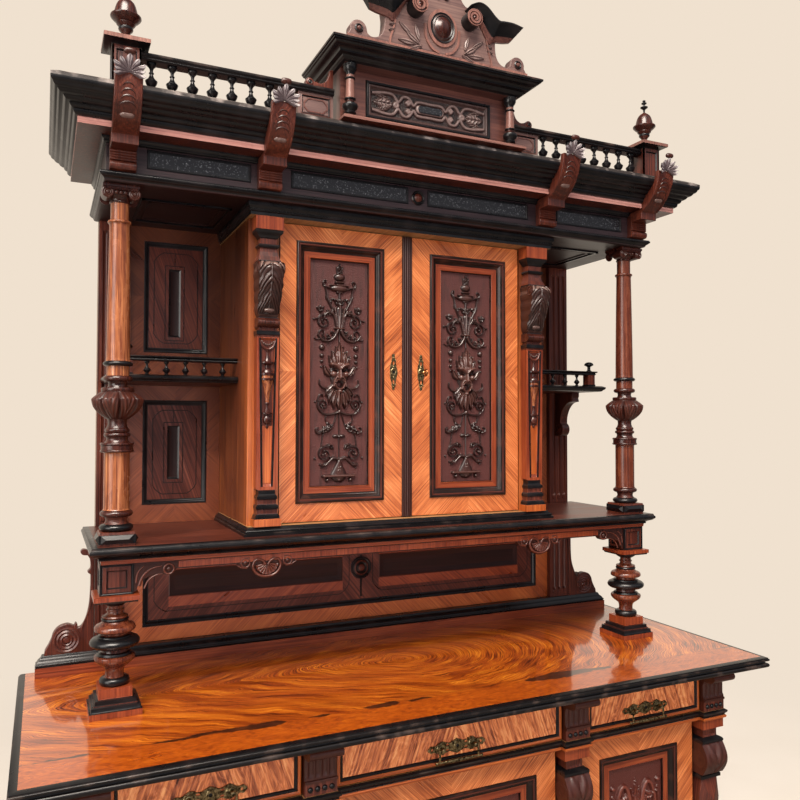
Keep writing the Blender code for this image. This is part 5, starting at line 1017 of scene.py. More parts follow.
# pulls: pierced plate with rosettes, posts and a keyhole, and a bail that swings in the posts
pullSettings = {"half": 0.0672, "height": 0.0150, "post": 0.0375, "thick": 0.0026, "z": 0.904,
                "back": -0.2304}
for side in ("left", "center", "right"):
    low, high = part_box(f"pull_plate_{side}")
    middle = (low.x + high.x) / 2
    half, tall, post = pullSettings["half"], pullSettings["height"], pullSettings["post"]
    z = pullSettings["z"]
    outline = []
    for i in range(96):
        a = 2 * math.pi * i / 96
        lobe = 1 + 0.07 * math.cos(12 * a)
        x = half * math.copysign(abs(math.cos(a)) ** 0.75, math.cos(a)) * (0.985 + 0.015 * math.cos(12 * a))
        waist = 0.62 + 0.38 * math.cos(math.pi * abs(x) / half * 2.0) ** 2
        outline.append((x, tall * math.copysign(abs(math.sin(a)) ** 0.8, math.sin(a)) * waist * lobe
                        * 0.93))
    holes = []
    for sign in (-1, 1):
        for cx, cz, rx, rz in ((0.0215, 0.0052, 0.0042, 0.0022), (0.0215, -0.0052, 0.0042, 0.0022),
                               (0.0570, 0.0, 0.0028, 0.0034)):
            holes.append([(sign * cx + rx * math.cos(t), cz + rz * math.sin(t))
                          for t in (2 * math.pi * k / 12 for k in range(12))])
    piece = Piece(f"pullPlate_{side}")
    face = pullSettings["back"] - pullSettings["thick"]
    place = Matrix.Translation((middle, pullSettings["back"] - pullSettings["thick"] / 2, z)) @ standXZ
    piece.mesh(shapeMesh([outline] + holes, pullSettings["thick"], 0.0005), "brass", place=place)
    for sign in (-1, 1):
        px = middle + sign * post
        rosette = rowsOf("brass", 10.4, 0, 10.4, 0.8, 8.8, 1.8, 6.2, 1.2, 4.5, 2.2)
        turn(piece, (px, face, z), rosette, 32, lambda a, h, n: 0.0009 * math.cos(8 * a) if n in (1, 2)
             else 0.0, "y")
        stem = rowsOf("brass", 4.2, 0, 3.4, 4, 4.4, 6.8, 4.8, 9.5, 4.2, 12.5, 2.6, 13.8, 0.8, 14.2)
        turn(piece, (px, face - 0.0015, z), stem, 20, axis="y")
    cartouche = rowsOf("brass", 8.8, 0, 8.8, 0.9, 7.2, 2.2, 5, 1.6, 3.4, 2, "black", 2.6, 0.3, 0.4, 0.2)
    turn(piece, (middle, face, z + 0.001), cartouche, 28,
         lambda a, h, n: 0.0012 * math.cos(2 * a + math.pi) + 0.0006 * math.cos(6 * a) if n < 3 else 0.0,
         "y")
    ballsAt(piece, [(middle + dx, face, z + dz) for dx in (-0.0135, 0.0135) for dz in (0.0, 0.0075,
        -0.0075)], 0.0016, "brass")
    ballsAt(piece, [(middle + s * (post + 0.0128), face, z + dz) for s in (-1, 1) for dz in (0.0058,
        -0.0058)], 0.0014, "brass")
    piece.done(f"drawer_{side}", f"pull_plate_{side}")

    low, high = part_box(f"pull_bail_{side}")
    piece = Piece(f"pullBail_{side}")
    eyeY = next(j for j in frame["joints"] if j["name"] == f"bail_{side}_hinge")["pos_m"][1]
    barZ = low.z + 0.0042
    reach = (high.x - low.x) / 2
    bar = [(0.0010, 0.0, "brass"), (0.0030, 0.0012, "brass"), (0.0036, 0.0030, "brass"),
           (0.0026, 0.0048, "brass"),
           (0.0022, 0.0062, "brass"), (0.0024, 0.022, "brass"), (0.0034, 0.0245, "brass"),
           (0.0024, 0.0268, "brass"),
           (0.0028, 0.030, "brass"), (0.0042, 0.040, "brass"), (0.0030, 0.0475, "brass"),
           (0.0040, 0.0495, "brass"), (0.0040, reach, "brass")]
    rows = bar + [(r, 2 * reach - along, f) for r, along, f in reversed(bar[:-1])]
    turn(piece, (middle - reach, eyeY, barZ), rows, 20, axis="x")
    arm = pullSettings["post"] + 0.0045 + 0.0018 + 0.001
    for sign in (-1, 1):
        armRows = [(0.0020, 0.0, "brass"), (0.0020, 0.004, "brass"), (0.0027, 0.009, "brass"),
                   (0.0020, 0.014, "brass"), (0.0020, z + 0.0022 - barZ, "brass")]
        turn(piece, (middle + sign * arm, eyeY, barZ), armRows, 14)
        inner = pullSettings["post"] - 0.0035
        pin = [(0.0017, 0.0, "brass"), (0.0017, arm - inner, "brass")]
        turn(piece, (middle + (inner if sign > 0 else -arm), eyeY, z), pin, 12, axis="x")
    piece.done(f"bail_{side}", f"pull_bail_{side}")
print("worktop, drawers and pulls made")

# fluted blocks between the drawers
blockSettings = {"face": -0.245, "roll": 0.023, "pitch": 0.0142, "fluteWidth": 0.0105}
for number in (1, 2, 3, 4):
    low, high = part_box(f"drawer_block_{number}")
    piece = Piece(f"drawerBlock_{number}")
    middle, half = (low.x + high.x) / 2, (high.x - low.x) / 2
    face = blockSettings["face"]
    table = [(low.z, 0.0), (low.z + 0.0228, 0.0), (low.z + 0.0232, 0.003), (low.z + 0.0262, 0.0034),
             (low.z + 0.0282, 0.003), (low.z + 0.0288, 0.0), (high.z - 0.0320, 0.0),
             (high.z - 0.0305, 0.006)]
    table += [(high.z - 0.030 + 0.026 * (1 - math.cos(math.pi * i / 12)) / 2,
               0.012 + blockSettings["roll"] * math.sin(math.pi * i / 12)) for i in range(13)]
    table += [(high.z - 0.0035, 0.013), (high.z, 0.013)]

    def blockFace(u, z):
        out = between(z, table)
        if low.z + 0.033 < z < high.z - 0.035:
            lane = (u * half) / blockSettings["pitch"]
            off = (lane - math.floor(lane) - 0.5) * blockSettings["pitch"]
            end = min(z - low.z - 0.033, high.z - 0.035 - z)
            if abs(off) < blockSettings["fluteWidth"] / 2 and end > 0:
                out -= 0.0034 * math.sqrt(1 - (2 * off / blockSettings["fluteWidth"]) ** 2) * min(1,
                    end / 0.004)
        return face - out

    def blockFinish(z):
        return "redVeneer" if z < low.z + 0.0228 or z > high.z - 0.006 else "darkCarved"

    reliefBlock(piece, middle, levelsOf(table, 0.0028), lambda z: half - (0.001 if z < high.z - 0.03
        else 0.0), blockFace, high.y, blockFinish, 64)
    ballsAt(piece, [(middle + (i - 1.5) * blockSettings["pitch"], face, low.z + 0.0115) for i in range(4)],
            0.0056, "black")
    piece.done("carcass", f"drawer_block_{number}")

# deck under the drawers, breaking forward round each block
deckSettings = {"face": -0.232, "block": -0.245, "width": 0.067}
low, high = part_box("drawer_deck")
piece = Piece("drawerDeck")
centres = [(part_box(f"drawer_block_{n}")[0].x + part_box(f"drawer_block_{n}")[1].x) / 2 for n in (1, 2, 3, 4)]
halfWidth = deckSettings["width"] / 2
outline = [(centres[0] - halfWidth, high.y), (centres[0] - halfWidth, deckSettings["block"])]
for n, x in enumerate(centres):
    if n:
        outline += [(x - halfWidth, deckSettings["face"]), (x - halfWidth, deckSettings["block"])]
    outline += [(x + halfWidth, deckSettings["block"])]
    if n < 3:
        outline += [(x + halfWidth, deckSettings["face"])]
outline += [(centres[-1] + halfWidth, high.y)]
deckRows = [(0.0, 0.0, "black"), (0.003, 0.001, "black")]
deckRows += roundRows((0.002, 0.0015), (0.002, 0.0075), 0.0022, "strip")
deckRows += [(0.001, 0.009, "black")] + ogeeRows((0.001, 0.009), (0.0055, 0.0155), "black", 5)
deckRows += rowsOf("black", 6, 16.2, "wornBlack", 6, 18.8, "black", 1, 21.7)
mouldedSlab(piece, outline, deckRows, low.z, plain=(len(outline) - 1,), top="oak", bottom="oak")
piece.done("carcass", "drawer_deck")

# consoles: veneered band, panelled neck, leaf-carved volute, faceted block and a plain shaft on a foot
consoleSettings = {"face": -0.245}
for number in (1, 2, 3, 4):
    low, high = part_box(f"base_console_{number}")
    piece = Piece(f"baseConsole_{number}")
    middle, half = (low.x + high.x) / 2, (high.x - low.x) / 2
    face = consoleSettings["face"]
    top, foot = high.z, low.z
    shape = [(foot, half, -0.004), (foot + 0.066, half, -0.004), (foot + 0.070, half - 0.001, -0.005),
             (foot + 0.078, half - 0.001, -0.008), (foot + 0.095, half - 0.003, -0.012),
             (foot + 0.105, half - 0.007, -0.018), (top - 0.262, half - 0.010, -0.020),
             (top - 0.257, half - 0.005, -0.014), (top - 0.249, half - 0.004, -0.013),
             (top - 0.247, half - 0.008, -0.018), (top - 0.196, half - 0.001, -0.007),
             (top - 0.147, half - 0.008, -0.018), (top - 0.144, half - 0.002, -0.011),
             (top - 0.137, half - 0.002, -0.011), (top - 0.132, half - 0.006, -0.016)]
    shape += [(top - 0.131 + 0.074 * i / 14, half, -0.006 + 0.0158 * math.sin(math.pi * i / 14))
              for i in range(15)]
    shape += [(top - 0.056, half, -0.003), (top - 0.051, half, -0.003), (top - 0.048, half - 0.003, -0.008),
              (top - 0.045, half - 0.0115, -0.014), (top - 0.0225, half - 0.0115, -0.014),
              (top - 0.022, half, -0.003), (top - 0.002, half, -0.003), (top, half - 0.001, -0.004)]
    outs = [(z, out) for z, _, out in shape]
    wides = [(z, wide) for z, wide, _ in shape]

    def consoleFace(u, z):
        out = between(z, outs)
        if top - 0.131 < z < top - 0.057:
            # a leaf over the roll: midrib, ribs that fan out, turned-over tip
            run = (top - 0.057 - z) / 0.074
            spread = abs(u) / (0.25 + 0.72 * math.sin(math.pi * min(1, 0.18 + run * 0.75)))
            if spread < 1:
                out += 0.0046 * (1 - spread ** 3) * (0.62 + 0.38 * math.cos(spread * 9 + run * 10)) \
                    - 0.0026 * math.exp(-(u / 0.09) ** 2)
        elif top - 0.247 < z < top - 0.146:
            # a pyramid with its point in the middle of the block
            rise = min(1 - abs(u), 1 - abs(z - (top - 0.196)) / 0.05)
            out = -0.018 + 0.0165 * rise
        elif foot + 0.108 < z < top - 0.262 and abs(u) < 0.62:
            out -= 0.004 * min(1, (0.62 - abs(u)) / 0.14) * min(1, (z - foot - 0.108) / 0.006) \
                * min(1, (top - 0.262 - z) / 0.006)
        elif top - 0.0435 < z < top - 0.024 and abs(u) < 0.72:
            out -= 0.003
        elif foot + 0.010 < z < foot + 0.058 and abs(u) < 0.72:
            out += 0.003 * min(1, (0.72 - abs(u)) / 0.15)
        return face - out

    def consoleFinish(z):
        if z > top - 0.022:
            return "redStrip"
        if top - 0.057 < z < top - 0.045 or top - 0.146 < z < top - 0.131 or z < foot + 0.006:
            return "black"
        if top - 0.262 < z < top - 0.247 or foot + 0.066 < z < foot + 0.105:
            return "black"
        if top - 0.131 < z < top - 0.057:
            return "darkCarved"
        return "redVeneer"

    levels = levelsOf(shape, 0.0035)
    reliefBlock(piece, middle, levels, lambda z: between(z, wides), consoleFace, high.y, consoleFinish, 36)
    for sign in (-1, 1):
        disc = rowsOf("darkCarved", 22.5, -0.8, 22.5, 0.6, 19.5, 1.2, 17, 0.2, 13, 1.2, 10, 0.2, 6.2, 1.4,
                      1, 1.8)
        turn(piece, (middle + sign * half, face + 0.016, top - 0.094), facing(disc, sign), 28, axis="x")
    piece.done("carcass", f"base_console_{number}")
print("blocks, deck and consoles made")

# panelled doors: herringbone frame, walnut bead, ebonised ogee, orange strip, carved panel
def panelDoor(piece, outer, inner, face, rear):
    x0, x1, z0, z1 = outer
    piece.face([(x1, rear, z0), (x0, rear, z0), (x0, rear, z1), (x1, rear, z1)], "boards")
    boardEdge(piece, (x0, x1, z0, z1), rear, face, "plain", ((1, 0, 0), (0, 0, 1)))
    herringbone(piece, outer, inner, face)
    rows = [(0.0, 0.0, "brownBlack"), (0.0012, 0.0022, "brownBlack")]
    rows += beadRow((0.0012, 0.0022), (0.0058, 0.0026), 0.0022, "brownBlack")
    rows += beadRow((0.0058, 0.0026), (0.0098, 0.0014), 0.0014, "redVeneer", 4)
    rows += [(0.0104, -0.0002, "brownBlack")] + slopeRow((0.0104, -0.0002), (0.0192, -0.0086), "brownBlack")
    rows += rowsOf("brownBlack", 20.8, -9.2, 21.2, -8.8, "redStrip", 33.4, -8.8)
    rows += rowsOf("redStrip", 34.6, -7.4, 35.6, -8.8, "brownBlack", 36, -10.8)
    return framedRect(piece, inner, face, rows)


def closePanel(piece, rect, relief, drop, tall, finish="carved"):
    # sets a carved panel behind its frame and joins the two by a narrow edge
    x0, x1, z0, z1, y = rect
    rim = relief.onto(piece, y + drop, finish, tall)
    xs = sorted(set(round(p[0], 6) for p in rim))
    zs = sorted(set(round(p[2], 6) for p in rim))
    walls = [([(x, y, z0) for x in xs], [p for p in rim if abs(p[2] - z0) < 1e-7]),
             ([(x, y, z1) for x in xs], [p for p in rim if abs(p[2] - z1) < 1e-7]),
             ([(x0, y, z) for z in zs], [p for p in rim if abs(p[0] - x0) < 1e-7]),
             ([(x1, y, z) for z in zs], [p for p in rim if abs(p[0] - x1) < 1e-7])]
    for near, far in walls:
        far = sorted(set(far), key=lambda p: (p[0], p[2]))
        if len(far) == len(near):
            piece.strips([near, far], "black")


def upperDoorCarving(relief):
    # candelabrum of scrolls round a satyr mask, for one half; mm out from the middle and down from the top
    leaves = (
        # flame, buds on the branches, leaves round the trunk
        ((0, 36), (0, 5), 7, 8, 0, 4), ((3, 34), (8, 12), 4, 7, 1, 2), ((27, 92), (33, 78), 4.5, 6.5, 0, 2),
        ((24, 96), (16, 86), 4, 6, 0, 2), ((0, 104), (0, 84), 8, 8.5, 0, 2), ((3, 102), (15, 86), 5, 7.5, 1,
            2),
        # first scrolls and the festoons under them
        ((20, 126), (31, 114), 6, 8.5, 1, 2), ((45, 121), (47, 103), 5.5, 7.5, 0, 2),
        ((44, 118), (37, 105), 4, 6.5, 0, 2),
        ((47, 116), (56, 107), 4, 6.5, 0, 2), ((12, 172), (22, 162), 5, 7.5, 1, 2),
        ((24, 180), (30, 168), 5, 7.5, 0, 2), ((36, 183), (40, 171), 4.5, 7, 0, 2),
        # hair, ears and beard of the mask
        ((0, 242), (0, 187), 8.5, 15, 0, 1, 0.15), ((6, 243), (9, 196), 7, 14.5, 2.5, 1, 0.15),
        ((11, 244), (19, 206), 7, 14, 3, 1, 0.15), ((17, 248), (27, 217), 6, 12, 3, 1, 0.15),
        ((21, 266), (38, 240), 7.5, 11.5, -1.5, 1, 0.1), ((0, 296), (0, 346), 9, 12.5, 0, 1, 0.2),
        ((6, 296), (14, 340), 7.5, 12, 2.5, 1, 0.2), ((11, 294), (25, 328), 7.5, 11, 3, 1, 0.2),
        ((15, 290), (33, 312), 7, 10, 3, 1, 0.2),
        # lower sprigs, bows and foot
        ((14, 376), (52, 394), 7.5, 8.5, -3, 4), ((20, 382), (30, 369), 4.5, 6.5, 0, 2),
        ((26, 388), (40, 379), 4, 6, 0, 2),
        ((13, 431), (31, 421), 5.5, 8.5, 2, 2), ((4, 455), (24, 451), 5, 7.5, 1, 3),
        ((30, 462), (43, 475), 4.5, 7, 0, 2), ((0, 489), (0, 466), 8.5, 10.5, 0, 3))
    ridges = (
        # collars, urn rim, foot and handles
        (((0, 49), (9, 49)), 3, 8), (((0, 54), (6, 54)), 2.5, 7), (((0, 56.5), (21, 56.5)), 2.2, 9),
        (((0, 72), (5, 72)), 3, 7),
        (((14, 66), (28, 62), (37, 60)), (2.6, 2), 6.5),
        (((37, 60), (40, 53), (36, 46), (32, 47), (33, 52)), (2.2, 1.4), (6, 4)),
        # branches, stem and reeded trunk
        (((16, 114), (20, 105), (27, 92), (30, 80), (33, 66), (36, 55)), (3.2, 1.8), 6.5),
        (((0, 75), (0, 100)), 3, 6),
        (((0, 112), (0, 155)), (8, 5.5), (6.5, 9)), (((0, 104), (0, 153)), (2.4, 3), 9.5),
        (((12, 110), (8, 128), (4.5, 153)), (3, 2.4), 9),
        (((18, 116), (12, 130), (7.5, 152)), (3, 2), (8, 8.5)), (((0, 155.5), (10.5, 155.5)), 2.8, 10),
        (((8, 135), (14, 124), (24, 119), (34, 124), (37, 131)), (3.6, 2.4), (8.5, 6.5)),
        (((53, 134), (60, 136)), 1.6, 4.5),
        # festoon with its curl and tendril
        (((4, 160), (10, 172), (20, 182), (33, 185), (44, 181), (51, 172)), (4.5, 2.2), (8.5, 6.5)),
        (((51, 172), (47, 162), (39, 161), (37, 167), (41, 171)), (2.2, 1.4), 5.5),
        (((46, 180), (54, 182), (60, 179)), (2, 1), 4.5), (((0, 158), (0, 194)), 1.8, 4.5),
        # moustache, scrolls under the beard, fine stems
        (((15, 285), (26, 293), (38, 292), (47, 284), (47, 274)), (3.8, 1.6), (9, 6)),
        (((5, 348), (18, 352), (34, 352), (46, 344), (52, 332)), (2.8, 2.2), 6.5),
        (((30, 352), (33, 362), (31, 370)), (1.8, 0.9), 4.5),
        (((52, 321), (48, 309), (41, 307), (39, 312)), (2.2, 1.4), 5.5), (((0, 350), (0, 401)), 1.4, 4),
        (((6, 350), (10, 365), (16, 378), (26, 388), (38, 398), (41, 412), (43, 428)), 1.5, 4.2),
        (((46, 396), (54, 393), (55, 385), (50, 383)), (3, 1.6), (7.5, 6)), (((0, 405), (0, 456)), 1.4, 4),
        # foot
        (((2, 455), (14, 452), (24, 459), (34, 468), (45, 466)), (3.6, 2.4), 7.5),
        (((0, 460), (0, 488)), (5, 20), (8, 9)), (((0, 492.5), (37, 492.5)), 3.4, 10.5, 0.0, 0.25))
    spirals = ((37, 141, 17, 1.5, -110, 2.6, 7), (39, 331, 14, -1.5, 80, 2.6, 7),
               (34, 442, 17.5, 1.5, -120, 2.6, 7))
    domes = ((0, 37, 13.5, 9, 9.5), (0, 63, 23, 8.5, 10), (61, 136, 2.8, 2.8, 5), (41.5, 199.8, 7, 7, 8),
             (41.5, 218.5, 5.5, 5.5, 7),
             (41.8, 232, 4.3, 4.3, 6), (43, 244, 3, 3, 5), (0, 346, 5.5, 5.5, 9), (57, 324, 2.8, 2.8, 5),
             (7.5, 402, 8, 4.2, 6.5),
             (0, 403, 4, 4, 7.5), (39, 444, 3.6, 3.6, 8.5), (57, 452, 2.8, 2.8, 5), (0, 501.5, 5, 5, 8.5),
             (28, 501.5, 5, 5, 8.5))
    for row in domes:
        relief.dome(*row)
    for row in ridges:
        relief.ridge(*row)
    for row in spirals:
        relief.spiral(*row, 0.25)
    for row in leaves:
        relief.leaf(*row)
    # the mask: skull, brow, sockets, cheeks, nose, an open mouth and the folds beside it
    for row in ((0, 258, 23, 38, 10.5), (0, 241, 18, 11, 14.5), (0, 282, 17, 20, 10),
                (14.5, 260, 8.5, 9, 15), (0, 299, 8, 6, 15)):
        relief.dome(*row)
    relief.hollow(9.5, 251, 5.6, 4.2, 7.5)
    relief.hollow(0, 283.5, 7, 7.5, 13)
    relief.dome(9.5, 250, 3.2, 2.4, 11.5)
    for row in ((((1.5, 248), (9, 241), (20, 238)), 4.6, 17.5), (((0, 243), (0, 268)), (3, 5.5), (15, 20)),
                (((7, 266), (13, 276), (14, 288)), 3, 13), (((0, 274.5), (6, 273), (11, 279)), 2.4, 14),
                (((0, 294), (7, 292), (11, 283)), 2.8, 14)):
        relief.ridge(*row)
    relief.dome(5, 268, 3.6, 3, 15)
    return 12


def baseDoorCarving(relief, half, high):
    # the same hand at a larger scale: a fountain of scrolls with bold fronds arching over at its head;
    # strokes are in tenths of the panel's half width and height, widths in shares of its half width

    def at(*points):
        return [(x / 10 * half, z / 10 * high) for x, z in points]

    unit = min(half, high / 3)
    for x, z, r, turns, start in ((5.6, 2.1, 0.20, -1.5, 60), (5.4, 4.35, 0.25, 1.7, -110),
            (5.4, 6.5, 0.24, -1.7, 100), (5.4, 8.35, 0.22, 1.6, -120)):
        (cx, cz), = at((x, z))
        relief.spiral(cx, cz, r * unit, turns, start, 0.042 * unit, 8, 0.25)
    for points, w, h in ((((0.3, 3.4), (1.6, 1.9), (3.4, 0.95), (5.4, 0.9), (6.9, 1.5), (7.5, 2.3)),
                          (0.085, 0.05), (10, 8)),
                         (((7.9, 3.0), (8.5, 1.9), (8.4, 1.2)), (0.03, 0.03), 6),
                         (((0.2, 4.6), (1.4, 3.75), (3.4, 3.4), (5.2, 3.6)), 0.055, 9),
                         (((0.2, 5.3), (1.6, 6.3), (3.2, 7.1), (5.2, 7.15)), 0.055, 9),
                         (((0.2, 8.7), (1.2, 7.9), (3.0, 7.6), (5.2, 7.7)), 0.05, 8),
                         (((7.6, 4.2), (8.7, 4.6), (8.9, 5.4)), (0.03, 0.016), 6),
                         (((7.4, 6.6), (8.6, 6.2), (8.9, 5.5)), (0.03, 0.016), 6),
                         (((0, 3.3), (0, 9.2)), (0.03, 0.03), 6), (((0, 9.15), (6.2, 9.15)), 0.042, 10),
                         (((0, 8.75), (2.4, 8.95)), 0.06, 9)):
        w = tuple(v * unit for v in w) if isinstance(w, tuple) else w * unit
        relief.ridge(at(*points), w, h, 0.2)
    for a, b, w, h, bend, lobes in (
            ((0.4, 3.2), (3.6, 1.15), 0.15, 9.5, -0.06, 5), ((3.0, 1.25), (6.9, 1.35), 0.13, 9.5, -0.1, 5),
            ((0, 3.3), (0, 0.6), 0.13, 9.5, 0, 5),
            ((0.3, 3.0), (1.6, 1.0), 0.09, 8.5, 0.03, 4), ((6.6, 2.9), (8.9, 3.3), 0.09, 7.5, 0, 3),
            ((3.2, 3.5), (6.2, 3.1), 0.10, 8.5, 0, 4),
            ((0, 5.2), (0, 3.6), 0.15, 10, 0, 5), ((0.3, 5.1), (2.4, 4.2), 0.10, 8.5, 0.03, 4),
            ((0, 5.1), (0, 6.7), 0.14, 9.5, 0, 5),
            ((0.3, 5.4), (2.2, 6.6), 0.09, 8.5, -0.03, 4), ((6.8, 5.2), (9.1, 4.0), 0.08, 7, 0, 3),
            ((6.6, 7.3), (9.0, 7.2), 0.09, 7.5, 0, 3),
            ((0, 8.5), (0, 7.1), 0.12, 9.5, 0, 5), ((6.8, 8.7), (9.0, 8.1), 0.08, 7, 0, 3)):
        (p, q) = at(a, b)
        relief.leaf(p, q, w * unit, h, bend * unit, lobes)
    for x, z, r, h in ((8.3, 0.85, 0.075, 8), (7.9, 1.35, 0.045, 6), (1.4, 2.9, 0.06, 8),
                       (2.1, 3.25, 0.045, 7), (0, 5.2, 0.13, 11),
                       (8.9, 5.45, 0.07, 7.5), (0, 6.95, 0.08, 9), (0, 9.55, 0.08, 8.5),
                       (4.2, 9.55, 0.08, 8.5)):
        (cx, cz), = at((x, z))
        relief.dome(cx, cz, r * unit, r * unit, h)
    return 10


doorSettings = {"face": -0.21, "margin": 0.05, "thick": 0.024, "drop": 0.006, "step": 0.0016}
for side in ("left", "center", "right"):
    low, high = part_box(f"base_door_{side}")
    piece = Piece(f"baseDoor_{side}")
    z0, z1 = low.z + 0.006, high.z - 0.006     # the pivots stand above and below the door
    outer = (low.x, high.x, z0, z1)
    m = doorSettings["margin"]
    inner = (low.x + m, high.x - m, z0 + m, z1 - m)
    face = doorSettings["face"]
    rect = panelDoor(piece, outer, inner, face, face + doorSettings["thick"])
    relief = Relief(*rect[:4], doorSettings["step"] * (1))
    tall = baseDoorCarving(relief, (rect[1] - rect[0]) * 500, (rect[3] - rect[2]) * 1000)
    closePanel(piece, rect, relief, doorSettings["drop"] - 0.0012, tall, "redCarved")
    hingeX = (low.x + 0.008) if side != "right" else (high.x - 0.008)
    for base, top in ((low.z, z0 + 0.001), (z1 - 0.001, high.z)):
        turn(piece, (hingeX, face + 0.004, base), [(0.003, 0.0, "brass"), (0.003, top - base, "brass")], 16)
    piece.done(f"lower_door_{side}", f"base_door_{side}")
print("base doors carved")

cupboardSettings = {"face": 0.008, "thick": 0.024, "drop": 0.006, "step": 0.001}
for side, sign in (("left", -1), ("right", 1)):
    low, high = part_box(f"cupboard_door_{side}")
    piece = Piece(f"cupboardDoor_{side}")
    z0, z1 = low.z + 0.006, high.z - 0.006
    meeting = -0.014 if side == "left" else -0.0125
    hinge = low.x if side == "left" else high.x
    x0, x1 = sorted((hinge, meeting))
    outer = (x0, x1, z0, z1)
    inner = tuple(sorted((sign * 0.0595, sign * 0.2735))) + (1.387, 1.974)
    face = cupboardSettings["face"]
    rect = panelDoor(piece, outer, inner, face, face + cupboardSettings["thick"])
    relief = Relief(*rect[:4], cupboardSettings["step"] * (1))
    tall = upperDoorCarving(relief)
    closePanel(piece, rect, relief, cupboardSettings["drop"] - 0.0012, tall)
    # brass escutcheon: a pierced cartouche with a keyhole
    keyX, keyZ = sign * 0.036, 1.686
    outline = []
    for i in range(72):
        a = 2 * math.pi * i / 72
        wide = 0.0092 * (0.62 + 0.38 * math.cos(2 * a) ** 2) * (1 + 0.10 * math.cos(9 * a))
        outline.append((wide * math.cos(a) * 1.05, 0.043 * math.sin(a) * (1 + 0.03 * math.cos(10 * a))))
    holes = []
    for cz, rz in ((0.021, 0.0052), (-0.023, 0.0058)):
        holes.append([(0.0024 * math.cos(t), cz + rz * math.sin(t)) for t in (2 * math.pi * k / 12
            for k in range(12))])
    plate = Matrix.Translation((keyX, face - 0.0008, keyZ)) @ standXZ
    piece.mesh(shapeMesh([outline] + holes, 0.0014, 0.0004), "brass", place=plate)
    shield = rowsOf("brass", 8.2, 0, 8.2, 0.8, 6.6, 1.7, 5, 1.1, 3, 1.2, "black", 2.2, 0.2, 0.3, 0.1)
    turn(piece, (keyX, face - 0.0014, keyZ), shield, 24,
         lambda a, h, n: 0.0012 * math.cos(2 * a + math.pi) if n < 3 else 0.0, "y")
    ballsAt(piece, [(keyX, face - 0.0014, keyZ + dz) for dz in (0.033, 0.0125, -0.0125, -0.035)], 0.0021,
            "brass")
    ballsAt(piece, [(keyX + dx, face - 0.0014, keyZ + dz) for dx in (-0.0052, 0.0052) for dz in (0.028,
        -0.030)], 0.0015, "brass")
    if side == "right":
        # reeded astragal over the meeting edge
        reeds = 5
        half = 0.0125
        profile = [(-half, 0.0)]
        for n in range(reeds):
            c = -half + (2 * n + 1) * half / reeds
            lift = 0.0028 if n in (0, reeds - 1) else 0.0042 if n != 2 else 0.0052
            profile += [(c + half / reeds * math.cos(t) * 0.96, lift * 0.35 + lift * 0.65 * math.sin(t))
                        for t in np.linspace(math.pi, 0, 7)]
        profile += [(half, 0.0)]
        bottom = [(x, face - p, z0) for x, p in profile]
        top = [(x, face - p, z1) for x, p in profile]
        piece.strips([bottom, top], "darkCarved")
        piece.face(bottom + [(half, face + 0.001, z0), (-half, face + 0.001, z0)], "darkCarved")
        piece.face((top + [(half, face + 0.001, z1), (-half, face + 0.001, z1)])[::-1], "darkCarved")
        piece.face([(-half, face, z0), (-half, face, z1), (-half, face + 0.001, z1),
                    (-half, face + 0.001, z0)], "darkCarved")
        piece.face([(-half, face + 0.001, z0), (-half, face + 0.001, z1), (half, face + 0.001, z1),
                    (half, face + 0.001, z0)], "darkCarved")
    hingeX = (x0 + 0.008) if side == "left" else (x1 - 0.008)
    for base, top in ((low.z, z0 + 0.001), (z1 - 0.001, high.z)):
        turn(piece, (hingeX, face + 0.004, base), [(0.003, 0.0, "brass"), (0.003, top - base, "brass")], 16)
    piece.done(f"upper_door_{side}", f"cupboard_door_{side}")
print("cupboard doors carved")


def ribbon(piece, points, y, width, depth, finish, closed=False):
    # a thin strip of wood along a line drawn in X and Z, on a face that looks to the front
    pts = [Vector((x, 0, z)) for x, z in points]
    count = len(pts)
    rows = []
    for i, p in enumerate(pts):
        before = pts[i - 1] if closed or i else None
        after = pts[(i + 1) % count] if closed or i < count - 1 else None
        a = (p - before).normalized() if before else (after - p).normalized()
        b = (after - p).normalized() if after else a
        side = Vector((a.z + b.z, 0, -a.x - b.x)).normalized()
        reach = width / 2 / max(0.4, side.dot(Vector((a.z, 0, -a.x))))
        l, r = p + side * reach, p - side * reach
        rows.append([(l.x, y + 0.0005, l.z), (l.x, y - depth, l.z), (r.x, y - depth, r.z),
                     (r.x, y + 0.0005, r.z)])
    if closed:
        rows.append(rows[0])
    piece.strips(rows, finish, closed=True)
    if not closed:
        piece.face(rows[0][::-1], finish)
        piece.face(rows[-1], finish)


def cord(piece, points, y, width, depth, finish, sides=7):
    # a half-round strip of carving along a line in X and Z, tapering to its ends when width is a pair
    pts = [Vector((x, 0, z)) for x, z in points]
    wide, narrow = width if isinstance(width, tuple) else (width, width)
    rows, heights = [], []
    for i, p in enumerate(pts):
        along = (pts[min(i + 1, len(pts) - 1)] - pts[max(i - 1, 0)]).normalized()
        side = Vector((along.z, 0, -along.x))
        size = wide + (narrow - wide) * i / (len(pts) - 1)
        row = []
        for k in range(sides):
            a = math.pi * k / (sides - 1)
            at = p + side * (size / 2 * math.cos(a))
            row.append((at.x, y + 0.0006 - depth * size / wide * math.sin(a), at.z))
            heights.append(0.15 + 0.8 * math.sin(a))
        rows.append(row)
    piece.strips(rows, finish, depth=heights)
    piece.face(rows[0][::-1], finish)
    piece.face(rows[-1], finish)


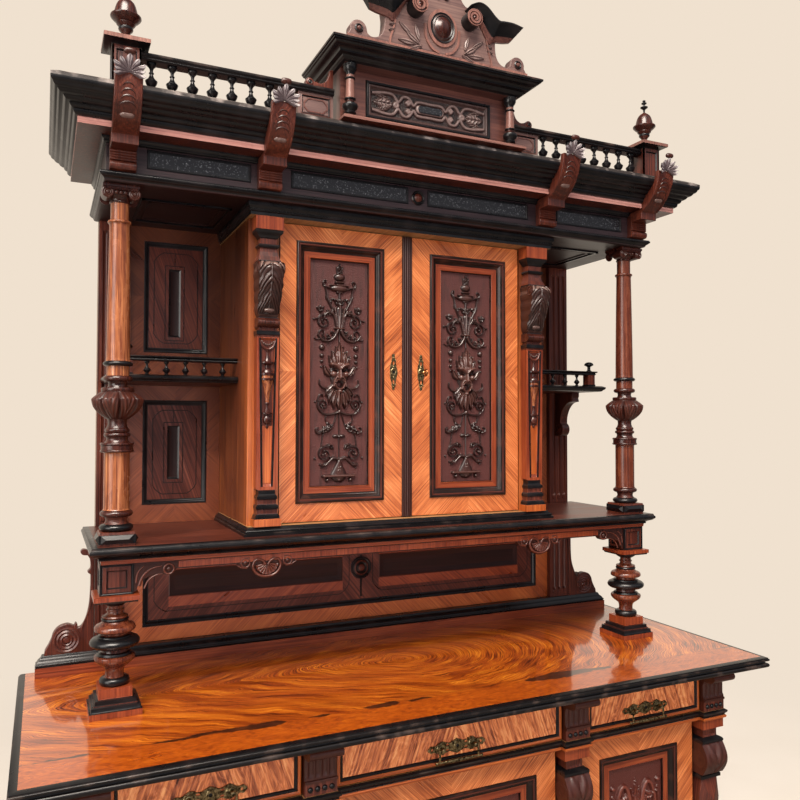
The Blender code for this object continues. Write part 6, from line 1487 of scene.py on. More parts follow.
def notched(x0, x1, z0, z1, cut, bite):
    # a rectangle whose corners step inwards round a small hollow
    out = [(x0, z0 + cut), (x0 + bite * 0.6, z0 + cut * 0.6), (x0 + cut * 0.6, z0 + bite * 0.6),
           (x0 + cut, z0)]
    out += [(x1 - cut, z0), (x1 - cut * 0.6, z0 + bite * 0.6), (x1 - bite * 0.6, z0 + cut * 0.6),
            (x1, z0 + cut)]
    out += [(x1, z1 - cut), (x1 - bite * 0.6, z1 - cut * 0.6), (x1 - cut * 0.6, z1 - bite * 0.6),
            (x1 - cut, z1)]
    out += [(x0 + cut, z1), (x0 + cut * 0.6, z1 - bite * 0.6), (x0 + bite * 0.6, z1 - cut * 0.6),
            (x0, z1 - cut)]
    return out


def squareStack(piece, cx, cy, rows):
    # square members one on another: height, half width and the finish below that height
    rings = [[(cx - h, cy - h, z), (cx + h, cy - h, z), (cx + h, cy + h, z), (cx - h, cy + h, z)] for z, h,
             _ in rows]
    piece.strips(rings, [row[2] for row in rows[1:]], closed=True)
    piece.face(rings[0][::-1], rows[0][2])
    piece.face(rings[-1], rows[-1][2])


def sunkenFrame(piece, rect, y, deep, frameWidth):
    # an ebonised frame that slopes down to a sunk field, returned with its depth
    rows = [(0.0, 0.0, "black")] + beadRow((0.0, 0.0), (0.004, 0.0005), 0.0018, "black", 4)
    rows += slopeRow((0.004, 0.0005), (frameWidth - 0.002, -deep), "black", 5)
    rows += [(frameWidth, -deep, "black")]
    return framedRect(piece, rect, y, rows)


# upper back
backSettings = {"y": 0.29, "bed": 0.2985, "pilaster": 0.635, "pilasterHalf": 0.0327, "proud": 0.015,
                "niches": ((1.3262, 1.6548, 1.370, 1.620), (1.6708, 2.0368, 1.735, 2.003)),
                "slots": ((1.429, 1.5585), (1.774, 1.940))}
low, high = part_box("upper_back")
piece = Piece("upperBack")
y, bed = backSettings["y"], backSettings["bed"]
piece.box(low.x, high.x, bed, high.y, low.z, high.z, "boards")
piece.box(-0.3825, 0.3825, y, bed, 1.326, 2.037, "boards")
piece.box(-0.668, 0.668, y, bed, 2.037, high.z, "plain")
piece.box(-0.668, 0.668, y, bed, 1.2912, 1.3258, "plain")
for sign in (-1, 1):
    for n, (z0, z1, c0, c1) in enumerate(backSettings["niches"]):
        x0, x1 = sorted((sign * 0.3826, sign * 0.602))
        a0, a1 = sorted((sign * 0.414, sign * 0.565))
        boardEdge(piece, (x0, x1, z0, z1), bed, y, "plain")
        herringbone(piece, (x0, x1, z0, z1), (a0, a1, c0, c1), y, "nicheVeneer")
        f0, f1, g0, g1, fy = sunkenFrame(piece, (a0, a1, c0, c1), y, 0.0052, 0.012)
        s0, s1 = sorted((sign * 0.4785, sign * 0.507))
        t0, t1 = backSettings["slots"][n]
        for part in ((f0, s0, g0, g1), (s1, f1, g0, g1), (s0, s1, g0, t0), (s0, s1, t1, g1)):
            l, r, b, t = part
            fillRect(piece, (l, r, b, t, fy), "redVeneer", (sign * 0.35, 0, 1))
        slot = framedRect(piece, (s0, s1, t0, t1), fy, rowsOf("black", 0, 0, 3, -2, 4.5, -2.8))
        fillRect(piece, slot, "stained", (0, 0, 1))
        ribbon(piece, notched(f0 + 0.012, f1 - 0.012, g0 + 0.012, g1 - 0.012, 0.022, 0.009), fy, 0.0022,
               0.0002, "black", True)
        cx = (s0 + s1) / 2
        ribbon(piece, [(s0 - 0.008, t0 - 0.008), (s1 + 0.008, t0 - 0.008), (s1 + 0.008, t1 + 0.008),
                       (s0 - 0.008, t1 + 0.008)], fy, 0.0020, 0.0002, "black", True)
        for z in (g0 + 0.012, g1 - 0.012):
            inner = t0 - 0.008 if z < t0 else t1 + 0.008
            ribbon(piece, [(cx, min(z, inner)), (cx, max(z, inner))], fy, 0.0020, 0.0002, "black")
    # fluted pilasters in two lengths
    for z0, z1 in ((1.0456, 1.2907), (1.3263, 2.0367)):
        middle, half = sign * backSettings["pilaster"], backSettings["pilasterHalf"]
        face = y - backSettings["proud"]

        def fluted(u, z):
            across = u * half
            lane = min((-0.018, 0.0, 0.018), key=lambda c: abs(across - c))
            off = abs(across - lane)
            end = min(z - z0 - 0.022, z1 - 0.022 - z)
            if off < 0.0052 and end > 0:
                return face + 0.0052 * math.sqrt(1 - (off / 0.0052) ** 2) * min(1, end / 0.005)
            if off < 0.0042 and -0.010 < end <= 0 and z < z0 + 0.03:
                return face - 0.0022
            return face

        marks = [(z0,), (z0 + 0.0115,), (z0 + 0.013,), (z0 + 0.0215,), (z0 + 0.0225,), (z0 + 0.027,),
                 (z1 - 0.027,), (z1 - 0.0225,), (z1 - 0.0215,), (z1,)]
        reliefBlock(piece, middle, levelsOf(marks, 0.06), lambda z: half, fluted, bed, "redVeneer", 58)
# splash panel
outer, inner = (-0.602, 0.602, 1.0456, 1.2907), (-0.561, 0.561, 1.080, 1.2755)
boardEdge(piece, outer, bed, y, "plain")
herringbone(piece, outer, inner, y, "splashVeneer")
f0, f1, g0, g1, fy = sunkenFrame(piece, inner, y, 0.0058, 0.014)
cells = []
for sign in (-1, 1):
    s0, s1 = sorted((sign * 0.052, sign * 0.500))
    cells.append((s0, s1))
spans = [(f0, cells[0][0], g0, g1), (cells[0][1], cells[1][0], g0, g1), (cells[1][1], f1, g0, g1)]
for s0, s1 in cells:
    spans += [(s0, s1, g0, 1.146), (s0, s1, 1.210, g1)]
for l, r, b, t in spans:
    lean = (0.8 if (l + r) / 2 < 0 else -0.8, 0, 1)
    piece.face([(l, fy, b), (r, fy, b), (r, fy, t), (l, fy, t)], "redVeneer", lean)
for s0, s1 in cells:
    # a band of lighter stripes lies round each sunk rectangle
    for b, t in ((1.1215, 1.1455), (1.2105, 1.2355)):
        piece.face([(s0, fy - 0.0002, b), (s1, fy - 0.0002, b), (s1, fy - 0.0002, t), (s0, fy - 0.0002, t)],
                   "redStrip", (1.2 if s0 < 0 else -1.2, 0, 1))
for s0, s1 in cells:
    slot = framedRect(piece, (s0, s1, 1.146, 1.210), fy, rowsOf("black", 0, 0, "redVeneer", 2, 1.2,
        "stained", 14, -2.4, 15.5, -2.6))
    fillRect(piece, slot, "stained", (1, 0, 0))
for sign in (-1, 1):
    a0, a1 = sorted((sign * 0.034, sign * 0.534))
    ribbon(piece, notched(a0, a1, 1.112, 1.245, 0.026, 0.010), fy, 0.0022, 0.0003, "black", True)
ribbon(piece, [(0, 1.100), (0, 1.150)], fy, 0.006, 0.0006, "black")
ribbon(piece, [(0, 1.205), (0, 1.256)], fy, 0.006, 0.0006, "black")
boss = rowsOf("redVeneer", 30, -1, 30, 1.5, "black", 26.5, 3, 23, 1.2, 20, 3, "redVeneer", 16.5, 5.2,
              "black", 12.5, 3, 8.5, 5, "redVeneer", 5, 7.8, 1.2, 8.6)
turn(piece, (0, fy, 1.1775), boss, 40, axis="y")
piece.done("carcass", "upper_back")

# back plinth with its scrolled ears
plinthSettings = {"earThick": 0.018}
low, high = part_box("back_plinth")
piece = Piece("backPlinth")
slab = oblong(low.x + 0.014, high.x - 0.014, low.y + 0.014, high.y)
rows = rowsOf("redStrip", 14, 0, 14, 22.5, "black", 11, 23.8)
rows += roundRows((0.0105, 0.0240), (0.0105, 0.0295), 0.0026, "black")
rows += ogeeRows((0.0100, 0.0300), (0.0015, 0.0420), "black")
rows += [(0.0, 0.0447, "black")]
mouldedSlab(piece, slab, rows, low.z, plain=(3,), top="black", bottom="oak")
ear = [(0.6686, 1.044), (0.772, 1.044), (0.770, 1.056)]
ear += smoothLine(pairsOf(770, 1056, 764, 1066, 757.5, 1080, 753, 1094, 742, 1106, 724.5, 1110.5, 710.5,
                          1105), 5)[1:]
ear += smoothLine(pairsOf(710.5, 1105, 707.5, 1111, 703.5, 1107.5, 703, 1100), 3)[1:]
ear += smoothLine(pairsOf(703, 1100, 695, 1103, 686, 1120, 679.5, 1150, 677, 1190, 677, 1218), 5)[1:]
ear += smoothLine(pairsOf(677, 1218, 683.5, 1224.5, 677.5, 1233, 678.5, 1252, 684, 1262), 4)[1:]
ear += smoothLine(pairsOf(684, 1262, 694, 1263.5, 699, 1270.5, 694, 1276.5, 684, 1274.5), 4)[1:]
ear += [(0.6686, 1.2735)]
for sign in (-1, 1):
    points = [(sign * x, z) for x, z in ear]
    place = Matrix.Translation((0, y - plinthSettings["earThick"] / 2 - 0.0003, 0)) @ standXZ
    piece.mesh(shapeMesh([points], plinthSettings["earThick"], 0.0016), "redVeneer", (0, 0, 1), place)
    eye = rowsOf("redVeneer", 28.5, -2, 28.5, 1.4, 25.5, 2.4, 22, 0.4, 18.5, 2.6, 14.5, 0.4, 11, 2.8, 7.8,
                 0.8, 5.5, 3.6, 0.8, 4.4)
    turn(piece, (sign * 0.7255, y - plinthSettings["earThick"], 1.0745), eye, 36, axis="y")
    ribbon(piece, smoothLine([(sign * 0.698, 1.078), (sign * 0.694, 1.100), (sign * 0.6765, 1.150),
                              (sign * 0.6735, 1.215)]),
           y - plinthSettings["earThick"] - 0.0003, 0.0024, 0.0016, "redVeneer")
piece.done("carcass", "back_plinth")
print("upper back and plinth made")

# balusters on the worktop
balusterSettings = {"x": 0.646, "y": -0.004}
footRows = rowsOf("redStrip", 0, 48.5, 11.8, 48.5, "black", 13, 45.5, 13.7, 45, 21.2, 44.5, 22.2, 40.2,
                  "redVeneer", 24, 40, "black", 24.6, 37.8, 31.8, 37.2, 32.6, 31.6, "redStrip", 33.2, 31,
                  51.5, 31)
# turned part, radius and height in mm, in runs of one finish
swellRuns = (
    ("black", (24, 51.4), (26.5, 53), (28.3, 56.5), (28.5, 60), (27.4, 63.5), (24.5, 66), (20, 67)),
    ("deepTurned", (18.4, 67.6), (17.6, 72), (17.7, 78), (18.8, 83), (22, 87), (28, 91.5), (34, 96),
     (37.8, 100.5), (39, 104.7), (38, 108.4), (34.6, 110.4)),
    ("black", (32.2, 110.8), (31.7, 112.5), (30.6, 114.6), (27.5, 115.6)), ("darkTurned", (25.6, 116.6),
        (25, 119), (25, 123)),
    ("black", (33, 124), (41, 126.4), (45.6, 129.6), (47.5, 134), (46.6, 138), (43, 141.8), (37, 144.6),
     (32.5, 145.4), (32, 147.6), (28, 149)),
    ("deepTurned", (25.2, 150), (25, 155.4), (36, 156), (38.6, 158), (39.2, 161), (38.2, 164.6),
     (36, 167.6), (33.2, 168.4), (29, 170.5), (25.5, 173), (23.4, 176)),
    ("black", (25, 176.6), (26, 179), (25, 181), (23.4, 181.4)), ("deepTurned", (24.2, 182), (24.8, 184),
        (23.6, 186), (19, 187),
     (15.6, 189.5), (14.2, 194.4), (16.4, 195.4), (17, 197), (16.4, 198.6), (14.2, 199.4), (14, 205.6)),
    ("black", (16.5, 206), (20, 208), (25, 211.5), (28.4, 215), (29, 217)))
swell = [(r / 1000, h / 1000, finish) for finish, *run in swellRuns for r, h in run]
for side, sign in (("left", -1), ("right", 1)):
    low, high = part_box(f"baluster_{side}")
    cx, cy = sign * balusterSettings["x"], balusterSettings["y"]
    piece = Piece(f"turnedBaluster_{side}")
    squareStack(piece, cx, cy, [(low.z + z, h, f) for z, h, f in footRows])
    turn(piece, (cx, cy, low.z), swell, 48)
    top = high.z - 0.074
    squareStack(piece, cx, cy, [(top, 0.0385, "black"), (top + 0.0035, 0.0400, "black"),
        (top + 0.0042, 0.0425, "redStrip"),
                                (top + 0.0130, 0.0425, "redStrip"), (top + 0.0138, 0.0400, "redStrip")])
    face = 0.0312
    squareStack(piece, cx, cy, [(top + 0.0138, face - 0.004, "redVeneer"),
        (high.z, face - 0.004, "redVeneer")])
    fourFrames(piece, cx, cy, (-face, face, top + 0.0138, high.z), -face + 0.004, rowsOf(
        "black", 0, 0, 0, 4, 2.2, 4.6, 4, 3, 5, 3.4, "redVeneer", 5.6, 4.2, 12.2, 4.2, "black", 13.2, 2.8,
        14.6, 0))
    piece.done("carcass", f"baluster_{side}")

# middle shelf and the cupboard's base moulding
low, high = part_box("mid_shelf")
piece = Piece("middleShelf")
slab = oblong(low.x + 0.026, high.x - 0.026, low.y + 0.026, high.y)
rows = rowsOf("redStrip", 0, 0, 3.5, 0.4, 4.5, 7.8, "black", 6, 8.4)
rows += roundRows((0.0060, 0.0084), (0.0075, 0.0118), 0.0018, "black", 4)
rows += ogeeRows((0.0080, 0.0122), (0.0225, 0.0215), "black", 8) + [(0.0235, 0.0220, "black")]
rows += roundRows((0.0235, 0.0222), (0.0235, 0.0300), 0.0024, "black")
rows += rowsOf("black", 23, 31, "wornBlack", 22.2, 34, "black", 20.5, 35, 10, 35)
mouldedSlab(piece, slab, rows, low.z, plain=(3,), top="redVeneer", bottom="oak")
rows = rowsOf("black", 12, -1, 12, 5.5, "wornBlack", 9.5, 6.5, "black", 8.5, 7)
rows += roundRows((0.0065, 0.0072), (0.0065, 0.0125), 0.0025, "black")
rows += ogeeRows((0.006, 0.0128), (0.002, 0.0170), "black", 5)
rows += [(0.002, 0.0190, "black")]
mouldedSlab(piece, oblong(-0.3825, 0.3825, -0.015, high.y), rows, 1.326, plain=(3,), top="oakShelf",
            bottom="oakShelf")
piece.done("carcass", "mid_shelf")


def shell(piece, cx, cz, radius, y, start, end, ribs, rise, finish):
    # a scallop: ribs fan out from its hinge and the rim turns over
    rows, depth = [], []
    for i in range(11):
        r = radius * i / 10
        row = []
        for k in range(ribs * 6 + 1):
            t = k / (ribs * 6)
            a = math.radians(start + (end - start) * t)
            wave = abs(math.sin(math.pi * ribs * t))
            edge = r * (1 + 0.05 * wave * (i / 10) ** 2)
            dish = math.sin(math.pi * min(1, i / 10 * 0.93)) ** 0.6
            lift = rise * (dish * (0.62 + 0.38 * wave) + (0.35 if i == 9 else 0.0))
            if i == 10:
                lift = 0.0
            row.append((cx + edge * math.cos(a), y - lift, cz + edge * math.sin(a)))
            depth.append(min(1, 0.2 + lift / rise * 0.75))
        rows.append(row)
    piece.strips(rows, finish, depth=depth)


# carved apron: rail, shells with small volutes, and quarter arches with rosettes
apronSettings = {"front": -0.032, "thick": 0.016, "shellX": 0.3476}
low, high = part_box("apron")
piece = Piece("carvedApron")
top, half = high.z, high.x
sx = apronSettings["shellX"]
drop = [(0.0, -0.018), (sx - 0.064, -0.018)] + smoothLine([(sx - 0.064, -0.018), (sx - 0.056, -0.0275),
    (sx - 0.044, -0.0270), (sx - 0.034, -0.0255), (sx - 0.0285, -0.024)], 4)[1:]
drop += [(sx + 0.0285 * math.cos(math.radians(a)), -0.024 + 0.0285 * math.sin(math.radians(a)))
         for a in range(195, 346, 10)]
drop += smoothLine([(sx + 0.0285, -0.024), (sx + 0.034, -0.0255), (sx + 0.044, -0.0270),
                    (sx + 0.056, -0.0275), (sx + 0.064, -0.018)], 4)
drop += [(half - 0.084, -0.018)] + smoothLine([(half - 0.084, -0.018), (half - 0.077, -0.0265),
    (half - 0.066, -0.0290), (half - 0.054, -0.0262)], 4)[1:]
drop += [(half - 0.008 - 0.042 * (1 - math.sin(math.radians(a))),
          -0.0560 + 0.0295 * math.cos(math.radians(a)))
         for a in range(5, 91, 12)]
drop += [(half - 0.006, -0.0575), (half, -0.0580), (half, 0.0)]
outline = [(x, top + z) for x, z in drop] + [(-x, top + z) for x, z in reversed(drop[1:])]
place = Matrix.Translation((0, apronSettings["front"] + apronSettings["thick"] / 2, 0)) @ standXZ
piece.mesh(shapeMesh([outline], apronSettings["thick"], 0.0012), "darkCarved", place=place)
front = apronSettings["front"]
ribbon(piece, [(-half + 0.088, top - 0.0085), (half - 0.088, top - 0.0085)], front, 0.0125, 0.0022,
       "redStrip")
scroll = [(2.5, -23), (6, -17.5), (11, -13), (17.5, -11), (24, -12.5), (28.4, -18), (29.6, -26), (27, -34),
          (21, -41), (11.5, -45.8)]
for sign in (-1, 1):
    cx = sign * sx
    shell(piece, cx, top - 0.0195, 0.0255, front, 188, 352, 9, 0.0052, "darkCarved")
    rim = [(x / 1000, z / 1000) for x, z in scroll]
    rim = rim + [(0.0, -0.0472)] + [(-x, z) for x, z in reversed(rim)]
    cord(piece, smoothLine([(cx + x, top + z) for x, z in rim], 4), front, 0.0066, 0.0052, "darkCarved")
    ballsAt(piece, [(cx + 0.0228 * math.cos(a), front - 0.0012, top - 0.0205 + 0.0218 * math.sin(a))
                    for a in np.linspace(math.radians(202), math.radians(338), 9)], 0.0024, "leaf")
    for off in (-0.0455, 0.0455):
        ring = arcPoints(cx + off, top - 0.0170, 0.0092, 60, 420, 24)
        cord(piece, ring, front, 0.0044, 0.0034, "darkCarved")
        ballsAt(piece, [(cx + off, front, top - 0.0170)], 0.0050, "darkCarved")
        way = math.copysign(1, off)
        cord(piece, smoothLine([(cx + off - way * 0.009, top - 0.0075),
                                (cx + off + way * 0.004, top - 0.0060),
                                (cx + off + way * 0.015, top - 0.0110),
                                (cx + off + way * 0.021, top - 0.0175)], 4), front, (0.0056, 0.0022),
                                0.0034, "darkCarved")
        cord(piece, smoothLine([(cx + off - way * 0.004, top - 0.0275),
                                (cx + off + way * 0.008, top - 0.0262),
                                (cx + off + way * 0.019, top - 0.0200)], 4),
             front, (0.0050, 0.0020), 0.0034, "darkCarved")
    archX = sign * (half - 0.069)
    cord(piece, arcPoints(archX, top - 0.0165, 0.0098, 60, 420, 24), front, 0.0048, 0.0036, "darkCarved")
    ballsAt(piece, [(archX, front, top - 0.0165)], 0.0054, "darkCarved")
    for line, width in ((pairsOf(12, 46, 20, 27, 36, 14, 55, 10), (0.0064, 0.0030)),
                        ([(0.006, 0.040), (0.010, 0.020), (0.022, 0.007)], (0.0056, 0.0026)),
                        (pairsOf(22, 52, 30, 36, 44, 27, 57, 26), (0.0044, 0.0024))):
        cord(piece, smoothLine([(sign * (half - x), top - z) for x, z in line], 5), front, width, 0.0034,
             "darkCarved")
piece.done("carcass", "apron")
print("balusters, shelf and apron made")

# turned columns: nail-head plinth, orange drum, dark collars, carved bulb, tapering shaft, Ionic capital
columnSettings = {"x": 0.646, "y": -0.004, "plinth": 0.026, "capital": 0.018, "leaves": 8}
lowMembers = [torus(0.0145, 0.0214, 0.0110, "black"), cove(0.0135, 0.0235, 0.0225, 0.003, "plain"),
              torus(0.0135, 0.0214, 0.0100, "darkTurned"), cove(0.004, 0.0262, 0.0250, 0.0006, "turned"),
              drum(0.106, 0.0246, "turned"), cove(0.004, 0.0246, 0.0262, 0.0006, "turned"),
              torus(0.0055, 0.0290, 0.0034, "darkTurned"), drum(0.008, 0.0305, "darkTurned"),
              torus(0.0055, 0.0290, 0.0034, "darkTurned"), cove(0.011, 0.0240, 0.0214, 0.002, "darkTurned"),
              torus(0.009, 0.0205, 0.0050, "darkTurned"), torus(0.009, 0.0200, 0.0034, "darkTurned"),
              cove(0.017, 0.0205, 0.0186, 0.0018, "darkTurned")]
bulbMember = bulb(0.055, 0.0186, 0.0475, 0.0312, 0.74, "darkCarved", 16)
midMembers = [torus(0.008, 0.0300, 0.0014, "darkTurned"), cove(0.012, 0.0200, 0.0190, 0.002, "darkTurned"),
              torus(0.012, 0.0215, 0.0066, "darkTurned"), drum(0.019, 0.0215, "turned"),
              torus(0.010, 0.0215, 0.0071, "black")]
topMembers = [cove(0.004, 0.0192, 0.0200, 0.0, "turned"), torus(0.007, 0.0190, 0.0040, "turned"),
              drum(0.034, 0.0176, "turned"), torus(0.004, 0.0178, 0.0022, "darkTurned"),
              cove(0.010, 0.0182, 0.0235, 0.001, "darkTurned")]


def tallOf(members):
    return sum(member[-1][1] for member in members)


for side, sign in (("left", -1), ("right", 1)):
    low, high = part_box(f"column_{side}")
    cx, cy = sign * columnSettings["x"], columnSettings["y"]
    piece = Piece(f"turnedColumn_{side}")
    shade = {"turned": "deepTurned"} if sign > 0 else {}       # the right column takes the darker turned finish

    def spin(level, rows, sides=48, carve=None):
        turn(piece, (cx, cy, level), [(r, h, shade.get(f, f)) for r, h, f in rows], sides, carve)

    base = low.z
    plinthTop = base + columnSettings["plinth"]
    squareStack(piece, cx, cy, [(base, 0.0330, "redVeneer"), (base + 0.0040, 0.0330, "redVeneer"),
        (base + 0.0045, 0.0345, "black"),
                                (base + 0.0215, 0.0345, "black"), (base + 0.0220, 0.0330, "redVeneer"),
                                (plinthTop, 0.0320, "redVeneer")])
    for turnBy in range(4):
        # a long nail head on each face
        turned = Matrix.Translation((cx, cy, base + 0.013)) @ Matrix.Rotation(math.pi / 2 * turnBy, 4, "Z")
        p = [(-0.030, -0.0344, -0.0078), (0.030, -0.0344, -0.0078), (0.030, -0.0344, 0.0078),
             (-0.030, -0.0344, 0.0078), (-0.021, -0.0400, 0.0), (0.021, -0.0400, 0.0)]
        piece.add([turned @ Vector(q) for q in p], [[0, 1, 5, 4], [1, 2, 5], [2, 3, 4, 5], [3, 0, 4]],
                  "black")
    spin(plinthTop, turnedRows(lowMembers))
    level = plinthTop + tallOf(lowMembers)

    def bulbLeaves(a, h, n):
        # leaves parted by deep grooves, with veins that fan out towards the rim
        share = min(1, h / 0.055)
        turnShare = abs((a / (2 * math.pi) * columnSettings["leaves"]) % 1 - 0.5)
        groove = math.exp(-((0.5 - turnShare) / 0.07) ** 2)
        veins = math.cos(2 * math.pi * (4.4 * turnShare - 1.5 * share))
        return math.sin(math.pi * share) ** 0.6 * (0.0014 + 0.0011 * veins * (1 - groove) - 0.0056 * groove)

    spin(level, bulbMember, 192, bulbLeaves)
    level += 0.055
    spin(level, turnedRows(midMembers))
    level += tallOf(midMembers)
    top = high.z - columnSettings["capital"]
    shaft = rowsOf("turned", 23.6, 0, 23, 3, 22.8, 8)
    length = top - tallOf(topMembers) - level
    shaft += [(0.0228 - 0.0036 * (k / 8) ** 1.3, 0.008 + (length - 0.008) * k / 8, "turned")
              for k in range(1, 9)]
    spin(level, shaft)
    spin(level + length, turnedRows(topMembers))
    squareStack(piece, cx, cy, [(top, 0.0255, "darkCarved"), (top + 0.0070, 0.0265, "darkCarved"),
        (top + 0.0075, 0.0320, "darkTurned"),
                                (top + 0.0120, 0.0330, "darkTurned"), (top + 0.0125, 0.0345, "darkTurned"),
                                (high.z, 0.0345, "darkTurned")])
    for dx in (-0.0255, 0.0255):
        for dy, flip in ((-0.029, 1), (0.029, -1)):
            scroll = [(0.0112, -0.030 if flip > 0 else -0.001, "darkCarved"),
                      (0.0112, 0.0008, "darkCarved"), (0.0092, 0.0018, "darkCarved"),
                      (0.0076, 0.0004, "darkCarved"), (0.0056, 0.0018, "darkCarved"),
                      (0.0040, 0.0006, "darkCarved"),
                      (0.0026, 0.0024, "darkCarved"), (0.0004, 0.0028, "darkCarved")]
            turn(piece, (cx + dx, cy + dy, top + 0.0015), facing(scroll, flip), 28, axis="y")
    for k in (-1, 0, 1):
        ballsAt(piece, [(cx + k * 0.0085, cy - 0.0262, top + 0.0035)], 0.0042, "darkCarved")
    piece.done("carcass", f"column_{side}")

# cupboard pilasters: stepped base, tapered term with festoon and drop, roll, acanthus corbel, panelled
# neck, cap
pilasterSettings = {"face": -0.015, "half": 0.0278, "inset": 0.0305, "stile": 0.0055}
for side, sign in (("left", -1), ("right", 1)):
    low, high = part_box(f"cupboard_pilaster_{side}")
    piece = Piece(f"cupboardPilaster_{side}")
    # the ornament stands on a flat stile, close to the door
    middle = (high.x if sign < 0 else low.x) + sign * pilasterSettings["inset"]
    half, face = pilasterSettings["half"], pilasterSettings["face"]
    foot, top = low.z, high.z
    piece.box(low.x, high.x, pilasterSettings["stile"], high.y, foot, top, "stile")
    term = top - 0.255
    corbel = term + 0.044
    shape = [(foot, half + 0.0020, 0.008, "strip"), (foot + 0.0150, half + 0.0020, 0.008, "strip"),
             (foot + 0.0160, half + 0.0015, 0.0075, "strip")]
    for step in range(3):
        level = foot + 0.0165 + step * 0.0205
        shape += [(level + 0.0008, half - 0.0015 - 0.002 * step, 0.0075 - 0.0015 * step, "black"),
                  (level + 0.0060, half - 0.0015 - 0.002 * step, 0.0075 - 0.0015 * step, "black"),
                  (level + 0.0095, half - 0.0050 - 0.002 * step, 0.0035 - 0.0015 * step, "black"),
                  (level + 0.0110, half - 0.0056 - 0.002 * step, 0.0030 - 0.0015 * step,
                   "redVeneer" if step < 2 else "black"),
                  (level + 0.0195, half - 0.0056 - 0.002 * step, 0.0030 - 0.0015 * step,
                   "redVeneer" if step < 2 else "black")]
    shape += [(foot + 0.080, half - 0.0042, 0.0, "redStrip"), (term - 0.004, half - 0.0036, 0.004,
        "redStrip"),
              (term, half - 0.0034, 0.0045, "redVeneer"), (term + 0.0015, half - 0.0022, 0.0065, "black"),
              (term + 0.0090, half - 0.0022, 0.0065, "black"), (term + 0.0105, half - 0.0080, 0.0, "black"),
              (term + 0.0165, half - 0.0080, 0.0, "redVeneer")]
    shape += [(term + 0.0170 + 0.020 * i / 8, half - 0.004, 0.004 + 0.009 * math.sin(math.pi * i / 8),
               "darkTurned") for i in range(9)]
    shape += [(corbel - 0.005, half - 0.0085, 0.0035, "black"), (corbel, half - 0.0055, 0.007, "leaf")]
    for i in range(1, 23):
        # lobed outline of the corbel's leaf, wider and further out towards its top
        t = i / 22
        lobe = abs(math.sin(math.pi * 4.5 * t))
        shape.append((corbel + 0.111 * t, half - 0.0035 + 0.0035 * t ** 0.8 - 0.0022 * (1 - lobe),
                      0.008 + 0.0325 * math.sin(math.pi * 0.5 * t) - 0.012 * max(0, t - 0.9) / 0.1, "leaf"))
    # waisted neck, bead, second neck, ogee and cap block: mm below the top, narrower by, out by, finish
    shape += [(top - down / 1000, half - narrow / 1000, out / 1000, finish) for down, narrow, out,
              finish in (
        (98, 3, 14, "black"), (95, 3.2, 13.5, "black"), (91, 3.8, 11.5, "redVeneer"),
        (84, 6.4, 8, "redVeneer"), (75, 8.8, 5, "redVeneer"),
        (66.6, 9.4, 4, "redVeneer"), (66, 6.4, 8, "black"), (62.5, 4.8, 10.5, "black"),
        (59, 6.4, 8, "black"), (58.4, 9.8, 3, "black"),
        (46, 9.8, 3, "redVeneer"), (45, 8, 5, "black"), (40, 4, 7.5, "black"), (34, -1.6, 13, "black"),
        (28.5, -2.6, 15.5, "black"), (28, -2.6, 16, "redStrip"), (0, -2.6, 15.5, "redStrip"))]
    outs = [(row[0], row[2]) for row in shape]
    wides = [(row[0], row[1]) for row in shape]

    def leaflets(u, z):
        # height of the acanthus over the corbel, 0 to 1: it hangs, and its leaflets sweep outwards and down
        run = (z - corbel) / 0.111
        fall = (0.06 + 0.12 * run + 0.45 * (1 - run)) * abs(u) ** 0.9 - 0.05 * run * math.sin(math.pi
            * abs(u))
        phase = (9.5 * (run + fall)) % 1
        fan = math.sin(math.pi * phase ** 0.6) ** 0.8
        tiers = 0.64 + 0.36 * math.cos(6 * math.pi * (run + 0.55 * fall))
        return fan * tiers * (1 - 0.85 * math.exp(-(u / 0.10) ** 2)) + 0.7 * math.exp(-(u / 0.06) ** 2)

    def lineAt(z):
        # the two black lines draw together towards the foot
        return 0.0112 + 0.0066 * (z - foot - 0.084) / (term - foot - 0.090)

    def pilasterFace(u, z):
        out = between(z, outs)
        if corbel < z < corbel + 0.111:
            run = (z - corbel) / 0.111
            out += (0.0034 + 0.0022 * run) * leaflets(u, z) - 0.0034 - 0.0045 * abs(u) ** 3
        elif foot + 0.084 < z < term - 0.006:
            # a sunk field between two black lines
            room = lineAt(z) / between(z, wides) - 0.06
            if abs(u) < room:
                ends = min(1, (z - foot - 0.084) / 0.006) * min(1, (term - 0.006 - z) / 0.004)
                out -= 0.0042 * min(1, (room - abs(u)) / 0.06) * ends
        return face - out

    def pilasterFinish(z):
        found = "redVeneer"
        for row in shape:
            if row[0] >= z:
                found = row[3]
                break
        return found

    reliefBlock(piece, middle, levelsOf(shape, 0.0013), lambda z: between(z, wides), pilasterFace, high.y,
                pilasterFinish, 44,
                # the corbel's leaf takes the lighter colour more towards its top: a painted highlight where
                # light falls from above
                lambda u, z: min(1, leaflets(u, z) * (0.1 + 0.9 * ((z - corbel) / 0.111) ** 2))
                if corbel < z < corbel + 0.112 else 0.5)
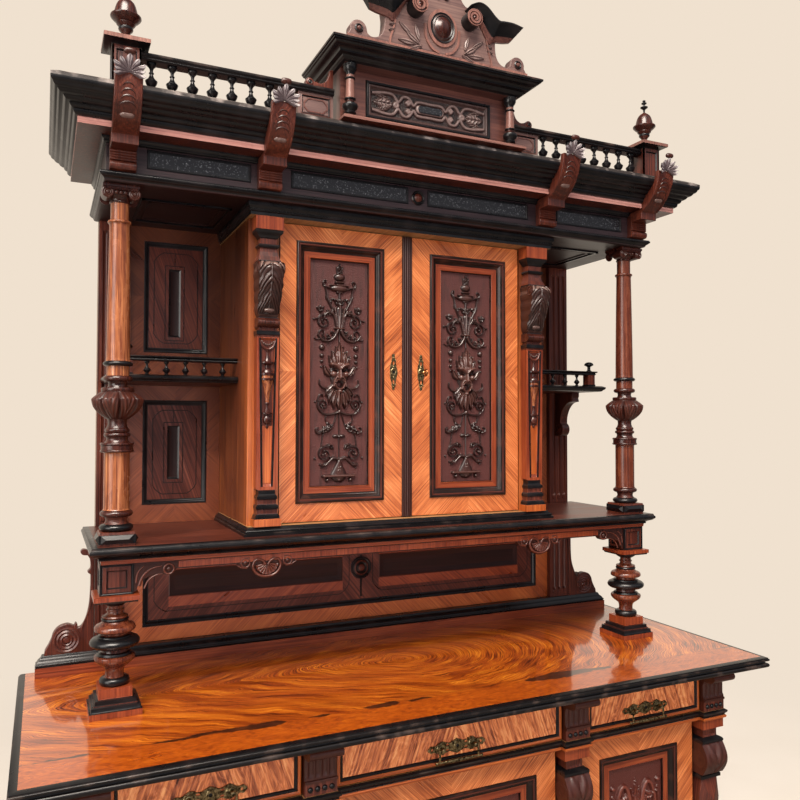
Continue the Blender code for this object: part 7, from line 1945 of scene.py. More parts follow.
    # black lines down the field, festoon with beads, and a half baluster hanging under it
    for k in (-1, 1):
        line = [(middle + k * lineAt(z), z) for z in (foot + 0.084, term - 0.006)]
        rows = [[(x - 0.0022, face - between(z, outs) + 0.001, z),
                 (x - 0.0022, face - between(z, outs) - 0.0004, z),
                 (x + 0.0022, face - between(z, outs) - 0.0004, z),
                 (x + 0.0022, face - between(z, outs) + 0.001, z)] for x, z in line]
        piece.strips(rows, "black", closed=True)
    split = term - 0.195
    field = [[(middle + k * (lineAt(z) - 0.0028), face - between(z, outs) + 0.0037, z) for k in (-1, 1)]
             for z in (foot + 0.092, split, term - 0.011)]
    piece.strips(field, ["strip", "redVeneer"])
    hang = term + 0.001
    part = Piece("drop")
    cord(part, smoothLine(pairsOf(-17.2, -12, -11.2, -25.5, 0, -31, 11.2, -25.5, 17.2, -12), 5), 0.0,
         0.0062, 0.0062, "redVeneer")
    cord(part, smoothLine(pairsOf(-15.2, -4, -9.6, -7.5, 0, -5, 9.6, -7.5, 15.2, -4), 5), 0.0, 0.0046,
         0.0050, "darkCarved")
    ballsAt(part, [(x, -0.002, -0.0215 + 40 * x * x) for x in np.linspace(-0.0132, 0.0132, 7)], 0.0023,
            "leaf")
    down = ((0.6, 202, 0), (3.4, 199.5, 0), (3.9, 197.5, 0), (2.2, 194.4, 0), (2.4, 193, 0), (7.5, 190, 0),
            (9.4, 184, 0), (8.4, 178, 0),
            (4.4, 174, 0), (4.2, 171.5, 0), (11.4, 170.5, 0), (11.6, 167.5, 0), (5.4, 166.4, 0),
            (4.6, 161, 0), (2.6, 156, 0), (2.5, 151, 0), (4.6, 149.5, 0),
            (4.8, 146.8, 0), (3.6, 145.4, 0), (4.0, 140, 1), (6.2, 124, 1), (10.6, 106, 1), (12.8, 98.5, 1),
            (14.8, 97.6, 0), (15.0, 94, 0), (12.6, 93, 0),
            (12.8, 88, 1), (14.8, 86.8, 0), (15.0, 82.6, 0), (12.4, 81.4, 0), (10.0, 76, 0), (5.2, 72.6, 0),
            (4.8, 66, 0), (8.0, 64.5, 0), (15.0, 61.6, 0),
            (15.2, 58.4, 0), (8.2, 56.8, 0), (4.6, 50, 0), (2.6, 41, 0), (2.4, 37.4, 0), (4.0, 35.6, 0),
            (4.2, 32.4, 0), (1.0, 30, 0))
    turn(part, (0, 0, 0), [(r / 1000, -h / 1000, "turned" if lit else "darkTurned") for r, h, lit in down],
         24)
    piece.add([(middle + x, face - between(hang + z, outs) + 0.0036 + y * 0.8, hang + z) for x, y,
               z in part.points], part.faces, list(part.finish), depth=part.depth)
    curl = [(0.0008, -11), (0.0030, -10.4), (0.0042, -8), (0.0050, -4), (0.0052, 0), (0.0050, 4),
            (0.0042, 8), (0.0030, 10.4), (0.0008, 11)]
    turn(piece, (middle, face - 0.0100, corbel + 0.0085), [(r, h / 1000, "leaf") for r, h in curl], 18,
         axis="x")
    for k in (-1, 1):
        disc = rowsOf("darkCarved", 13, -1, 13, 0.8, 10.5, 1.8, 8, 0.6, 5, 2, 0.6, 2.6)
        turn(piece, (middle + k * (half - 0.0006), face - 0.024, corbel + 0.098), facing(disc, k), 24,
             axis="x")
    piece.done("carcass", f"cupboard_pilaster_{side}")
print("columns and pilasters made")

# gallery shelves in the niches
gallerySettings = {"spindles": 5, "rail": 0.112, "post": 0.62, "inner": 0.3828}
spindleRows = rowsOf("black", 3.6, 0, 4.8, 1.5, 3, 3.5, 5.2, 6.2, 8.4, 10.5, 5, 15, 2.8, 18, 2.6, 23, 4.8,
                     26.2, 5.4, 28.5, 5, 30)
for side, sign in (("left", -1), ("right", 1)):
    low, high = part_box(f"gallery_shelf_{side}")
    piece = Piece(f"galleryShelf_{side}")
    inner, post, rail = gallerySettings["inner"], gallerySettings["post"], gallerySettings["rail"]
    x0, x1 = sorted((sign * inner, sign * 0.662))
    rows = [(-0.010, 0.0, "black"), (-0.007, 0.0015, "black")]
    rows += ogeeRows((-0.007, 0.0015), (-0.0005, 0.0085), "black", 6)
    rows += rowsOf("black", 0, 9, 0, 12.2, -2.2, 13, "wornBlack", -7.5, 15.6)
    # the board stops against the back pilaster at its outer end
    if sign > 0:
        outline = [(x0, 0.2895), (x0, 0.09), (x1, 0.09), (x1, 0.2747), (0.6017, 0.2747), (0.6017, 0.2895)]
        plain = (0, 3, 4, 5)
    else:
        outline = [(-0.6017, 0.2895), (-0.6017, 0.2747), (x0, 0.2747), (x0, 0.09), (x1, 0.09), (x1, 0.2895)]
        plain = (0, 1, 4, 5)
    mouldedSlab(piece, outline, rows, 1.655, plain=plain, top="redVeneer", bottom="plain")
    floor = 1.6706
    pitch = (post - 0.012 - inner) / (gallerySettings["spindles"] + 0.5)
    first = inner + pitch * 0.75
    rowOfCopies(piece, sampleTurning(spindleRows), gallerySettings["spindles"], (sign * first, rail, floor),
                (sign * pitch, 0, 0), "black")
    railEnds = sorted((sign * inner, sign * (post + 0.0125)))
    rows = [(0.0, 0.0, "black"), (0.0012, 0.0012, "black")]
    rows += roundRows((0.001, 0.0015), (0.001, 0.0050), 0.0016, "black", 4)
    rows += ogeeRows((0.001, 0.0052), (0.0060, 0.0088), "black", 4)
    rows += [(0.0060, 0.0102, "wornBlack"), (0.0045, 0.0110, "black")]
    mouldedSlab(piece, oblong(*railEnds, rail - 0.010, rail + 0.010), rows, floor + 0.0300,
                plain=((2,) if sign < 0 else (0,)), top="black", bottom="black")
    h = 0.0115
    squareStack(piece, sign * post, rail, [(floor - 0.0005, h + 0.0012, "black"),
        (floor + 0.004, h + 0.0012, "black"), (floor + 0.0045, h, "redVeneer"),
                                          (floor + 0.0300, h, "redVeneer")])
    knob = rowsOf("black", 7.8, -1, 7.8, 1.6, 4.6, 4, 4.2, 12, 6, 14.2, 12.6, 17.5, 13, 19.5, 11.2, 23, 7,
                  25.8, 1, 26.8)
    turn(piece, (sign * post, rail, floor + 0.0410), knob, 28)
    # scroll bracket under the shelf
    wall, under = 0.2747, 1.6555
    curve = [(wall, under), (wall - 0.083, under), (wall - 0.083, under - 0.012),
             (wall - 0.080, under - 0.016), (wall - 0.083, under - 0.027)]
    curve += smoothLine([(wall - 0.083, under - 0.027), (wall - 0.060, under - 0.031),
                         (wall - 0.040, under - 0.047), (wall - 0.0285, under - 0.070),
                         (wall - 0.0260, under - 0.088)], 5)[1:]
    curve += [(wall - 0.0185 + 0.0195 * math.cos(math.radians(a)), under - 0.1085 + 0.0195
               * math.sin(math.radians(a))) for a in range(115, 271, 13)]
    curve += [(wall, under - 0.128)]
    bracket = shapeMesh([curve], 0.026, 0.0012)
    piece.mesh(bracket, "redVeneer", (0, 0, 1), Matrix.Translation((sign * backSettings["pilaster"], 0,
        0)) @ standYZ)
    for k in (-1, 1):
        disc = rowsOf("redVeneer", 15, -1, 15, 1, 11.8, 2, 8.5, 0.6, 5.5, 2.2, 0.6, 2.8)
        turn(piece, (sign * backSettings["pilaster"] + k * 0.013, wall - 0.0185, under - 0.1085),
             facing(disc, k), 24, axis="x")
    piece.done("carcass", f"gallery_shelf_{side}")
print("gallery shelves made")

# cupboard head: ebonised moulding over the cupboard
low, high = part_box("cupboard_head")
piece = Piece("cupboardHead")
rows = rowsOf("black", 4, 0, 4, 6.5, 6.5, 8)
rows += roundRows((0.0055, 0.0085), (0.0055, 0.0125), 0.0018, "black", 4)
rows += ogeeRows((0.0058, 0.0130), (0.0098, 0.0205), "black", 6)
rows += [(0.010, 0.0215, "black"), (0.010, high.z - low.z, "black")]
mouldedSlab(piece, oblong(-0.3825, 0.3825, -0.027, high.y), rows, low.z, plain=(3,), top="plain",
            bottom="oak")
piece.done("carcass", "cupboard_head")

# entablature: architrave, panelled frieze, soffit, fascia and a reeded cyma
entablatureSettings = {"front": -0.048, "half": 0.676, "base": 2.037}
low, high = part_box("entablature")
piece = Piece("mouldedEntablature")
base = entablatureSettings["base"]
# the architrave's lowest band and the underside take the near-black walnut, painted shade under the overhang
rows = rowsOf("plain", -2, 0, "stained", 1.8, 1.2, "friezeVeneer", 3.8, 4)
rows += [(0.0042, 0.0046, "black")] + ogeeRows((0.0042, 0.0050), (0.0100, 0.0105), "black", 5)
rows += [(0.0118, 0.0112, "black")] + roundRows((0.0110, 0.0115), (0.0110, 0.0165), 0.0016, "black", 5)
rows += rowsOf("black", 11.2, 18, 6, 19.2, "friezeVeneer", 0, 20, 0, 74.5, "black", 2, 75)
rows += roundRows((0.0020, 0.0752), (0.0050, 0.0800), 0.0018, "black", 4)
rows += rowsOf("black", 9, 84, 9.4, 86.8, "plain", 54, 87, "fascia", 54, 99, "black", 57.2, 100.2)
# reeds up the cyma
tip = 0.1010
reeds = 6
swing = [(0.0580 + (tip - 0.0580) * (t - 0.09 * math.sin(2 * math.pi * t)), 0.1010 + 0.0485 * t)
         for t in (k / reeds for k in range(reeds + 1))]
for (a0, b0), (a1, b1) in zip(swing, swing[1:]):
    for j in range(1, 6):
        s = j / 5
        bulgeOut = 0.0016 * math.sin(math.pi * s)
        rows.append((a0 + (a1 - a0) * s + bulgeOut * 0.7, b0 + (b1 - b0) * s - bulgeOut * 0.7, "black"))
# the cornice's top fillet and edge take the pale grey lip, a painted sheen where light falls on them
rows += [(tip, 0.1505, "black"), (tip, 0.1555, "lip"), (0.0890, 0.1630, "lip")]
half = entablatureSettings["half"]
mouldedSlab(piece, oblong(-half, half, entablatureSettings["front"], high.y), rows, base, plain=(3,),
            top="plain", bottom="stained")
# frieze panels of polished black, framed
friezeY = entablatureSettings["front"]
for sign in (-1, 1):
    for p0, p1 in ((0.0246, 0.304), (0.391, 0.600)):
        x0, x1 = sorted((sign * p0, sign * p1))
        rows = [(0.0, -0.002, "black"), (0.0, 0.0008, "black")]
        rows += beadRow((0.0, 0.0008), (0.0042, 0.0008), 0.0012, "black", 4)
        rows += [(0.0060, 0.0005, "black")]
        field = framedRect(piece, (x0, x1, 2.0705, 2.1095), friezeY, rows)
        fillRect(piece, field, "slate", (1, 0, 0))
roundel = rowsOf("redVeneer", 16.5, -2, 16.5, 2.2, "black", 14.5, 4.2, 11.8, 2.2, 9.5, 3, "redVeneer", 8,
                 5.2, 4.5, 7.2, 0.6, 8)
turn(piece, (0, friezeY, 2.087), roundel, 36, axis="y")
# coffered soffits over the niches, their fields near-black as painted shade under the entablature
for sign in (-1, 1):
    x0, x1 = sorted((sign * 0.4125, sign * 0.596))
    for inset, drop, finish in ((0.0, 0.004, "black"), (0.016, 0.0025, "stained")):
        p = [(x0 + inset, 0.046 + inset), (x1 - inset, 0.046 + inset), (x1 - inset, 0.23 - inset),
             (x0 + inset, 0.23 - inset)]
        for a, b in zip(p, p[1:] + p[:1]):
            lo = (min(a[0], b[0]) - 0.003, max(a[0], b[0]) + 0.003, min(a[1], b[1]) - 0.003,
                  max(a[1], b[1]) + 0.003)
            piece.box(lo[0], lo[1], lo[2], lo[3], base - drop, base + 0.001, finish, (1, 0, 0))
piece.done("carcass", "entablature")
print("entablature made")

# clasping brackets: reeded foot, block, strap with a slot, and an acanthus leaf that turns over the cornice
bracketSettings = {"half": 0.0248, "frieze": -0.048}
for number, cx in ((1, -0.646), (2, -0.353), (3, 0.353), (4, 0.646)):
    low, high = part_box(f"cornice_bracket_{number}")
    piece = Piece(f"corniceBracket_{number}")
    wide = bracketSettings["half"]
    behind = pairsOf(0.3, 20.3, 0.3, 74.7, 5.3, 76.7, 9.3, 83.7, 54.3, 86.7, 54.3, 99.7, 58.5, 100.7)
    behind += [(0.0583 + 0.0430 * (t - 0.09 * math.sin(2 * math.pi * t)), 0.1037 + 0.046 * t)
               for t in np.linspace(0.1, 1.0, 8)]
    behind += [(0.1013, 0.1547)]
    front = pairsOf(10, 20.3, 17, 21.5, 20, 25, 20.8, 29.3, 20, 33.5, 16.5, 36.8, 13, 38)
    for k in range(4):
        z = 0.0392 + 0.0052 * k
        front += [(0.0170, z), (0.0178, z + 0.0022), (0.0170, z + 0.0042), (0.0155, z + 0.0047)]
    strap = smoothLine(pairsOf(54.5, 78.2, 69, 86.2, 85, 98.5, 100, 116, 109.8, 136, 115, 156, 116, 169), 5)
    front += pairsOf(17, 59.8, 52.5, 59.8, 53.5, 60.8, 53.5, 77.2) + strap
    outline = front + [(0.1040, 0.1700)] + behind[::-1]
    points = [(bracketSettings["frieze"] - o, entablatureSettings["base"] + h) for o, h in outline]
    piece.mesh(shapeMesh([points], 2 * wide, 0.0010), "redVeneer", (0, 0, 1),
               Matrix.Translation((cx, 0, 0)) @ standYZ)
    # raised borders, a bar and tooled arches on the strap, which are set out along its curve
    def onStrap(along, x, lift):
        at = along * (len(strap) - 1)
        i = min(int(at), len(strap) - 2)
        (o0, h0), (o1, h1) = strap[i], strap[i + 1]
        size = math.hypot(o1 - o0, h1 - h0)
        o, h = o0 + (o1 - o0) * (at - i), h0 + (h1 - h0) * (at - i)
        return (cx + x, bracketSettings["frieze"] - o - (h1 - h0) / size * lift,
                base + h - (o1 - o0) / size * lift)

    for x in (0.0032 - wide, wide - 0.0032):
        rows = [[onStrap(s, x - 0.0024, -0.001), onStrap(s, x - 0.0020, 0.0014),
                 onStrap(s, x + 0.0020, 0.0014), onStrap(s, x + 0.0024, -0.001)]
                for s in np.linspace(0.05, 0.93, 22)]
        piece.strips(rows, "redVeneer", closed=True)
        piece.face(rows[0][::-1], "redVeneer")
        piece.face(rows[-1], "redVeneer")
    rows = []
    for x in np.linspace(-0.0135, 0.0135, 13):
        size = 0.0040 * max(0.12, 1 - (abs(x) / 0.0138) ** 6)
        rows.append([onStrap(0.36 + size / 0.11 * math.cos(t), x, 0.0036 * size / 0.0040 * math.sin(t)
                             - 0.0004) for t in np.linspace(0, 2 * math.pi, 10, endpoint=False)])
    piece.strips(rows, "leaf", closed=True, depth=[0.75] * 130)
    piece.face(rows[0][::-1], "leaf")
    piece.face(rows[-1], "leaf")
    for k in range(4):
        # crescents cut like scales
        rows = []
        for t in np.linspace(0.02, math.pi - 0.02, 13):
            x, s = (0.0150 - 0.0012 * k) * math.cos(t), 0.46 + 0.085 * k + 0.085 * math.sin(t)
            fat = 0.0012 + 0.0010 * math.sin(t)
            rows.append([onStrap(s - fat / 0.11, x, -0.0006), onStrap(s, x, 0.0011),
                         onStrap(s + fat / 0.11, x, -0.0006)])
        piece.strips(rows, "darkCarved", closed=True)
    # acanthus crown: leaflets fan out from a point low on the strap and lean forward under a curled tip
    lengths, rings = (0.98, 0.88, 0.97, 0.90, 1.0, 0.90, 0.97, 0.88, 0.98), 9
    rows, heights = [], []
    for j in range(rings + 1):
        s = j / rings
        row = []
        for k in range(len(lengths) * 10 + 1):
            t = k / (len(lengths) * 10)
            lobe = min(int(t * len(lengths)), len(lengths) - 1)
            wave = 1 - abs(2 * (t * len(lengths) - lobe) - 1)
            side = 2 * t - 1
            angle = math.radians(118 * side * (1 + 0.12 * s * s * (1 - side * side)))
            reach = (0.0300 + 0.0085 * max(0, math.cos(angle))) * lengths[lobe] * (0.72 + 0.28
                * wave ** 0.7) * s
            blade = wave ** 0.6 * (1 - 0.45 * math.exp(-((1 - wave) / 0.2) ** 2))
            lift = 0.0030 + 0.0050 * math.sin(math.pi / 2 * s)
            lift += 0.0075 * s ** 3 * wave + 0.0046 * (blade - 0.5) * math.sin(math.pi * s * 0.9)
            row.append((cx + reach * math.sin(angle), bracketSettings["frieze"] - 0.1165 - lift,
                        base + 0.1700 + 0.76 * reach * math.cos(angle) - 0.0030 * s * s * abs(side)))
            # the leaflets' raised blades are coloured lighter, most at their outer ends: a painted highlight
            heights.append(min(1, 0.02 + 1.2 * blade ** 1.5 * (0.15 + 0.85 * s)))
        rows.append(row)
    behindLeaf = [[(x, y + 0.0035, z) for x, y, z in row] for row in (rows[-1], rows[5], rows[0])]
    piece.strips(rows + behindLeaf, "silver", depth=heights + [0.15] * (3 * len(rows[0])))
    tip = [(0.0008, -10.6), (0.0032, -10.2), (0.0052, -8), (0.0061, -4), (0.0063, 0), (0.0061, 4),
           (0.0052, 8), (0.0032, 10.2), (0.0008, 10.6)]
    turn(piece, (cx, bracketSettings["frieze"] - 0.1280, base + 0.2050), [(r, h / 1000, "darkCarved") for r,
        h in tip], 20, axis="x")
    piece.done("carcass", f"cornice_bracket_{number}")
print("cornice brackets made")

# spindle galleries with posts and urn finials
topSettings = {"y": -0.087, "base": 2.2003, "spindles": 8, "inner": 0.2253, "panel": 0.078, "post": 0.646}
spindleTall = [(r / 1000, h / 1000, "black") for r, h in (
    (4, 0), (5.4, 1.4), (5.2, 3), (3.4, 4.2), (3.4, 6), (7.6, 9), (10, 12.4), (11, 15.6), (11.8, 18),
    (11.2, 19.2), (8.4, 21.6), (5.8, 24.6), (4.2, 28),
    (3.5, 31), (3.4, 32.4), (4.8, 33.4), (4.8, 35), (3.3, 36), (3.1, 39), (3.8, 42.4), (5.8, 45.6),
    (8.8, 48.4), (9.2, 49.4), (9.2, 53))]
# finial, radius and height in mm: foot, ribbed dish, sharp flange, bell, and a spike of discs
finialRuns = (("darkTurned", (17.5, 0), (17.5, 4), (12, 6), (7, 9), (5.6, 15.5), (9, 21.6), (13, 25.7)),
              ("black", (13.8, 28), (13.4, 31), (11.6, 31.8)),
              ("darkTurned", (15.5, 35), (17.6, 37.5), (17, 39.6), (15.8, 40.2), (22.5, 44), (28, 49.6),
               (28.7, 51), (28.4, 53.2), (22.2, 54.4)),
              ("darkTurned", (21.9, 56.3), (21.2, 62), (19.6, 68.5), (17.9, 74), (15.4, 79), (10.4, 84.4),
               (5, 87.9), (2.5, 90)),
              ("black", (2.3, 96), (4.2, 99), (9.4, 102.6), (9.6, 104.6), (3.2, 107.4), (2.6, 111.2),
               (6.7, 113.6), (6.8, 115.4), (2.6, 117.2), (3.9, 119.2), (4, 121.8), (1, 123.8)))
for side, sign in (("left", -1), ("right", 1)):
    piece = Piece(f"topGallery_{side}")
    gy, gz = topSettings["y"], topSettings["base"]
    inner, post = topSettings["inner"], topSettings["post"]
    ends = sorted((sign * inner, sign * (post - 0.0255)))
    piece.box(ends[0], ends[1], gy - 0.012, gy + 0.012, gz, gz + 0.0105, "redVeneer", (1, 0, 0))
    piece.box(ends[0], ends[1], gy - 0.0135, gy + 0.0135, gz + 0.0095, gz + 0.0122, "black", (1, 0, 0))
    first = inner + topSettings["panel"] + 0.02
    pitch = (post - 0.026 - 0.022 - first) / (topSettings["spindles"] - 1)
    rowOfCopies(piece, sampleTurning(spindleTall, 16), topSettings["spindles"],
                (sign * first, gy, gz + 0.0120), (sign * pitch, 0, 0), "black")
    x0, x1 = sorted((sign * inner, sign * (inner + topSettings["panel"])))
    field = flatFront(piece, (x0, x1, gz + 0.012, gz + 0.066), gy - 0.007, gy + 0.007,
                      rowsOf("dusty", 6, 0, "atticVeneer", 8, 1.4, "black", 9.6, -0.6, 10.5, -1.6),
                      "redVeneer", "redVeneer")
    fillRect(piece, field, "dusty", (1, 0, 0))
    ribbon(piece, notched(field[0] + 0.003, field[1] - 0.003, field[2] + 0.003, field[3] - 0.003, 0.009,
                          0.006), field[4], 0.0026, 0.0014, "atticVeneer", True)
    rows = [(0.0, 0.0, "black"), (0.0010, 0.0012, "black")]
    rows += roundRows((0.0010, 0.0014), (0.0010, 0.0048), 0.0018, "black", 4)
    rows += ogeeRows((0.0010, 0.0050), (0.0042, 0.0090), "black", 4)
    rows += [(0.0042, 0.0128, "wornBlack"), (0.0030, 0.0140, "black")]
    mouldedSlab(piece, oblong(*ends, gy - 0.012, gy + 0.012), rows, gz + 0.065, plain=(0, 2), top="black",
                bottom="black")
    # post with a sunk panel on each face, moulded cap
    px = sign * post
    squareStack(piece, px, gy, [(gz, 0.0225, "redVeneer"), (gz + 0.079, 0.0225, "redVeneer")])
    fourFrames(piece, px, gy, (-0.026, 0.026, gz, gz + 0.0792), -0.0225, rowsOf(
        "redVeneer", 0, 0, 0, 3.5, 7.5, 3.5, "black", 8.5, 2.2, 10, 0))
    squareStack(piece, px, gy, [(gz + 0.0790, 0.0260, "black"), (gz + 0.0810, 0.0275, "black"),
        (gz + 0.0830, 0.0320, "black"), (gz + 0.0845, 0.0390, "black"),
                                (gz + 0.0860, 0.0418, "black"), (gz + 0.0930, 0.0420, "rubbed"),
                                (gz + 0.0942, 0.0405, "rubbed")])
    finial = [(r / 1000, h / 1000, finish) for finish, *run in finialRuns for r, h in run]
    turn(piece, (px, gy, gz + 0.0942), finial, 40)
    # scroll cheek against the attic
    cheek = [(inner, 0.0)] + [(inner + 0.060, 0.0)]
    cheek += [(inner + 0.0520 + 0.0095 * math.cos(math.radians(a)),
               0.0095 + 0.0095 * math.sin(math.radians(a))) for a in range(-20, 171, 19)]
    cheek += smoothLine([(inner + 0.0415, 0.0130), (inner + 0.0280, 0.0105), (inner + 0.0160, 0.0180),
                         (inner + 0.0095, 0.0320), (inner + 0.0075, 0.0430)], 4)
    cheek += [(inner, 0.0440)]
    points = [(sign * x, gz + 0.079 + z) for x, z in cheek]
    piece.mesh(shapeMesh([points], 0.013, 0.001), "redVeneer",
               place=Matrix.Translation((0, gy, 0)) @ standXZ)
    eye = rowsOf("redVeneer", 6.8, -1, 6.8, 1.4, 4.6, 2.2, "black", 3, 0.8, 0.6, 2.4)
    turn(piece, (sign * (inner + 0.0520), gy - 0.0065, gz + 0.0885), eye, 20, axis="y")
    piece.done("carcass", f"top_gallery_{side}")
print("top galleries made")

# attic: panelled block with its cornice
atticSettings = {"half": 0.215, "face": -0.110, "rear": 0.03, "base": 2.2003, "body": 2.208,
                 "cornice": 2.325}
low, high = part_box("attic")
piece = Piece("panelledAttic")
half, face, rear = atticSettings["half"], atticSettings["face"], atticSettings["rear"]
rows = rowsOf("rubbed", 10, 0, 10, 4, 9.5, 6, 6, 8)
mouldedSlab(piece, oblong(-half, half, -0.150, rear), rows, atticSettings["base"], plain=(3,),
            top="atticVeneer", bottom="plain")
z0, z1 = atticSettings["body"] - 0.001, atticSettings["cornice"] + 0.002
inner = (-0.157, 0.157, 2.226, 2.309)
x0, x1 = -half, half
piece.face([(x1, rear, z0), (x0, rear, z0), (x0, rear, z1), (x1, rear, z1)], "plain")
boardEdge(piece, (x0, x1, z0, z1), rear, face, "atticVeneer")
for l, r, b, t in ((x0, inner[0], z0, z1), (inner[1], x1, z0, z1), (inner[0], inner[1], z0, inner[2]),
                   (inner[0], inner[1], inner[3], z1)):
    fillRect(piece, (l, r, b, t, face), "atticVeneer", (1, 0, 0))
rows = [(0.0, 0.0, "black"), (0.0012, 0.0030, "black")]
rows += beadRow((0.0012, 0.0030), (0.0060, 0.0034), 0.0018, "black", 5)
rows += [(0.0072, 0.0004, "black")] + beadRow((0.0072, 0.0004), (0.0118, -0.0004), 0.0022, "greyCarved", 5)
rows += [(0.0132, -0.0030, "greyCarved"), (0.0150, -0.0044, "greyCarved")]
rect = framedRect(piece, inner, face, rows)
relief = Relief(*rect[:4], 0.001)
wide, mid = (rect[1] - rect[0]) * 500, (rect[3] - rect[2]) * 500
rise = 6.2
# strapwork: two interlaced bands round a cabochon, bosses, rosettes, leaves
for way in (-1, 1):
    band = [(0, 15.5), (30, 15.5), (40, 6), (52, 20), (66, 21), (78, 8), (90, 21), (110, 23), (wide, 18)]
    relief.ridge([(x, mid + way * z) for x, z in band], 3.8, rise * 0.75, flat=0.3)
    relief.dome(53.5, mid + way * 9.5, 9, 8.5, rise, dent=1.5, petals=4)
    relief.leaf((96, mid + way * 4), (wide - 8, mid + way * 17), 6.5, rise * 0.85, -way * 2)
relief.ridge([(0.0, mid), (25.5, mid)], 10.5, rise * 1.1, flat=0.35)
relief.dome(83, mid, 9.5, 9.5, rise, dent=2)
relief.leaf((92, mid), (wide - 3, mid), 13, rise, lobes=5)
closePanel(piece, rect, relief, 0.0, rise, "greyCarved")
outline = [(math.copysign(0.0225, math.cos(t)) * (1 if abs(math.cos(t)) > 0.01 else 0) + 0.0082
            * math.cos(t), (inner[2] + inner[3]) / 2 + 0.0082 * math.sin(t))
           for t in np.linspace(0.05, 2 * math.pi + 0.05, 40, endpoint=False)]
piece.mesh(shapeMesh([outline], 0.0040, 0.0015), "slate",
           place=Matrix.Translation((0, rect[4] - 0.0058, 0)) @ standXZ)
rows = rowsOf("atticVeneer", 0, 0, "black", 2, 2, 4.5, 3)
rows += ogeeRows((0.0050, 0.0032), (0.0105, 0.0095), "black", 5)
rows += rowsOf("black", 11.5, 10.5, 19, 12.5, 19.2, 15)
rows += ogeeRows((0.0200, 0.0155), (0.0345, 0.0265), "black", 7)
rows += rowsOf("black", 38.5, 27.2, 39.2, 30, 41.8, 30.6, "wornBlack", 42, 34.5, "rubbed", 37, 38)
mouldedSlab(piece, oblong(-half, half, face - 0.031, rear), rows, atticSettings["cornice"], plain=(3,),
            top="atticVeneer", bottom="atticVeneer")
piece.done("carcass", "attic")

colonnette = rowsOf("darkTurned", 13, 0, 13, 3.5, 9.5, 5.5, 8.5, 9.5, "black", 12, 11.5, 12.8, 13.5, 10, 16,
                    10.5, 18, 15, 22, 16.8, 26.5, 16, 31, 11, 34.5, "darkTurned", 8.5, 37, 8.8, 40, "black",
                    12.2, 41.5, 12.4, 43.5, "rubbed", 10, 45.5, 9.9, 48, 8.6, 84, "black", 11, 85.8, 11.2,
                    87.6, 8.6, 89.2, "rubbed", 8.4, 94, "black", 9, 98.5, 12.5, 103, 14.2, 107.5, 14.2, 112,
                    15, 112.8, 15, 116.2)
for side, sign in (("left", -1), ("right", 1)):
    low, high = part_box(f"attic_colonnette_{side}")
    piece = Piece(f"atticColonnette_{side}")
    grow = (high.z - low.z) / colonnette[-1][1]
    turn(piece, ((low.x + high.x) / 2, (low.y + high.y) / 2, low.z),
         [(r, h * grow, f) for r, h, f in colonnette], 36)
    piece.done("carcass", f"attic_colonnette_{side}")

# crest: carved board, swan necks with volutes, medallion
crestSettings = {"y": -0.154, "thick": 0.026, "neck": 0.030}
low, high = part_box("crest")
piece = Piece("swanNeckCrest")
base = low.z
right = [(0.230, 0.0), (0.219, 0.011)]
right += [(0.196 + 0.0185 * math.cos(math.radians(a)), 0.024 + 0.0185 * math.sin(math.radians(a)))
          for a in range(-15, 176, 12)]
right += smoothLine(pairsOf(176, 19, 168, 13.5, 155, 15, 145, 22, 138.5, 36, 136.5, 60, 139, 80, 138, 98),
                    4)
right += smoothLine(pairsOf(138, 98, 110, 116, 85, 124, 60, 129), 4)[1:]
right += smoothLine(pairsOf(60, 129, 52, 137, 46, 150, 38, 168), 4)[1:]
right += [(0.0265 * math.cos(math.radians(a)), 0.1730 + 0.0265 * math.sin(math.radians(a)))
          for a in range(10, 91, 10)]
outline = [(x, base + z) for x, z in right] + [(-x, base + z) for x, z in reversed(right[:-1])]
place = Matrix.Translation((0, crestSettings["y"], 0)) @ standXZ
piece.mesh(shapeMesh([outline], crestSettings["thick"], 0.0014), "dusty", (1, 0, 0), place)
front = crestSettings["y"] - crestSettings["thick"] / 2
vx, vz = 0.067, 0.093
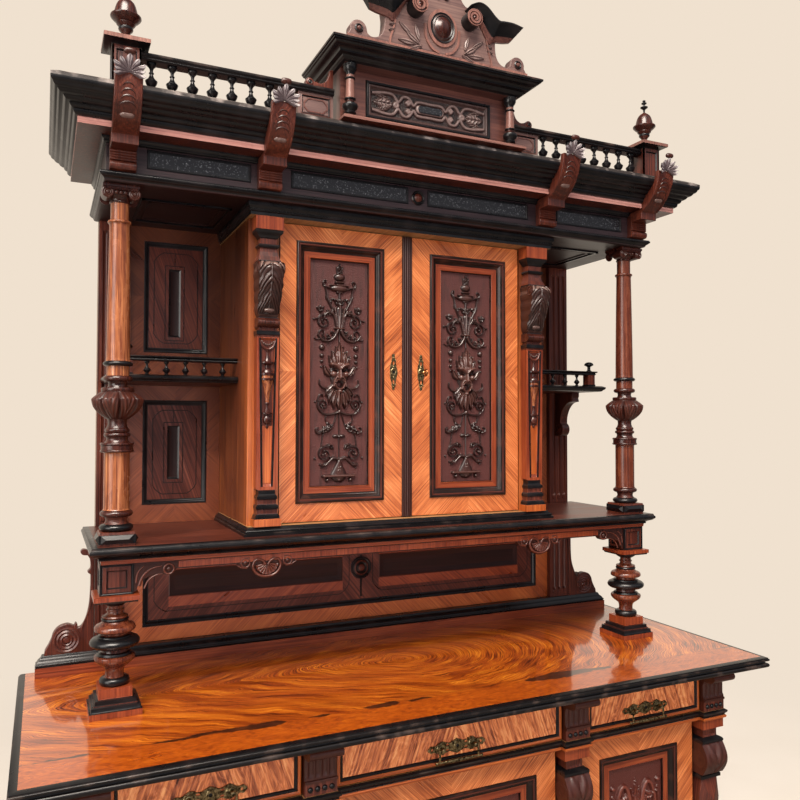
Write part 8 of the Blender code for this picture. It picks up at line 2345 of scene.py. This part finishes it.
for sign in (-1, 1):
    # neck: rows across its moulding, each a band that steps back
    upper = smoothLine([(vx - 0.010, vz + 0.026), (vx + 0.012, vz + 0.036), (vx + 0.032, vz + 0.031),
                        (vx + 0.052, vz + 0.014), (vx + 0.064, vz + 0.0065),
                        (vx + 0.076, vz + 0.0075), (vx + 0.100, vz + 0.0085), (vx + 0.126, vz + 0.004)], 5)
    lower = smoothLine([(vx - 0.002, vz + 0.018), (vx + 0.016, vz + 0.014), (vx + 0.028, vz - 0.002),
                        (vx + 0.040, vz - 0.022), (vx + 0.052, vz - 0.037),
                        (vx + 0.064, vz - 0.031), (vx + 0.090, vz - 0.027), (vx + 0.106, vz - 0.023)], 5)
    steps = [(0.0, 1.0, "atticVeneer"), (0.02, 1.0, "wornBlack"), (0.08, 1.0, "black"),
             (0.16, 0.86, "black"), (0.30, 0.80, "black"), (0.46, 0.58, "black"),
             (0.55, 0.55, "black"), (0.70, 0.34, "black"), (0.80, 0.31, "atticVeneer"),
             (0.92, 0.16, "atticVeneer"), (1.0, 0.12, "atticVeneer"), (1.0, -0.1, "atticVeneer")]
    rows = []
    for share, out, _ in steps:
        rows.append([(sign * (a[0] + (b[0] - a[0]) * share), front - crestSettings["neck"] * out,
                      base + a[1] + (b[1] - a[1]) * share)
                     for a, b in zip(upper, lower)])
    back = [[(p[0], front + 0.002, p[2]) for p in rows[0]]]
    piece.strips(back + rows, [row[2] for row in steps], (1, 0, 0))
    for pick in (0, -1):
        piece.face([back[0][pick]] + [row[pick] for row in rows], "black")
    # volute: a thick roll with a spiral edge
    out = crestSettings["neck"]
    roll = [(0.0190, -0.002, "black"), (0.0190, out - 0.001, "black"), (0.0184, out + 0.0006, "rubbed"),
            (0.0168, out + 0.0006, "rubbed"),
            (0.0162, out - 0.0036, "darkTurned"), (0.0006, out - 0.0030, "darkTurned")]
    turn(piece, (sign * vx, front, base + vz), roll, 40, axis="y")
    wound = [(0.0166 - 0.0118 * t, math.radians(200 - 650 * t)) for t in np.linspace(0, 1, 40)]
    ribbon(piece, [(sign * (vx + r * math.cos(a)), base + vz + r * math.sin(a)) for r, a in wound],
           front - out + 0.0036, 0.0044, 0.0040, "rubbed")
    ballsAt(piece, [(sign * vx, front - out + 0.0034, base + vz)], 0.0046, "darkTurned")
    # ear boss
    ear = rowsOf("atticVeneer", 9.5, -1, 9.5, 2.2, "black", 7, 4.4, 5, 2.2, "atticVeneer", 3.4, 5.2, 0.6,
                 6.2)
    turn(piece, (sign * 0.196, front, base + 0.024), ear, 24, axis="y")
    # raised sprigs and a border under the neck
    for a, b, c, d, w in ((0.056, 0.020, 0.088, 0.042, 6.6), (0.064, 0.018, 0.106, 0.020, 6.6),
                          (0.074, 0.036, 0.104, 0.058, 5.6), (0.056, 0.028, 0.066, 0.060, 5.6),
                          (0.050, 0.016, 0.078, 0.005, 5.0), (0.128, 0.036, 0.114, 0.040, 3.2),
                          (0.127, 0.048, 0.112, 0.052, 3.2), (0.126, 0.060, 0.110, 0.064, 3.2)):
        dx, dz = c - a, d - b
        size = math.hypot(dx, dz)
        leafRows, depth = [], []
        for j in range(9):
            t = j / 8
            w2 = w / 1000 * math.sin(math.pi * min(1, 0.06 + 0.92 * t))
            nx, nz = -dz / size * w2, dx / size * w2
            row = []
            for u, out in ((1, -0.0006), (0.72, 0.0030), (0.38, 0.0040), (0.0, 0.0016), (-0.38, 0.0040),
                           (-0.72, 0.0030), (-1, -0.0006)):
                row.append((sign * (a + dx * t + nx * u), front - out, base + b + dz * t + nz * u))
                depth.append(max(0.0, out / 0.0040))
            leafRows.append(row)
        piece.strips(leafRows, "greyCarved", depth=depth)
    ribbon(piece, smoothLine([(sign * 0.126, base + 0.004), (sign * 0.124, base + 0.020),
                              (sign * 0.116, base + 0.046), (sign * 0.112, base + 0.066)]), front, 0.0040,
                              0.0026, "rubbed")
    ribbon(piece, smoothLine([(sign * 0.008, base + 0.010), (sign * 0.026, base + 0.018),
                              (sign * 0.040, base + 0.040), (sign * 0.042, base + 0.068)]), front, 0.0050,
                              0.0034, "rubbed")
    for k in range(3):
        ballsAt(piece, [(sign * (0.010 + 0.011 * k), front, base + 0.137 + 0.012 * k)], 0.0068 - 0.0008 * k,
                "darkCarved")
ribbon(piece, [(-0.222, base + 0.0045), (0.222, base + 0.0045)], front, 0.0085, 0.0022, "rubbed")
medallion = rowsOf("rubbed", 40, -2, 40, 3.4, 33, 4, "black", 31.8, 6, 28.5, 4.6, "leaf", 27.2, 6, 25, 7.2,
                   "black", 22.8, 5.6, "darkTurned", 20.5, 6.2, 17, 9.8, 12, 12.6, 6, 14.2, 0.6, 14.6)
part = Piece("part")
turn(part, (0, 0, 0), medallion, 44, lambda a, h, n: 0.0004 * math.cos(22 * a) if n in (5, 6) else 0.0, "y")
piece.add([(p[0] * 0.90, front + p[1], base + 0.066 + p[2] * 1.04) for p in part.points], part.faces,
          list(part.finish))
for a in range(0, 360, 60):
    ballsAt(piece, [(0.0135 * math.cos(math.radians(a)), front,
                     base + 0.170 + 0.0135 * math.sin(math.radians(a)))], 0.0058, "darkCarved")
ballsAt(piece, [(0, front - 0.002, base + 0.170)], 0.0066, "darkCarved")
piece.done("carcass", "crest")
print("attic and crest made")

# key with a copper-coloured bow
low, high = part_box("cupboard_key")
piece = Piece("cupboardKey")
kx, kz = (low.x + high.x) / 2, 1.685
shank = [(0.0016, 0.0, "brass"), (0.0028, 0.0010, "brass"), (0.0028, high.y - low.y - 0.0185, "brass"),
         (0.0040, high.y - low.y - 0.0175, "brass"),
         (0.0040, high.y - low.y - 0.0160, "brass"), (0.0028, high.y - low.y - 0.0150, "copper"),
         (0.0026, high.y - low.y - 0.0120, "copper")]
turn(piece, (kx, high.y, kz), shank, 20, axis="y")
bowY, bowR = low.y + 0.0095, 0.0072
rows = []
for n in range(41):
    a = 2 * math.pi * n / 40
    ring = []
    for m in range(10):
        b = 2 * math.pi * m / 10
        r = bowR + 0.0022 * math.cos(b)
        ring.append((kx + 0.0022 * math.sin(b), bowY + r * math.cos(a), kz + r * math.sin(a)))
    rows.append(ring)
piece.strips(rows, "copper", closed=True)
piece.done("key", "cupboard_key")

# CAD nodes that stay in view take a finish of their own
for name, finish in (("base_side_left", "sideVeneer"), ("base_side_right", "sideVeneer"),
                     ("base_back", "boards"), ("base_plinth", "plinth"),
                     ("drawer_box_left", "oak"), ("drawer_box_center", "oak"), ("drawer_box_right", "oak"),
                     ("cupboard_side_left", "innerSide"),
                     ("cupboard_side_right", "innerSide"), ("cupboard_shelf", "oakShelf")):
    held = nodes[name].data
    for index in range(len(held.materials)):
        held.materials[index] = finishes[finish]
print("kept CAD nodes finished")

# floor, light and camera
scene = bpy.context.scene
floorMesh = bpy.data.meshes.new("floor")
floorMesh.from_pydata([(-14, -14, 0), (14, -14, 0), (14, 14, 0), (-14, 14, 0)], [], [[0, 1, 2, 3]])
floorPaint, tree, shader = newMaterial("paleFloor", 0.75)
place = addNode(tree, "TexCoord").outputs["Object"]
dust = addNode(tree, "TexNoise", {"Vector": place, "Scale": 3.0, "Detail": 3.0})
colour = setRamp(addNode(tree, "ValToRGB", {"Fac": dust.outputs["Fac"]}),
                 [(0.3, "#d6cdc1"), (0.7, "#ddd5ca")])
# the camera sees a pale floor that runs into the backdrop; other rays meet a darker room, except behind
# the cabinet,
# where polished faces mirror the pale wall
path = addNode(tree, "LightPath").outputs
dim = addNode(tree, "Mix", {0: path["Is Camera Ray"], 6: hexToLinear("#6f665d"), 7: colour},
              data_type="RGBA")
tree.links.new(dim.outputs[2], shader.inputs["Base Color"])
far = addNode(tree, "VectorMath", {0: place}, operation="LENGTH").outputs["Value"]
fade = addNode(tree, "MapRange", {"Value": far, "From Min": 1.1, "From Max": 3.8},
               interpolation_type="SMOOTHSTEP")
seen = addNode(tree, "Math", {0: fade.outputs[0], 1: path["Is Camera Ray"]}, operation="MULTIPLY")
behind = addNode(tree, "MapRange", {
    "Value": addNode(tree, "SeparateXYZ", {0: place}).outputs[1], "From Min": 0.6, "From Max": 2.4})
mirrored = addNode(tree, "Math", {0: behind.outputs[0], 1: path["Is Glossy Ray"]}, operation="MULTIPLY")
seen = addNode(tree, "Math", {0: seen.outputs[0], 1: mirrored.outputs[0]}, operation="MAXIMUM")
backdrop = addNode(tree, "Emission", {"Color": hexToLinear("#f0e1cf")})
mixed = addNode(tree, "MixShader", {0: seen.outputs[0], 1: shader.outputs[0], 2: backdrop.outputs[0]})
tree.links.new(mixed.outputs[0], tree.nodes["Material Output"].inputs["Surface"])
floorMesh.materials.append(floorPaint)
floor = bpy.data.objects.new("floor", floorMesh)
scene.collection.objects.link(floor)


def areaLight(name, place, aim, size, power, tint, mirrored=True):
    data = bpy.data.lights.new(name, "AREA")
    data.shape = "RECTANGLE"
    data.size, data.size_y = size
    data.energy = power
    data.color = hexToLinear(tint)[:3]
    lamp = bpy.data.objects.new(name, data)
    lamp.location = place
    lamp.rotation_euler = (Vector(aim) - Vector(place)).to_track_quat("-Z", "Y").to_euler()
    lamp.visible_glossy = mirrored
    scene.collection.objects.link(lamp)


areaLight("hallLight", (-1.7, -2.5, 5.4), (0.0, 0.0, 1.3), (3.0, 2.4), 590, "#fff3e6")
areaLight("leftWindow", (-3.1, -1.5, 2.2), (0.0, -0.1, 1.4), (1.8, 2.6), 80, "#fff6ee")
areaLight("frontFill", (0.2, -4.2, 0.9), (0.0, 0.0, 0.4), (3.0, 2.0), 145, "#f1ecf0", mirrored=False)
areaLight("backFill", (2.6, 3.2, 2.6), (0.0, 0.2, 1.2), (2.4, 2.4), 150, "#fff6ee", mirrored=False)

world = bpy.data.worlds.new("paleRoom")
scene.world = world
world.use_nodes = True
tree = world.node_tree
tree.nodes.clear()
path = addNode(tree, "LightPath").outputs
room = addNode(tree, "Background", {"Color": hexToLinear("#d9dde8"), "Strength": 0.18})
# mirrored rays that leave behind the cabinet, and not too steeply, meet the pale wall
leaving = addNode(tree, "SeparateXYZ", {0: addNode(tree, "NewGeometry").outputs["Incoming"]}).outputs
toWall = addNode(tree, "MapRange", {
    "Value": leaving[1], "From Min": 0.0, "From Max": -0.4}, interpolation_type="SMOOTHSTEP")
low = addNode(tree, "MapRange", {
    "Value": leaving[2], "From Min": -0.75, "From Max": -0.45}, interpolation_type="SMOOTHSTEP")
mirrored = addNode(tree, "Math", {0: toWall.outputs[0], 1: low.outputs[0]}, operation="MULTIPLY")
mirrored = addNode(tree, "Math", {0: mirrored.outputs[0], 1: path["Is Glossy Ray"]}, operation="MULTIPLY")
wall = addNode(tree, "Math", {0: mirrored.outputs[0], 1: path["Is Camera Ray"]}, operation="MAXIMUM")
seen = addNode(tree, "Background", {"Color": hexToLinear("#f0e1cf"), "Strength": 1.0})
# mirrored rays that leave upwards in front meet a bright ceiling
forwards = addNode(tree, "MapRange", {
    "Value": leaving[1], "From Min": 0.05, "From Max": 0.4}, interpolation_type="SMOOTHSTEP")
upwards = addNode(tree, "MapRange", {
    "Value": leaving[2], "From Min": -0.12, "From Max": -0.35}, interpolation_type="SMOOTHSTEP")
ceiling = addNode(tree, "Math", {0: forwards.outputs[0], 1: upwards.outputs[0]}, operation="MULTIPLY")
ceiling = addNode(tree, "Math", {0: ceiling.outputs[0], 1: path["Is Glossy Ray"]}, operation="MULTIPLY")
hall = addNode(tree, "Background", {"Color": hexToLinear("#e8e6ec"), "Strength": 0.75})
room = addNode(tree, "MixShader", {0: ceiling.outputs[0], 1: room.outputs[0], 2: hall.outputs[0]})
mixed = addNode(tree, "MixShader", {0: wall.outputs[0], 1: room.outputs[0], 2: seen.outputs[0]})
addNode(tree, "OutputWorld", {0: mixed.outputs[0]})

cameraSettings = {"at": (-0.7803, -1.6293, 1.5692), "yaw": 0.4355, "pitch": 0.0283, "roll": -0.0015,
                  "lens": 34.5}
lens = bpy.data.cameras.new("camera")
lens.lens = cameraSettings["lens"]
lens.sensor_width = 36
camera = bpy.data.objects.new("camera", lens)
camera.location = cameraSettings["at"]
camera.rotation_euler = (math.pi / 2 + cameraSettings["pitch"], cameraSettings["roll"],
                         -cameraSettings["yaw"])
scene.collection.objects.link(camera)
scene.camera = camera
scene.view_settings.view_transform = "Standard"
